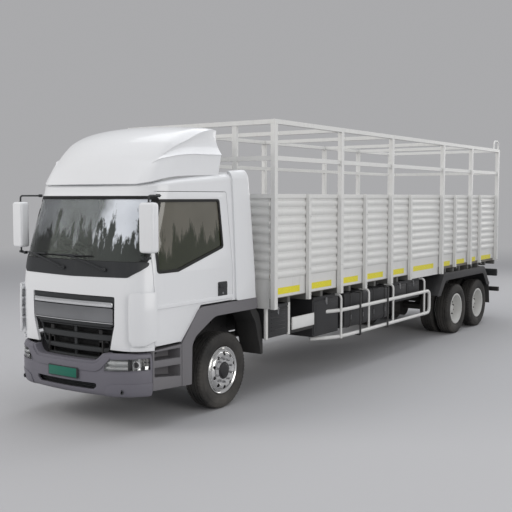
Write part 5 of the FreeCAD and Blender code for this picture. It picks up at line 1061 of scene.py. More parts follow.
def brick(name, low, high, material, radius=0.004, segments=2):
    """A block between two corners, with rounded edges."""
    low, high = [min(pair) for pair in zip(low, high)], [max(pair) for pair in zip(low, high)]
    return soften(build(name, *block(low, high), material), radius, segments)


def side_brick(side, name, x, y, z, material, radius=0.004, segments=2):
    """A brick on one side, its spans given outwards, from the front axle and upwards."""
    corners = [(side * x[end], axle + y[end], z[end]) for end in (0, 1)]
    return brick(name, *corners, material, radius, segments)


def about(middle, half):
    """A span round its middle."""
    return (middle - half, middle + half)


def turned(made, place, angle, axis="Z"):
    """Turns a piece about a place, by degrees."""
    place = Vector(place)
    turn = Matrix.Rotation(math.radians(angle), 4, axis)
    made.data.transform(Matrix.Translation(place) @ turn @ Matrix.Translation(-place))
    return made


mirror_glass = finish("mirror_glass", MIRROR_GLASS, 0.03, dust=0.05, streaks=0.01, bump=0.0,
    Metallic=1.0)
for side, name in SIDES:
    (x0, y0, z0), (x1, y1, z1) = MIRROR_LOW, MIRROR_HIGH
    outline = rounded(oblong(side * x0, z0, side * x1, z1), 0.045, 5)
    housing = soften(prism("housing", outline, "Y", axle + y0, axle + y1, cab_paint), MIRROR_ROUND, 5,
        40, 50)
    holed(housing, rounded(grown_outline(outline, -0.016), 0.02, 2), "Y", axle + y1 - 0.02,
        axle + y1 + 0.1)
    soften(housing, 0.002, 1, 50, 40)
    parting = z0 + (z1 - z0) * (1 - MIRROR_SHARE) * 0.8
    frame_back = brick("frame", (side * (x0 + 0.014), axle + y1 - 0.021, z0 + 0.014),
        (side * (x1 - 0.014), axle + y1 - 0.01, z1 - 0.014), dark_plastic, 0.003)
    glasses = [brick("glass", (side * (x0 + 0.024), axle + y1 - 0.012, low),
        (side * (x1 - 0.024), axle + y1 - 0.006, high), mirror_glass, 0.002) for low,
        high in ((z0 + 0.026, parting - 0.008), (parting + 0.008, z1 - 0.026))]
    arm_x, arm_y = side * (x0 + x1) / 2, axle + (y0 + y1) / 2
    head = [turned(piece, (arm_x, arm_y, 0), side * MIRROR_TURN) for piece in [housing,
        frame_back] + glasses]
    for height, inside, root in ((ARM_TOP, z1 - 0.02, -1.15), (ARM_FOOT, z0 + 0.02, -1.4)):
        held, lower = axle + root, min(inside, height)
        route = [(arm_x, arm_y, inside), (arm_x, arm_y, height),
            (side * (ARM_ROOT + 0.03), held, height), (side * (ARM_ROOT - 0.02), held, height)]
        head += [tube("arm", route, ARM_RADIUS, dark_plastic, 0.035),
            brick("foot", (side * (ARM_ROOT - 0.03), held - 0.024, height - 0.018),
            (side * (ARM_ROOT + 0.004), held + 0.024, height + 0.018), dark_plastic, 0.008, 3),
            brick("clamp", (arm_x - 0.018, arm_y - 0.022, lower - 0.004),
            (arm_x + 0.018, arm_y + 0.022, lower + 0.024), dark_plastic, 0.007, 3)]
    keep(merge("mirror_" + name, head), "cab", "white_paint")
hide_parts("mirrors")

# The wipers and the door handles
# Steel arms sprung against the screen, each with a rubber blade in a pressed carrier.
# The handles are black mouldings, set flush in a cup in each door.
WIPERS = ((0.52, -0.04), (-0.12, -0.68))
WIPER_PIVOT, WIPER_TOP, BLADE_REACH = 1.815, 1.955, 0.36
HANDLE = (-0.156, 0.026, 1.4, 1.59)


def cab_front(x, z):
    """Where the cab's skin stands in front, along the truck."""
    for lower, upper in zip(CAB_PROFILE, CAB_PROFILE[1:]):
        if lower[0] <= z <= upper[0]:
            break
    share = (z - lower[0]) / (upper[0] - lower[0])
    _, back, taper, corner = [a + (b - a) * share for a, b in zip(lower, upper)]
    shoulder = CAB_HALF - taper - corner
    flat = min(abs(x), shoulder)
    y = axle - CAB_FRONT + back + FRONT_BOW - math.sqrt(FRONT_BOW ** 2 - flat ** 2)
    past = min(max(0.0, abs(x) - shoulder), corner)
    return y + corner - math.sqrt(corner ** 2 - past ** 2)


def on_front(x, z, proud):
    """A point just off the cab's front."""
    return (x, cab_front(x, z) - proud, z)


wipers = []
for pivot, top in WIPERS:
    route = [on_front(pivot, WIPER_PIVOT, -0.01), on_front(pivot, WIPER_PIVOT, 0.035),
        on_front((pivot * 2 + top) / 3, WIPER_PIVOT + 0.06, 0.042), on_front(top, WIPER_TOP, 0.022)]
    wipers.append(tube("arm", route, 0.011, dark_plastic, 0.03, 8))
    wipers.append(brick("cap", on_front(pivot - 0.03, WIPER_PIVOT - 0.02, 0.0),
        (pivot + 0.03, cab_front(pivot, WIPER_PIVOT) - 0.03, WIPER_PIVOT + 0.02), dark_plastic, 0.009,
        3))
    line = [on_front(top + t * BLADE_REACH, WIPER_TOP, 0.006) for t in (-1, -0.6, -0.2, 0.2, 0.6, 1)]
    wipers.append(tube("blade", line, 0.008, rubber_seal, 0.02, 6, 2))
    wipers.append(tube("carrier", [(x, y - 0.009, z + 0.002) for x, y, z in line[1:-1]], 0.01,
        dark_plastic, 0.02, 6, 2))
keep(merge("wipers", wipers), "cab", "dark_plastic")
for side, name in SIDES:
    y0, y1, z0, z1 = HANDLE
    y0, y1 = axle + y0, axle + y1
    cup = soften(prism("cup", rounded(oblong(y0, z0, y1, z1), 0.02), "X", side * (CAB_HALF - 0.01),
        side * (CAB_HALF + 0.0085), dark_plastic), 0.004, 2)
    pull = brick("pull", (side * (CAB_HALF + 0.006), y0 + 0.02, z1 - 0.075),
        (side * (CAB_HALF + 0.024), y1 - 0.016, z1 - 0.03), dark_plastic, 0.007, 3)
    lock = outwards(build("lock", *lathe(((0, 0.001), (0, 0.014), (0.006, 0.013), (0.006, 0.001)),
        Vector((side * (CAB_HALF + 0.0085), (y0 + y1) / 2, z0 + 0.05)), side, 20), nut_steel, 30))
    keep(merge("door_handle_" + name, [cup, pull, lock]), "cab_door_" + name, "dark_plastic")

# The bumper and its blank plate
# One grey moulding round the front, screwed to steel arms on the rails. It is notched in
# the middle for the grille, recessed at the corners for the lamps and slotted low down.
BUMPER_COLOUR = (0.15, 0.145, 0.17, 1)
PLATE_COLOUR = (0.004, 0.13, 0.085, 1)
BUMPER_HALF, BUMPER_FRONT, BUMPER_REAR = 1.06, 1.7, 1.326
BUMPER_ROUND, BUMPER_BOW, BUMPER_WALL = 0.52, 3.4, 0.03
# The bumper's face from its foot, as (height, setback).
BUMPER_PROFILE = ((0.4, 0.058), (0.41, 0.036), (0.432, 0.02), (0.47, 0.012), (0.512, 0.008),
    (0.56, 0.002), (0.64, 0.0), (0.79, 0.002), (0.85, 0.008), (0.878, 0.018), (0.89, 0.04))
MOUTH = [(-0.63, 1.0), (-0.59, 0.87), (-0.48, 0.765), (0.48, 0.765), (0.59, 0.87), (0.63, 1.0)]
SLOT = [(-0.48, 0.505), (-0.43, 0.47), (0.43, 0.47), (0.48, 0.505), (0.48, 0.545), (-0.48, 0.545)]
LAMP = [(0.59, 0.695), (1.3, 0.715), (1.3, 0.845), (0.625, 0.828)]
LAMP_REAR = 1.35
CORNER_PANEL = [(0.57, 0.38), (1.3, 0.38), (1.3, 0.56), (0.7, 0.552), (0.625, 0.52)]
PLATE = (0.225, 0.585, 0.69)
COVER_PLACE = (0.8, 0.468)


def bumper_rings(grow):
    """The bumper's outlines at rising heights, grown by a distance."""
    return [[(x, y, z) for x, y in plan(BUMPER_HALF + grow - back * 0.4,
        axle - BUMPER_FRONT + back - grow, axle - 1.0, BUMPER_ROUND + grow, 0.05,
        BUMPER_BOW + grow)] for z, back in BUMPER_PROFILE]


def bumper_layer(name, proud, gauge, material, outlines, rear=BUMPER_REAR):
    """A layer of the bumper's skin, kept where the outlines lie as seen from the front."""
    layer = shell(name, bumper_rings(proud), bumper_rings(proud - gauge), material, False)
    regions = [prism("reach", outline, "Y", axle - 2.0, axle - rear) for outline in outlines]
    reach = merge("reach", regions) if len(regions) > 1 else regions[0]
    return cut(layer, [reach], "INTERSECT")


def mirrored(outline):
    """An outline and its twin across the middle."""
    return [list(outline), [(-x, z) for x, z in reversed(outline)]]


def bumper_face(x, z, proud):
    """A point just off the bumper's face."""
    for (low, back), (high, next_back) in zip(BUMPER_PROFILE, BUMPER_PROFILE[1:]):
        if low <= z <= high:
            break
    back += (next_back - back) * (z - low) / (high - low)
    shoulder = BUMPER_HALF - BUMPER_ROUND
    flat = min(abs(x), shoulder)
    y = axle - BUMPER_FRONT + back + BUMPER_BOW - math.sqrt(BUMPER_BOW ** 2 - flat ** 2)
    past = min(max(0.0, abs(x) - shoulder), BUMPER_ROUND)
    return (x, y + BUMPER_ROUND - math.sqrt(BUMPER_ROUND ** 2 - past ** 2) - proud, z)


def mouth_cut(made, distance, top):
    """Cuts the grille's mouth, grown by a distance, and what stands above the top."""
    span = ("Y", axle - 2.1, axle - 1.2)
    cut(made, [prism("mouth", rounded(grown_outline(MOUTH, distance), 0.14, 10), *span),
        prism("above", oblong(-1, top, 1, 1.1), *span)])


def spun(name, profile, material, place, turn, axis="Z", steps=24, smooth_angle=35):
    """A profile turned about X, swung round an axis by degrees and set in its place."""
    made = outwards(build(name, *lathe(profile, Vector((0, 0, 0)), 1, steps), material, smooth_angle))
    turned(made, (0, 0, 0), turn, axis)
    made.data.transform(Matrix.Translation(place))
    return made


bumper_paint = finish("bumper_plastic", BUMPER_COLOUR, 0.46, dust=0.14, dust_top=0.9, streaks=0.02,
    bump=0.1, grain=700.0)
bumper_skin = bumper_layer("bumper_skin", 0.0, BUMPER_WALL, bumper_paint, [oblong(-1.3, 0.3, 1.3, 1.0)])
holes = [prism("mouth", rounded(MOUTH, 0.14, 10), "Y", axle - 2.0, axle - 1.4),
    prism("slot", rounded(SLOT, 0.02), "Y", axle - 2.0, axle - 1.4)]
holes += [prism("lamp", rounded(outline, 0.016), "Y", axle - 2.0,
    axle - LAMP_REAR) for outline in mirrored(LAMP)]
soften(cut(bumper_skin, holes), 0.006, 3, 35, 45)
lip = bumper_layer("mouth_lip", -0.006, 0.1, bumper_paint,
    [rounded(grown_outline(MOUTH, 0.014), 0.14, 10)], 1.3)
mouth_cut(lip, -0.03, 0.885)
soften(lip, 0.022, 4, 40, 50)
rim = bumper_layer("mouth_rim", 0.01, 0.022, bumper_paint,
    [rounded(grown_outline(MOUTH, 0.085), 0.18, 10)])
mouth_cut(rim, 0.004, 0.85)
soften(rim, 0.008, 3, 40, 50)
panels = bumper_layer("corner_panels", 0.008, 0.02, bumper_paint,
    [rounded(outline, 0.05) for outline in mirrored(CORNER_PANEL)])
soften(panels, 0.006, 3, 40, 50)
lamp_rims = bumper_layer("lamp_rims", 0.004, 0.05, bumper_paint,
    [rounded(grown_outline(outline, 0.01), 0.02) for outline in mirrored(LAMP)])
cut(lamp_rims, [prism("hole", rounded(outline, 0.016), "Y", axle - 2.0,
    axle - LAMP_REAR) for outline in mirrored(LAMP)])
soften(lamp_rims, 0.003, 2, 40, 50)
arms = []
for side in (1, -1):
    for front, rear, top in ((-1.6, -1.42, 0.72), (-1.5, -1.425, 0.98)):
        arms.append(side_brick(side, "arm", (0.365, 0.43), (front, rear), (0.56, top), chassis_paint,
            0.006))
arms += [side_brick(1, "beam", (-0.62, 0.62), (-1.6, -1.545), (0.59, 0.7), chassis_paint, 0.008),
    side_brick(1, "slot_back", (-0.6, 0.6), (-1.59, -1.575), (0.43, 0.585), dark_plastic)]
arms += [side_brick(1, "slot_bar", (-0.5, 0.5), (-1.612, -1.58), (z, z + 0.008), dark_plastic,
    0.002) for z in (0.487, 0.507, 0.527)]
keep(merge("bumper_shell", [bumper_skin, lip, rim, panels, lamp_rims] + arms), "root", "grey_plastic",
    "bumper")

plate_paint = finish("plate_green", PLATE_COLOUR, 0.35, dust=0.1, dust_top=0.9, bump=0.03, grain=120.0)
half, low, high = PLATE
lean = axle - BUMPER_FRONT - 0.017
plate = brick("plate", (-half, lean - 0.003, low), (half, lean, high), plate_paint, 0.0012)
holder = brick("holder", (-half - 0.012, lean, low - 0.008), (half + 0.012, lean + 0.022, high + 0.008),
    dark_plastic, 0.003)
covers = [spun("cover", ((0, 0.002), (0, 0.024), (0.006, 0.026), (0.006, 0.0)), dark_plastic,
    bumper_face(side * COVER_PLACE[0], COVER_PLACE[1], 0.008), -90) for side in (1, -1)]
keep(merge("number_plate", [plate, holder] + covers), "root", "grey_plastic")

# The headlamps
# Clear lenses wrapped round the corners over bright reflectors: two ribbed bars, a round
# projector behind its ring, and a flasher at the corner. Clipped into the bumper.
LAMP_DEPTH, LENS_GAUGE = 0.06, 0.004
REFLECTOR_COLOUR = (0.86, 0.87, 0.88, 1)
LENS_TINT = (0.95, 0.96, 0.95, 1)
PROJECTOR_PLACE, PROJECTOR_TURN = (0.908, 0.768), 22.8
PROJECTOR_RING = ((0.0, 0.04), (0.014, 0.046), (0.03, 0.042), (0.03, 0.034), (0.006, 0.03))
PROJECTOR_EYE = ((0.0, 0.03), (0.012, 0.03), (0.024, 0.024), (0.032, 0.012), (0.034, 0.001),
    (0.0, 0.001))
BARS, BAR_END = ((0.625, 0.735), (0.64, 0.79)), 0.845
DIVIDERS = (0.857, 0.963)

reflector = finish("lamp_reflector", REFLECTOR_COLOUR, 0.22, dust=0.0, streaks=0.0, bump=0.05,
    grain=60.0, Metallic=0.55)
lens_clear = glass_material("lamp_lens", LENS_TINT, 0.02)
inner_lamp = [grown_outline(outline, -0.004) for outline in mirrored(LAMP)]
bowl = bumper_layer("lamp_bowl", -LAMP_DEPTH, 0.006, reflector, inner_lamp, LAMP_REAR)
floors = bumper_layer("lamp_walls", -0.012, LAMP_DEPTH - 0.008, reflector, inner_lamp, LAMP_REAR)
cut(floors, [prism("hole", grown_outline(outline, -0.006), "Y", axle - 2.0,
    axle - LAMP_REAR + 0.01) for outline in mirrored(LAMP)])
pieces = [bowl, floors]
for side in (1, -1):
    for x in DIVIDERS:
        front = bumper_face(side * x, 0.77, -0.014)[1]
        pieces.append(brick("divider", (side * x - 0.005, front, 0.7),
            (side * x + 0.005, front + 0.06, 0.842), dark_plastic, 0.001))
    for start, height in BARS:
        line = [bumper_face(side * (start + (BAR_END - start) * k / 5), height,
            -0.03) for k in range(6)]
        pieces.append(tube("reflector_bar", line, 0.021, reflector, 0.01, 12, 2))
        front = [(x, y - 0.014, z) for x, y, z in line]
        pieces.append(tube("bar_lens", front, 0.009, reflector, 0.01, 8, 2))
    place = bumper_face(side * PROJECTOR_PLACE[0], PROJECTOR_PLACE[1], -0.05)
    for profile, material in ((PROJECTOR_RING, reflector), (PROJECTOR_EYE, dark_plastic)):
        pieces.append(spun("projector", profile, material, place, -90 + side * PROJECTOR_TURN,
            steps=36))
keep(merge("headlamp_units", pieces), "root", "lamp_lens", "headlamps")
flashers = bumper_layer("flashers", -0.02, 0.01, reflector,
    mirrored([(0.969, 0.715), (1.3, 0.72), (1.3, 0.755), (0.969, 0.75)]), LAMP_REAR + 0.004)
keep(flashers, "root", "lamp_lens")
covers = bumper_layer("lamp_covers", -0.001, LENS_GAUGE, lens_clear,
    [rounded(outline, 0.014) for outline in inner_lamp], LAMP_REAR)
keep(soften(covers, 0.001, 1, 40, 50), "root", "lamp_lens")

# The grille bar in the cab's front
# A pressed bar in brushed aluminium under a rounded bright lip, clipped into a dark frame.
BAR_COLOUR = (0.33, 0.335, 0.345, 1)
BRIGHT = (0.8, 0.81, 0.82, 1)
BAR_SPAN = 0.64
SURROUND = [(-0.58, 1.165), (0.58, 1.165), (0.656, 1.2), (0.664, 1.508), (-0.664, 1.508), (-0.656, 1.2)]


def brushed_material(name, colour, rough):
    """Metal brushed along its length, with a faint change from place to place."""
    material, tree = empty_material(name)
    lines = pattern(tree, "TexNoise", (2.0, 2.0, 900.0), Scale=1.0, Detail=3.0)
    cloud = pattern(tree, "TexNoise", Scale=3.0, Detail=4.0)
    spread = add(tree, "MapRange", To_Min=rough - 0.08, To_Max=rough + 0.14)
    shade = add(tree, "MapRange", To_Min=0.8, To_Max=1.12)
    tint = add(tree, "VectorMath", operation="SCALE")
    tint.inputs[0].default_value = colour[:3]
    bump = add(tree, "Bump", Strength=0.08, Distance=0.0004)
    shader = add(tree, "BsdfPrincipled", Metallic=1.0)
    join(tree, (lines, "Fac", spread, "Value"), (cloud, "Fac", shade, "Value"),
        (shade, 0, tint, "Scale"), (tint, 0, shader, "Base Color"), (spread, 0, shader, "Roughness"),
        (lines, "Fac", bump, "Height"), (bump, 0, shader, "Normal"),
        (shader, 0, add(tree, "OutputMaterial"), 0))
    return material


brushed = brushed_material("brushed_aluminium", BAR_COLOUR, 0.36)
bright = brushed_material("bright_aluminium", BRIGHT, 0.2)
# Each layer of the bar, as (name, how proud, gauge, foot, top, edge radius, metal).
BAR_LAYERS = (("bar_lip", 0.014, 0.03, 1.392, 1.452, 0.015, bright),
    ("bar_face", 0.006, 0.02, 1.222, 1.384, 0.004, brushed),
    ("bar_edge", 0.008, 0.02, 1.208, 1.218, 0.002, bright))
bars = [soften(front_layer("bar_frame", -0.016, 0.024, dark_plastic, rounded(SURROUND, 0.01, 3),
    GRILLE_DEPTH), 0.003, 1)]
for name, proud, gauge, low, high, radius, metal in BAR_LAYERS:
    outline = rounded(oblong(-BAR_SPAN, low, BAR_SPAN, high), min(0.02, (high - low) / 3), 3)
    layer = front_layer(name, proud, gauge, metal, outline, GRILLE_DEPTH)
    bars.append(soften(layer, radius, 4 if radius > 0.01 else 2, 40, 50))
keep(merge("grille_bar", bars), "cab", "bright_bar", "grille_bar")

# The lower grille
# Two bowed slats over a woven wire mesh, in a dark frame that stands on the bumper's arms.
GRILLE_TOP, GRILLE_FOOT, GRILLE_FRONT, GRILLE_BACK = 1.165, 0.78, 1.535, 1.47
GRILLE_SIDES = ((0.78, 0.445), (0.86, 0.5), (0.93, 0.545), (1.165, 0.61))
SLATS = ((1.0, 1.068), (0.862, 0.918))
MESH_PITCH, MESH_WIRE, MESH_SIZE = 0.0125, 0.0016, (1.26, 0.42)


def grille_half(z):
    """Half the grille's width at a height."""
    for (low, half), (high, next_half) in zip(GRILLE_SIDES, GRILLE_SIDES[1:]):
        if z <= high:
            break
    return half + (next_half - half) * (z - low) / (high - low)


def bowed_strip(name, low, high, front, back, sink, radius, material):
    """A bar across the front, bowed with the cab and dished at its ends by the sink."""
    points, faces, steps = [], [], 28
    for i in range(steps + 1):
        for z, y in ((low, front + 0.01), (high, front), (high, back), (low, back)):
            x = grille_half(z) * (2 * i / steps - 1)
            dip = sink * (abs(2 * i / steps - 1)) ** 4
            points.append((x, axle - y + x * x / (2 * FRONT_BOW) + dip, z))
    for i in range(steps):
        faces += [(4 * i + k, 4 * i + (k + 1) % 4, 4 * i + 4 + (k + 1) % 4,
            4 * i + 4 + k) for k in range(4)]
    faces += [(0, 1, 2, 3), tuple(4 * steps + k for k in (3, 2, 1, 0))]
    return soften(outwards(build(name, points, faces, material)), radius, 3, 40, 50)


def mesh_tree():
    """A grid bowed to the grille's front and turned into woven wires, cut to its outline."""
    tree, _, out = new_tree("wire_mesh")
    wide, tall = MESH_SIZE
    sheet = add(tree, "GeometryNodeMeshGrid", Size_X=wide, Size_Y=tall,
        Vertices_X=int(wide / MESH_PITCH), Vertices_Y=int(tall / MESH_PITCH))
    place = add(tree, "GeometryNodeInputPosition")
    apart = add(tree, "SeparateXYZ")
    joined = add(tree, "CombineXYZ")
    moved = add(tree, "GeometryNodeSetPosition")
    wires = add(tree, "GeometryNodeMeshToCurve")
    circle = add(tree, "GeometryNodeCurvePrimitiveCircle", Resolution=4, Radius=MESH_WIRE)
    round_off = add(tree, "GeometryNodeCurveToMesh")
    trim = add(tree, "GeometryNodeDeleteGeometry", domain="POINT")
    paint = add(tree, "GeometryNodeSetMaterial", Material=black_wire_and_painted_shade)
    join(tree, (sheet, "Mesh", trim, "Geometry"), (place, 0, apart, 0))
    bow = maths(tree, "DIVIDE", maths(tree, "POWER", apart.outputs["X"], 2.0), 2 * FRONT_BOW)
    depth = maths(tree, "ADD", bow, axle - GRILLE_BACK - 0.012)
    height = maths(tree, "ADD", apart.outputs["Y"], (GRILLE_TOP + GRILLE_FOOT) / 2)
    slope = (GRILLE_SIDES[2][1] - GRILLE_SIDES[0][1]) / (GRILLE_SIDES[2][0] - GRILLE_SIDES[0][0])
    limit = maths(tree, "ADD", maths(tree, "MULTIPLY", maths(tree, "SUBTRACT", height, GRILLE_FOOT),
        slope), GRILLE_SIDES[0][1] - 0.006)
    limit = maths(tree, "MINIMUM", limit, GRILLE_SIDES[3][1] - 0.03)
    beyond = maths(tree, "GREATER_THAN", maths(tree, "ABSOLUTE", apart.outputs["X"]), limit)
    tree.links.new(beyond, trim.inputs["Selection"])
    join(tree, (apart, "X", joined, "X"))
    tree.links.new(depth, joined.inputs["Y"])
    tree.links.new(height, joined.inputs["Z"])
    join(tree, (trim, 0, moved, "Geometry"), (joined, 0, moved, "Position"), (moved, 0, wires, "Mesh"),
        (wires, 0, round_off, "Curve"), (circle, "Curve", round_off, "Profile Curve"),
        (round_off, 0, paint, "Geometry"), (paint, 0, out, 0))
    return tree


black_wire_and_painted_shade = finish("black_wire_and_painted_shade", RUBBER_COLOUR, 0.5, dust=0.05, bump=0.0)
frame_parts = [bowed_strip("slat", low, high, GRILLE_FRONT, GRILLE_BACK, 0.03, 0.012,
    dark_plastic) for low, high in SLATS]
frame_parts += [bowed_strip("end", low, high, GRILLE_FRONT - 0.01, GRILLE_BACK - 0.02, 0.0, 0.006,
    dark_plastic) for low, high in ((GRILLE_TOP - 0.03, GRILLE_TOP),
    (GRILLE_FOOT, GRILLE_FOOT + 0.026))]
# The black sheet just behind the mesh is painted shade, standing for the dark depth behind the grille.
frame_parts.append(bowed_strip("back", GRILLE_FOOT, GRILLE_TOP, GRILLE_BACK - 0.032, GRILLE_BACK - 0.04,
    0.0, 0.001, black_wire_and_painted_shade))
for side in (1, -1):
    for (low, half), (high, next_half) in zip(GRILLE_SIDES, GRILLE_SIDES[1:]):
        outline = [(side * half, low), (side * next_half, high), (side * (next_half - 0.022), high),
            (side * (half - 0.022), low)]
        y = axle - GRILLE_FRONT + half * half / (2 * FRONT_BOW)
        frame_parts.append(soften(prism("side", outline, "Y", y + 0.022, y + 0.095, dark_plastic),
            0.004, 2))
    frame_parts.append(side_brick(side, "bracket", (0.37, 0.425), (-1.5, -1.43), (0.72, 1.12),
        chassis_paint))
frame_parts.append(side_brick(1, "spine", (-0.022, 0.022), (-1.505, -1.47), (GRILLE_FOOT, GRILLE_TOP),
    dark_plastic, 0.005))
keep(merge("lower_grille", frame_parts + [grown("wire_mesh", mesh_tree())]), "root", "dark_plastic",
    "lower_grille")

# The steps and front arches
# One grey moulding a side, screwed to brackets on the rails: two deep steps with ribbed
# tread plates, and the arch over the front wheel. A dark flap hangs behind the wheel.
ARCH_SKIN, ARCH_WIDTH = 1.062, 0.33
PANEL = from_axle((-1.32, 0.462), (-0.861, 0.44), (-0.861, 0.93), (-1.32, 0.912))
STEP_HOLES = (((-1.296, 0.795), (-0.885, 0.78), (-0.885, 0.892), (-1.296, 0.896)),
    ((-1.296, 0.61), (-0.885, 0.565), (-0.885, 0.7), (-1.296, 0.718)))
STEP_DEPTH, STEP_REAR, STEP_LENGTH = 0.19, 0.861, 0.459
ARCH_OUTER = ((-0.861, 0.44), (-0.861, 0.93), (-0.524, 1.322), (0.66, 1.326), (0.668, 1.19))
ARCH_INNER = ((0.61, 1.184), (-0.235, 1.184), (-0.615, 0.985), (-0.675, 0.89), (-0.69, 0.43))
REAR_LEG = from_axle((0.5, 1.186), (0.64, 1.186), (0.715, 1.1), (0.775, 0.93), (0.8, 0.75),
    (0.804, 0.562), (0.755, 0.559), (0.735, 0.66), (0.7, 0.777), (0.63, 1.006), (0.56, 1.1))
STEP_TAPER, TREAD_BARS, RAIL_OUT = 0.034, 16, 0.432
BRACKET_PLACES = ((-1.1, 0.86), (0.5, 1.235))
ARCH_CORNERS = [0, 0.02, 0.16, 0.03, 0.01, 0.02, 0.3, 0.26, 0.12, 0.02]


step_paint = finish("step_plastic", (0.165, 0.16, 0.17, 1), 0.5, dust=0.22, dust_top=1.1, streaks=0.03,
    bump=0.1, grain=700.0)
flap_rubber = finish("flap_rubber", (0.02, 0.02, 0.02, 1), 0.7, dust=0.35, dust_top=1.0, bump=0.12,
    grain=120.0)
arch_side = from_axle(*(ARCH_OUTER + ARCH_INNER))
for side, name in SIDES:
    skin, inside = side * ARCH_SKIN, side * (ARCH_SKIN - ARCH_WIDTH)
    panel = prism("panel", PANEL, "X", skin, skin - side * 0.235, step_paint)
    cut(panel, [prism("hole", rounded(from_axle(*hole), 0.012), "X", skin + side * 0.1,
        skin - side * STEP_DEPTH) for hole in STEP_HOLES])
    parts = [soften(panel, 0.007, 3, 35, 50)]
    for (start, front_top), (end, rear_top), _, _ in STEP_HOLES:
        front, rear = start + 0.012, end - 0.012
        drop = (front_top - rear_top) / (rear - front)
        for k in range(TREAD_BARS):
            y = front + (rear - front) * (k + 0.5) / TREAD_BARS
            z = front_top - drop * (y - front) + 0.002
            parts.append(side_brick(side, "tread", (ARCH_SKIN - 0.014, ARCH_SKIN - STEP_DEPTH + 0.01),
                about(y, 0.004), about(z, 0.004), step_paint, 0.001, 1))
    for part in parts:
        for vertex in part.data.vertices:
            vertex.co.x -= side * STEP_TAPER * (axle - STEP_REAR - vertex.co.y) / STEP_LENGTH
    arch = prism("arch", rounded(arch_side, ARCH_CORNERS, 8), "X", skin + side * 0.006, inside,
        step_paint)
    lining = prism("lining", rounded(arch_side, ARCH_CORNERS, 8), "X", inside + side * 0.01,
        skin - side * 0.05)
    lining.data.transform(Matrix.Translation((0, 0.0, 0.028)))
    parts.append(soften(cut(arch, [lining]), 0.012, 4, 35, 50))
    leg = prism("leg", rounded(REAR_LEG, 0.05, 4), "X", skin - side * 0.004, inside, flap_rubber)
    parts.append(soften(leg, 0.004, 2))
    for y, z in BRACKET_PLACES:
        for x, low in (((ARCH_SKIN - 0.2, RAIL_OUT), z - 0.03), ((RAIL_OUT, 0.46), 0.96)):
            parts.append(side_brick(side, "bracket", x, about(y, 0.03), (low, z + 0.03), chassis_paint,
                0.006))
    keep(merge("steps_and_arch_" + name, parts), "root", "grey_plastic")
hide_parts("steps_and_arches")

# Inside the cab
# Dark grey trim on all walls. Two cushioned seats stand on boxes, with a bunk behind. The
# dashboard's moulding is hooded over the dials on the right, where the wheel is.
FLOOR_TOP, SEAT_PLACE, SEAT_FRONT = 1.4, 0.56, -0.7
FABRIC_COLOUR = (0.045, 0.047, 0.055, 1)
DASH_COLOUR = (0.04, 0.041, 0.043, 1)
DASH = from_axle((-1.54, 1.6), (-1.2, 1.6), (-1.09, 1.7), (-1.17, 1.85), (-1.3, 1.885), (-1.45, 1.865),
    (-1.54, 1.84))
VENT_PLACES = (-0.66, -0.46, -0.1, 0.1, 0.7)
CUSHION_DEPTH, CUSHION_WIDE, BACK_TOP, BACK_LEAN = 0.5, 0.5, 2.37, 7
WHEEL_PLACE, WHEEL_RADIUS, WHEEL_GRIP, WHEEL_TILT = (-0.56, -0.935, 1.985), 0.225, 0.015, 35


def fabric_material(name, colour):
    """Woven cloth with a fine cross weave and worn patches."""
    material, tree = empty_material(name)
    weave, cross = (pattern(tree, "TexWave", Scale=180.0, Distortion=1.0,
        bands_direction=axis) for axis in "XZ")
    worn = pattern(tree, "TexNoise", Scale=7.0, Detail=4.0)
    shade = add(tree, "MapRange", To_Min=0.8, To_Max=1.35)
    tint = add(tree, "VectorMath", operation="SCALE")
    tint.inputs[0].default_value = colour[:3]
    bump = add(tree, "Bump", Strength=0.35, Distance=0.0008)
    shader = add(tree, "BsdfPrincipled", Roughness=0.92, Sheen_Weight=0.25)
    join(tree, (worn, "Fac", shade, "Value"), (shade, 0, tint, "Scale"),
        (tint, 0, shader, "Base Color"))
    tree.links.new(maths(tree, "ADD", weave.outputs["Fac"], cross.outputs["Fac"]),
        bump.inputs["Height"])
    join(tree, (bump, 0, shader, "Normal"), (shader, 0, add(tree, "OutputMaterial"), 0))
    return material


PUFF_MOST, SEAM_HALF, SEAM_DEPTH = 0.016, 0.007, 0.009


def puffed(pad):
    """Blows a pad up as cloth, with no point moved farther than the most."""
    start = [vertex.co.copy() for vertex in pad.data.vertices]
    cloth = pad.modifiers.new("cloth", "CLOTH")
    cloth.settings.use_pressure = True
    cloth.settings.uniform_pressure_force = 4
    cloth.settings.effector_weights.gravity = 0
    for frame_number in range(1, 21):
        bpy.context.scene.frame_set(frame_number)
    swollen = pad.evaluated_get(bpy.context.evaluated_depsgraph_get()).to_mesh()
    places = [vertex.co.copy() for vertex in swollen.vertices]
    pad.evaluated_get(bpy.context.evaluated_depsgraph_get()).to_mesh_clear()
    pad.modifiers.remove(cloth)
    bpy.context.scene.frame_set(1)
    for vertex, old, new in zip(pad.data.vertices, start, places):
        move = new - old
        vertex.co = old + move * min(1, PUFF_MOST / max(move.length, 1e-6))


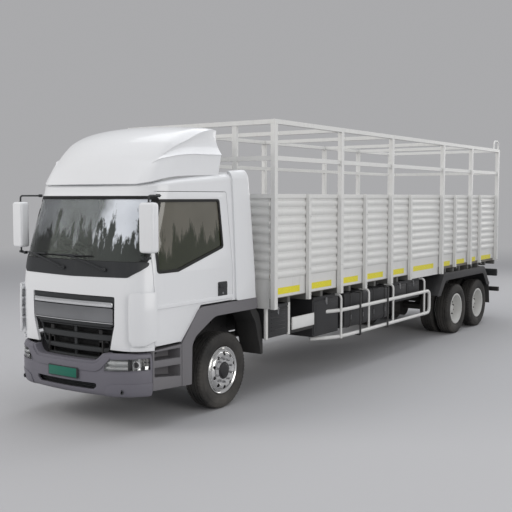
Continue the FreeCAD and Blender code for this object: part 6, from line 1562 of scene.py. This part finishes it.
def cushion(name, low, high, material, channels=(), crown=0.014, voxel=0.01):
    """A stitched pad: a crowned block blown up as cloth, with channels pressed in."""
    low, high = Vector(low) + Vector([0.006] * 3), Vector(high) - Vector([0.006] * 3)
    size, middle = high - low, (low + high) / 2
    pad = build(name, *block(low, high), material)
    whole = bmesh.new()
    whole.from_mesh(pad.data)
    bmesh.ops.subdivide_edges(whole, edges=whole.edges[:], cuts=9, use_grid_fill=True)
    thin = min(range(3), key=lambda k: size[k])
    flat = [k for k in range(3) if k != thin]
    for vertex in whole.verts:
        place = [(vertex.co[k] - middle[k]) / (size[k] / 2) for k in range(3)]
        rise = (1 - place[flat[0]] ** 4) * (1 - place[flat[1]] ** 4)
        vertex.co[thin] += place[thin] * crown * (rise - 1)
        for k in flat:
            if abs(place[k]) > 0.99:
                vertex.co[k] -= place[k] * 0.012 * abs(place[flat[1 - flat.index(k)]]) ** 3
    whole.to_mesh(pad.data)
    whole.free()
    bevel = pad.modifiers.new("edges", "BEVEL")
    bevel.width, bevel.segments, bevel.limit_method, bevel.angle_limit = 0.022, 3, "ANGLE", 0.8
    mesh_again = pad.modifiers.new("even", "REMESH")
    mesh_again.mode, mesh_again.voxel_size = "VOXEL", voxel
    settle(pad)
    puffed(pad)
    rounder = pad.modifiers.new("smooth", "SUBSURF")
    rounder.levels = rounder.render_levels = 1
    settle(pad)
    for vertex in pad.data.vertices:
        deep = 0
        for k, place in channels:
            deep = max(deep, math.exp(-((vertex.co[k] - place) / SEAM_HALF) ** 2))
        share = (vertex.co[thin] - middle[thin]) / (size[thin] / 2)
        if abs(share) > 0.35:
            vertex.co[thin] -= math.copysign(SEAM_DEPTH * deep, share)
    for polygon in pad.data.polygons:
        polygon.use_smooth = True
    return pad


seat_fabric = fabric_material("seat_fabric", FABRIC_COLOUR)
dash_plastic = finish("dash_plastic", DASH_COLOUR, 0.6, dust=0.0, bump=0.25, grain=900.0)
liner = cab_skin("cab_liner", -SKIN_GAUGE - 0.003, 0.01, cab_liner)
liner_cuts = [prism("opening", outline, "Y", front_far, axle + end) for outline,
    end in ((rounded(SCREEN, 0.07), -0.9), (oblong(-1.2, 0.5, 1.2, 1.7), -1.1),
    (oblong(-1.2, 0.5, 1.2, 1.402), 1.0))]
liner_cuts += [prism("door_hole", DOOR_SIDE, "X", side * 0.85, side * far) for side in (1, -1)]
keep(cut(liner, liner_cuts), "cab", "white_paint")
frames = []
for side, name in SIDES:
    x = side * SEAT_PLACE
    x0, x1, y0 = x - CUSHION_WIDE / 2, x + CUSHION_WIDE / 2, axle + SEAT_FRONT
    y1 = y0 + CUSHION_DEPTH
    hinge = (0, y1 - 0.07, 1.8)
    seat = cushion("seat_pad_" + name, (x0, y0, 1.655), (x1, y1 - 0.03, 1.795), seat_fabric,
        [(0, x - 0.15), (0, x + 0.15), (1, y0 + 0.16), (1, y0 + 0.32)])
    back = cushion("seat_back_" + name, (x0 + 0.01, y1 - 0.13, 1.79), (x1 - 0.01, y1 - 0.01, 2.175),
        seat_fabric, [(0, x - 0.14), (0, x + 0.14), (2, 1.92), (2, 2.05)])
    head = cushion("seat_head_" + name, (x0 + 0.1, y1 - 0.115, 2.195), (x1 - 0.1, y1 - 0.02, BACK_TOP),
        seat_fabric, (), 0.01)
    for pad in (seat, back, head):
        if pad is not seat:
            turned(pad, hinge, -BACK_LEAN, "X")
        keep(pad, "cab", "seat_fabric")
    frames.append(brick("box", (x0 + 0.05, y0 + 0.1, FLOOR_TOP), (x1 - 0.05, y1 - 0.05, 1.668),
        dash_plastic, 0.02, 3))
    for stay in about(x, 0.07):
        route = [(stay, y1 - 0.066, 2.1), (stay, y1 - 0.066, 2.25)]
        frames.append(turned(tube("stay", route, 0.006, nut_steel, 0.001), hinge, -BACK_LEAN, "X"))
bunk = cushion("bunk_pad", (-0.975, axle + 0.02, 1.65), (0.975, axle + 0.485, 1.745), seat_fabric,
    [(0, x) for x in (-0.6, -0.2, 0.2, 0.6)], 0.012, 0.014)
keep(bunk, "cab", "seat_fabric")
frames.append(brick("bunk_box", (-0.975, axle + 0.03, FLOOR_TOP), (0.975, axle + 0.5, 1.66),
    dash_plastic, 0.01, 2))
keep(merge("seat_frames", frames), "cab", "seat_fabric", "seats")

dash_form = prism("dash", rounded(DASH, 0.04), "X", -0.985, 0.985, dash_plastic)
room = prism("room", [(x, y) for x, y, z in cab_rings(SKIN_GAUGE + 0.018)[4]], "Z", 1.3, 2.2)
cut(dash_form, [room], "INTERSECT")
soften(dash_form, 0.012, 3)
hood = prism("hood", rounded(from_axle((-1.36, 1.86), (-1.12, 1.8), (-1.14, 1.955), (-1.33, 1.945)),
    0.03), "X", -0.78, -0.34, dash_plastic)
soften(hood, 0.02, 4)
dash_bits = [dash_form, hood]
for x in VENT_PLACES:
    dash_bits.append(side_brick(1, "vent", about(x, 0.05), (-1.155, -1.115), (1.76, 1.8), rubber_seal,
        0.006))
keep(merge("dash_moulding", dash_bits), "cab", "dark_plastic", "dashboard")
grip = [(x, y, 0) for x, y in arc((0, 0), WHEEL_RADIUS, 0, 360, 48)]
x, y, z = WHEEL_PLACE
wheel = [tube("grip", grip, WHEEL_GRIP, dash_plastic, 0.001, 12, 1),
    tube("column", [(0, 0, -0.02), (0, 0, -0.33)], 0.032, dash_plastic, 0.01, 16)]
for end_x, end_y in arc((0, 0), 0.22, 90, 330, 2):
    wheel.append(tube("spoke", [(0, 0, -0.012), (end_x, end_y, 0)], 0.013, dash_plastic, 0.01, 8))
wheel.append(brick("boss", (-0.07, -0.055, -0.02), (0.07, 0.055, 0.018), dash_plastic, 0.02, 4))
for piece in wheel:
    turned(piece, (0, 0, 0), -WHEEL_TILT, "X")
    piece.data.transform(Matrix.Translation((x, axle + y, z)))
keep(merge("driver_wheel", wheel), "cab", "dark_plastic", "steering_wheel")

# The side guards
# Light steel tubes welded into a long loop a side, whose front ends curve in. Posts carry
# it from the bed, and two black straps wrap round it.
GUARD_X, GUARD_TUBE, GUARD_TOP, GUARD_LOW, GUARD_REAR = 1.215, 0.028, 0.95, 0.56, 5.87
GUARD_POSTS, POST_TUBE, BED_UNDER = (2.63, 3.52, 4.39, 5.65), 0.018, 1.212
STRAP_PLACES, STRAP_HALF, STRAP_GAUGE, STRAP_FOOT, STRAP_TOP = (3.18, 4.13), 0.024, 0.01, 0.51, 1.17

# The loop from its upper front end round to its lower one, as (outwards, from the axle, height).
GUARD_LOOP = ((1.096, 2.36, GUARD_TOP), (1.155, 2.5, GUARD_TOP), (1.2, 2.68, GUARD_TOP),
    (GUARD_X, 2.9, GUARD_TOP), (GUARD_X, GUARD_REAR, GUARD_TOP), (GUARD_X, GUARD_REAR, GUARD_LOW),
    (GUARD_X, 2.9, GUARD_LOW), (1.2, 2.68, GUARD_LOW), (1.155, 2.5, GUARD_LOW), (1.06, 2.33, GUARD_LOW),
    (0.945, 2.17, GUARD_LOW))
STRAP_OUT = GUARD_X + GUARD_TUBE + STRAP_GAUGE
STRAP_SIDES = (((STRAP_OUT - STRAP_GAUGE, STRAP_OUT), (STRAP_FOOT, STRAP_TOP)),
    ((1.02, STRAP_OUT), (STRAP_TOP - STRAP_GAUGE, STRAP_TOP)),
    ((1.13, STRAP_OUT), (STRAP_FOOT, STRAP_FOOT + STRAP_GAUGE)),
    ((1.02, 1.04), (STRAP_TOP - STRAP_GAUGE, BED_UNDER + 0.002)))


def side_tube(side, name, route, *rest):
    """A tube on one side, its route given outwards, from the front axle and upwards."""
    return tube(name, [(side * x, axle + y, z) for x, y, z in route], *rest)


for side, name in SIDES:
    bars = [side_tube(side, "loop", GUARD_LOOP, GUARD_TUBE, body_paint, 0.105, 20, 8)]
    for y in GUARD_POSTS:
        route = [(GUARD_X, y, GUARD_LOW), (GUARD_X, y, BED_UNDER - 0.03), (1.02, y, BED_UNDER - 0.03)]
        bars += [side_tube(side, "post", route, POST_TUBE, body_paint, 0.07, 16, 6),
            side_brick(side, "foot", (1.0, 1.08), about(y, 0.04),
            (BED_UNDER - 0.052, BED_UNDER + 0.002), body_paint)]
        for z, under in ((GUARD_TOP, 0.031), (GUARD_LOW, 0.026)):
            bars.append(side_tube(side, "weld", [(GUARD_X, y, z - under), (GUARD_X, y, z + 0.031)],
                POST_TUBE + 0.005, body_paint, 0.01, 12, 1))
    bars += [side_brick(side, "strap", x, about(y, STRAP_HALF), z, chassis_paint,
        0.003) for y in STRAP_PLACES for x, z in STRAP_SIDES]
    keep(merge("side_guard_" + name, bars), "root", "guard_paint")
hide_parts("side_guards")

# The boxes and tanks under the bed
# Folded black steel boxes with lids and latches, and rounded fuel tanks held by straps.
# All bolt to the rails. A blank white sign hangs between them on a bar.
BOX_OUT, BOX_DEPTH, BOX_TOP = 1.11, 0.52, 1.19
BOX_COLOUR, SIGN_COLOUR = (0.024, 0.024, 0.026, 1), (0.74, 0.74, 0.73, 1)
SIGN = (1.44, 2.01, 0.815, 0.965)
BOXES = (("air_box", 0.81, 1.35, 0.76), ("battery_box", 2.0, 2.74, 0.62),
    ("tool_box", 4.585, 5.68, 0.85))
TANKS = ((1, 2.93, 4.47), (-1, 2.0, 3.54))
TANK_LOW, TANK_ROUND, BAND_SHARES = 0.62, 0.09, (0.12, 0.38, 0.62, 0.88)
FILLER_CAP = ((0, 0.001), (0, 0.046), (0.022, 0.044), (0.03, 0.03), (0.03, 0.001))

box_paint = finish("box_paint", BOX_COLOUR, 0.42, dust=0.07, dust_top=1.0, streaks=0.03, bump=0.06,
    grain=180.0, edge=0.003)
sign_paint = finish("sign_white", SIGN_COLOUR, 0.4, dust=0.12, dust_top=1.0, bump=0.04, grain=120.0)


def latch(side, x, y, z):
    """An over-centre latch: a plate, a hinge pin and a lever that is pressed flat."""
    pin = [(x + 0.009, end, z + 0.02) for end in about(y, 0.024)]
    return [side_brick(side, "plate", (x, x + 0.004), about(y, 0.022), about(z, 0.045), nut_steel,
        0.001), side_tube(side, "pin", pin, 0.005, nut_steel, 0.001, 10, 1),
        side_brick(side, "lever", (x + 0.004, x + 0.012), about(y, 0.014), (z - 0.055, z + 0.018),
        nut_steel, 0.002)]


def steel_box(side, front, rear, low, doors):
    """A box with a hooded lid, a return round its door and latches."""
    inside, top = BOX_OUT - BOX_DEPTH, BOX_TOP
    parts = [side_brick(side, "case", (inside, BOX_OUT - 0.008), (front, rear), (low, top), box_paint,
        0.01, 3), side_brick(side, "hood", (inside, BOX_OUT + 0.006), (front - 0.006, rear + 0.006),
        (top - 0.035, top + 0.006), box_paint, 0.006)]
    width = (rear - front) / doors
    for k in range(doors):
        start, end = front + width * k + 0.02, front + width * (k + 1) - 0.02
        parts += [side_brick(side, "door", (BOX_OUT - 0.012, BOX_OUT + 0.002), (start, end),
            (low + 0.025, top - 0.055), box_paint, 0.008, 3),
            side_brick(side, "panel", (BOX_OUT, BOX_OUT + 0.006), (start + 0.05, end - 0.05),
            (low + 0.07, top - 0.105), box_paint, 0.006, 3)]
        parts += latch(side, BOX_OUT + 0.002, (start + end) / 2, top - 0.075)
    for y in (front + 0.1, rear - 0.1):
        parts += [side_brick(side, "bracket", (inside, RAIL_OUT), about(y, 0.03),
            (top - 0.16, top - 0.02), chassis_paint, 0.005),
            side_brick(side, "bearer", (inside, BOX_OUT - 0.05), about(y, 0.03),
            (low - 0.01, low + 0.004), chassis_paint, 0.003)]
    return parts


for label, front, rear, low in BOXES:
    side, name = SIDES[0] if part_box(label)[1].x > 0 else SIDES[1]
    parts = steel_box(side, front, rear, low, 2 if rear - front > 0.9 else 1)
    if label == "air_box":
        parts += [side_brick(side, "corner", (BOX_OUT - 0.03, BOX_OUT + 0.012), about(y, 0.024),
            (low - 0.01, BED_UNDER), body_paint, 0.01, 3) for y in (front, rear)]
        parts += [side_brick(side, "louvre", (BOX_OUT, BOX_OUT + 0.014), (front + 0.1, rear - 0.1),
            about(low + 0.097 + k * 0.05, 0.007), box_paint, 0.005) for k in range(6)]
    keep(merge(label + "_case_" + name, parts), "root", "chassis_paint", label)
for side, front, rear in TANKS:
    y0, y1, out = axle + front, axle + rear, side * BOX_OUT
    inside, half_way = side * (BOX_OUT - BOX_DEPTH), (y0 + y1) / 2
    outline = oblong(inside, TANK_LOW, out, BOX_TOP)
    parts = [soften(prism("tank", rounded(outline, TANK_ROUND, 8), "Y", *ends, box_paint), 0.012, 3, 35,
        50) for ends in ((y0, half_way - 0.012), (half_way + 0.012, y1))]
    seam = rounded(oblong(inside + side * 0.02, TANK_LOW + 0.02, out - side * 0.02, BOX_TOP - 0.02),
        TANK_ROUND, 6)
    parts.append(prism("join", seam, "Y", *about(half_way, 0.02), chassis_paint))
    band = rounded(grown_outline(outline, 0.005), TANK_ROUND + 0.004, 8)
    for share in BAND_SHARES:
        y = front + (rear - front) * share
        screw = [(BOX_OUT + 0.01, y, TANK_LOW + 0.13), (BOX_OUT + 0.01, y, TANK_LOW + 0.2)]
        parts += [soften(prism("band", band, "Y", *about(axle + y, 0.02), chassis_paint), 0.002, 2, 40,
            50), side_tube(side, "screw", screw, 0.006, nut_steel, 0.001, 8, 1)]
    parts += [side_brick(side, "bracket", (BOX_OUT - BOX_DEPTH, RAIL_OUT), about(y, 0.03), (0.78, 0.96),
        chassis_paint, 0.005) for y in (front + 0.16, rear - 0.16)]
    parts.append(spun("cap", FILLER_CAP, nut_steel, (side * (BOX_OUT - 0.16), y1 - 0.16,
        BOX_TOP - 0.002), -90, "Y", 32, 30))
    keep(merge("fuel_tank_" + ("left" if side > 0 else "right"), parts), "root", "chassis_paint")
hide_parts("fuel_tanks")
y0, y1, low, high = SIGN
sign = [side_brick(1, "sign", (BOX_OUT + 0.006, BOX_OUT + 0.01), (y0, y1), (low, high), sign_paint,
    0.0015), side_brick(1, "rim", (BOX_OUT - 0.004, BOX_OUT + 0.005), (y0 - 0.012, y1 + 0.012),
    (low - 0.012, high + 0.012), body_paint, 0.002)]
sign += [side_brick(1, "bar", (BOX_OUT - 0.035, BOX_OUT - 0.005), (1.34, 2.01), span,
    chassis_paint) for span in ((low - 0.06, low - 0.012), (low + 0.05, low + 0.09))]
keep(merge("side_sign", sign), "root", "white_paint")

# The rear fenders
# Dark mouldings over each rear pair, with a deep outer lip, on tubes from the rails. A
# ribbed rubber flap hangs behind them and keeps spray off the road.
FENDER_IN, FENDER_OUT, FENDER_TOP = 0.59, 1.248, 1.21
FENDER = from_axle((6.17, 0.81), (6.49, FENDER_TOP), (8.61, FENDER_TOP), (8.93, 0.81), (8.77, 0.81),
    (8.535, 1.075), (6.565, 1.075), (6.33, 0.81))
FENDER_STAYS, FLAP_RIBS, FIRST_RIB, RIB_PITCH = (6.66, 7.55, 8.44), 9, 0.68, 0.062
FENDER_CORNERS = [0.02, 0.1, 0.1, 0.02, 0.02, 0.12, 0.12, 0.02]
FENDER_ROOM = from_axle((6.15, 0.78), (6.507, 1.183), (8.593, 1.183), (8.95, 0.78), (8.77, 0.6),
    (6.33, 0.6))
FLAP = from_axle((8.905, 0.85), (8.917, 0.85), (8.977, 0.417), (8.965, 0.417))

fender_plastic = finish("fender_plastic", (0.03, 0.03, 0.032, 1), 0.55, dust=0.3, dust_top=1.25,
    bump=0.1, grain=500.0)
for side, name in SIDES:
    fender = prism("fender", rounded(FENDER, FENDER_CORNERS, 8), "X", side * FENDER_IN,
        side * FENDER_OUT, fender_plastic)
    holed(fender, FENDER_ROOM, "X", side * (FENDER_IN - 0.02), side * (FENDER_OUT - 0.012))
    parts = [soften(fender, 0.005, 3, 40, 50)]
    for y in FENDER_STAYS:
        stay = [(0.4, y, 1.15), (1.18, y, 1.15), (1.18, y, 1.205)]
        parts += [side_tube(side, "stay", stay, 0.019, chassis_paint, 0.04, 12, 4),
            side_brick(side, "bead", (0.62, 1.22), about(y, 0.06), about(FENDER_TOP, 0.006),
            fender_plastic, 0.005)]
    parts.append(soften(prism("flap", FLAP, "X", side * 0.62, side * 1.235, flap_rubber), 0.003, 2))
    for k in range(FLAP_RIBS):
        x = FIRST_RIB + k * RIB_PITCH
        parts.append(soften(prism("rib", [(y + 0.009, z) for y, z in FLAP], "X", side * x,
            side * (x + 0.02), flap_rubber), 0.002, 1))
    parts.append(side_brick(side, "clamp", (0.6, 1.24), (8.885, 8.935), (0.82, 0.862), chassis_paint,
        0.005))
    keep(merge("rear_fender_" + name, parts), "root", "black_plastic")
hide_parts("rear_fenders")

# The tail lamps
# A black housing a side on a bracket from the bed, with three round lenses screwed to it:
# stop, flasher and reversing lamp. Red reflectors stand at the corners.
LAMP_BOX = (0.79, 1.18, 0.93, 1.08, 9.545, 9.612)
RED, AMBER, WHITE_LENS = (0.42, 0.008, 0.006, 1), (0.75, 0.3, 0.06, 1), (0.72, 0.72, 0.7, 1)
LENS_PROFILE = ((-0.004, 0.001), (-0.004, 0.054), (0.006, 0.057), (0.012, 0.054), (0.02, 0.036),
    (0.024, 0.001))
LENS_RIM = ((-0.004, 0.052), (-0.004, 0.062), (0.008, 0.062), (0.01, 0.058), (0.01, 0.052))

red_lens = finish("red_lens", RED, 0.14, dust=0.06, bump=0.12, grain=160.0, Coat_Weight=0.5)
amber_lens = finish("amber_lens", AMBER, 0.15, dust=0.02, bump=0.1, grain=150.0)
white_lens = finish("white_lens", WHITE_LENS, 0.16, dust=0.06, bump=0.12, grain=160.0)
LAMP_PLACES = ((0.855, red_lens), (0.985, amber_lens), (1.115, white_lens))
x0, x1, z0, z1, y0, y1 = LAMP_BOX
for side, name in SIDES:
    parts = [side_brick(side, "housing", (x0, x1), (y0, y1), (z0, z1), dark_plastic, 0.016, 4),
        side_brick(side, "bracket", (0.52, x0 + 0.05), (y0 - 0.004, y0 + 0.008), (z0 + 0.05, z1 + 0.02),
        chassis_paint, 0.003), side_brick(side, "hanger", (0.52, 0.535), (y0 - 0.1, y0 + 0.008),
        (z0 + 0.05, BED_UNDER + 0.02), chassis_paint, 0.003)]
    for x, lens in LAMP_PLACES:
        place = (side * x, axle + y1, (z0 + z1) / 2)
        parts += [spun("lens", LENS_PROFILE, lens, place, 90, "Z", 40, 40),
            spun("rim", LENS_RIM, rubber_seal, place, 90, "Z", 40, 40)]
    keep(merge("tail_lamp_" + name, parts), "root", "red_lens")
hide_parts("tail_lamps")

# The gates' locks and hinges
# Each rear leaf is held by a round steel rod that turns in four guides, with a flat handle
# that folds into a catch. Welded hinge straps run in from its outer edge.
ROD_IN, ROD_RADIUS, ROD_OFF, HINGE_X = 0.17, 0.014, 0.024, 1.173
GUIDE_SHARES, HINGE_SHARES = (0.03, 0.33, 0.66, 0.97), (0.08, 0.36, 0.64, 0.92)

barrels = []
for side, name in SIDES:
    low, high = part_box("rear_gate_" + name)
    inner, outer = sorted((low.x, high.x), key=abs)
    x, y, tall = inner + side * ROD_IN, high.y + ROD_OFF, high.z - low.z
    parts = [tube("rod", [(x, y, low.z + 0.004), (x, y, high.z - 0.004)], ROD_RADIUS, nut_steel, 0.01,
        16, 1)]
    for share in GUIDE_SHARES:
        z = low.z + tall * share
        parts.append(brick("guide", (x - 0.026, high.y - 0.002, z - 0.016),
            (x + 0.026, y + 0.01, z + 0.016), body_paint, 0.005, 3))
    z = low.z + 0.42
    parts.append(brick("collar", (x - 0.02, y - 0.02, z - 0.025), (x + 0.02, y + 0.02, z + 0.025),
        nut_steel, 0.006, 3))
    parts.append(tube("handle", [(x, y + 0.012, z), (x + side * 0.08, y + 0.016, z),
        (x + side * 0.26, y + 0.014, z - 0.02)], 0.009, nut_steel, 0.03, 12, 4))
    parts.append(brick("catch", (x + side * 0.225, high.y - 0.002, z - 0.05),
        (x + side * 0.255, y + 0.026, z - 0.026), body_paint, 0.004, 2))
    parts.append(brick("catch", (x + side * 0.225, high.y - 0.002, z - 0.05),
        (x + side * 0.255, high.y + 0.006, z + 0.03), body_paint, 0.004, 2))
    for share in HINGE_SHARES:
        z = low.z + tall * share
        edge = outer - side * 0.01
        knuckle = (side * HINGE_X, high.y + 0.009)
        barrels.append(tube("barrel", [(*knuckle, z - 0.055), (*knuckle, z + 0.055)], 0.006, body_paint,
            0.01, 16, 1))
        parts.append(brick("strap", (edge, high.y - 0.001, z - 0.024),
            (edge - side * 0.21, high.y + 0.006, z + 0.024), body_paint, 0.003, 2))
    keep(merge("gate_lock_" + name, parts), "gate_" + name, "body_paint")
keep(merge("gate_hinges", barrels), "root", "body_paint")

# Bolts and rivets
# Dome heads in the body's white paint hold the stakes to the bed, and rivets run along the rails' webs.
# They are one small head repeated at each place.
BOLT_HEIGHTS = (1.285, 1.318, 1.64, 2.0, 2.36, 2.6)
RIVET_PITCH, RIVET_RADIUS, BOLT_RADIUS = 0.15, 0.011, 0.01


def head_tree(name, radius, rise, material):
    """Geometry Nodes that set a dome head, its back to the truck's middle, on each point."""
    tree, given, out = new_tree(name, Geometry="Geometry")
    head = add(tree, "GeometryNodeMeshUVSphere", Segments=10, Rings=6, Radius=radius)
    flat = add(tree, "GeometryNodeTransform", Scale=(rise / radius, 1, 1))
    place = add(tree, "GeometryNodeInstanceOnPoints")
    real = add(tree, "GeometryNodeRealizeInstances")
    paint = add(tree, "GeometryNodeSetMaterial", Material=material)
    join(tree, (given, 0, place, "Points"), (head, 0, flat, "Geometry"), (flat, 0, place, "Instance"),
        (place, 0, real, 0), (real, 0, paint, "Geometry"), (paint, 0, out, 0))
    return tree


def heads(name, places, tree, material):
    """A finished set of heads at some places."""
    made = build(name, places, [], material)
    made.modifiers.new("heads", "NODES").node_group = tree
    settle(made)
    made.data.shade_smooth()
    return made


bolt_heads = head_tree("bolt_heads", BOLT_RADIUS, 0.005, body_paint)
rivet_heads = head_tree("rivet_heads", RIVET_RADIUS, 0.005, chassis_paint)
post_low, post_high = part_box("posts")
places = [(side * (post_high.x + 0.0005), (front + rear) / 2, z) for front,
    rear in stakes for side in (1, -1) for z in BOLT_HEIGHTS]
keep(heads("stake_bolts", places, bolt_heads, body_paint), "root", "body_paint")
rail_low, rail_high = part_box("frame_rails")
count = int((rail_high.y - rail_low.y - 0.4) / RIVET_PITCH)
places = [(side * (rail_high.x + 0.0005), rail_low.y + 0.2 + k * RIVET_PITCH,
    z) for k in range(count) for side in (1, -1) for z in (rail_low.z + 0.07, rail_high.z - 0.07)]
keep(heads("rail_rivets", places, rivet_heads, chassis_paint), "root", "chassis_paint")
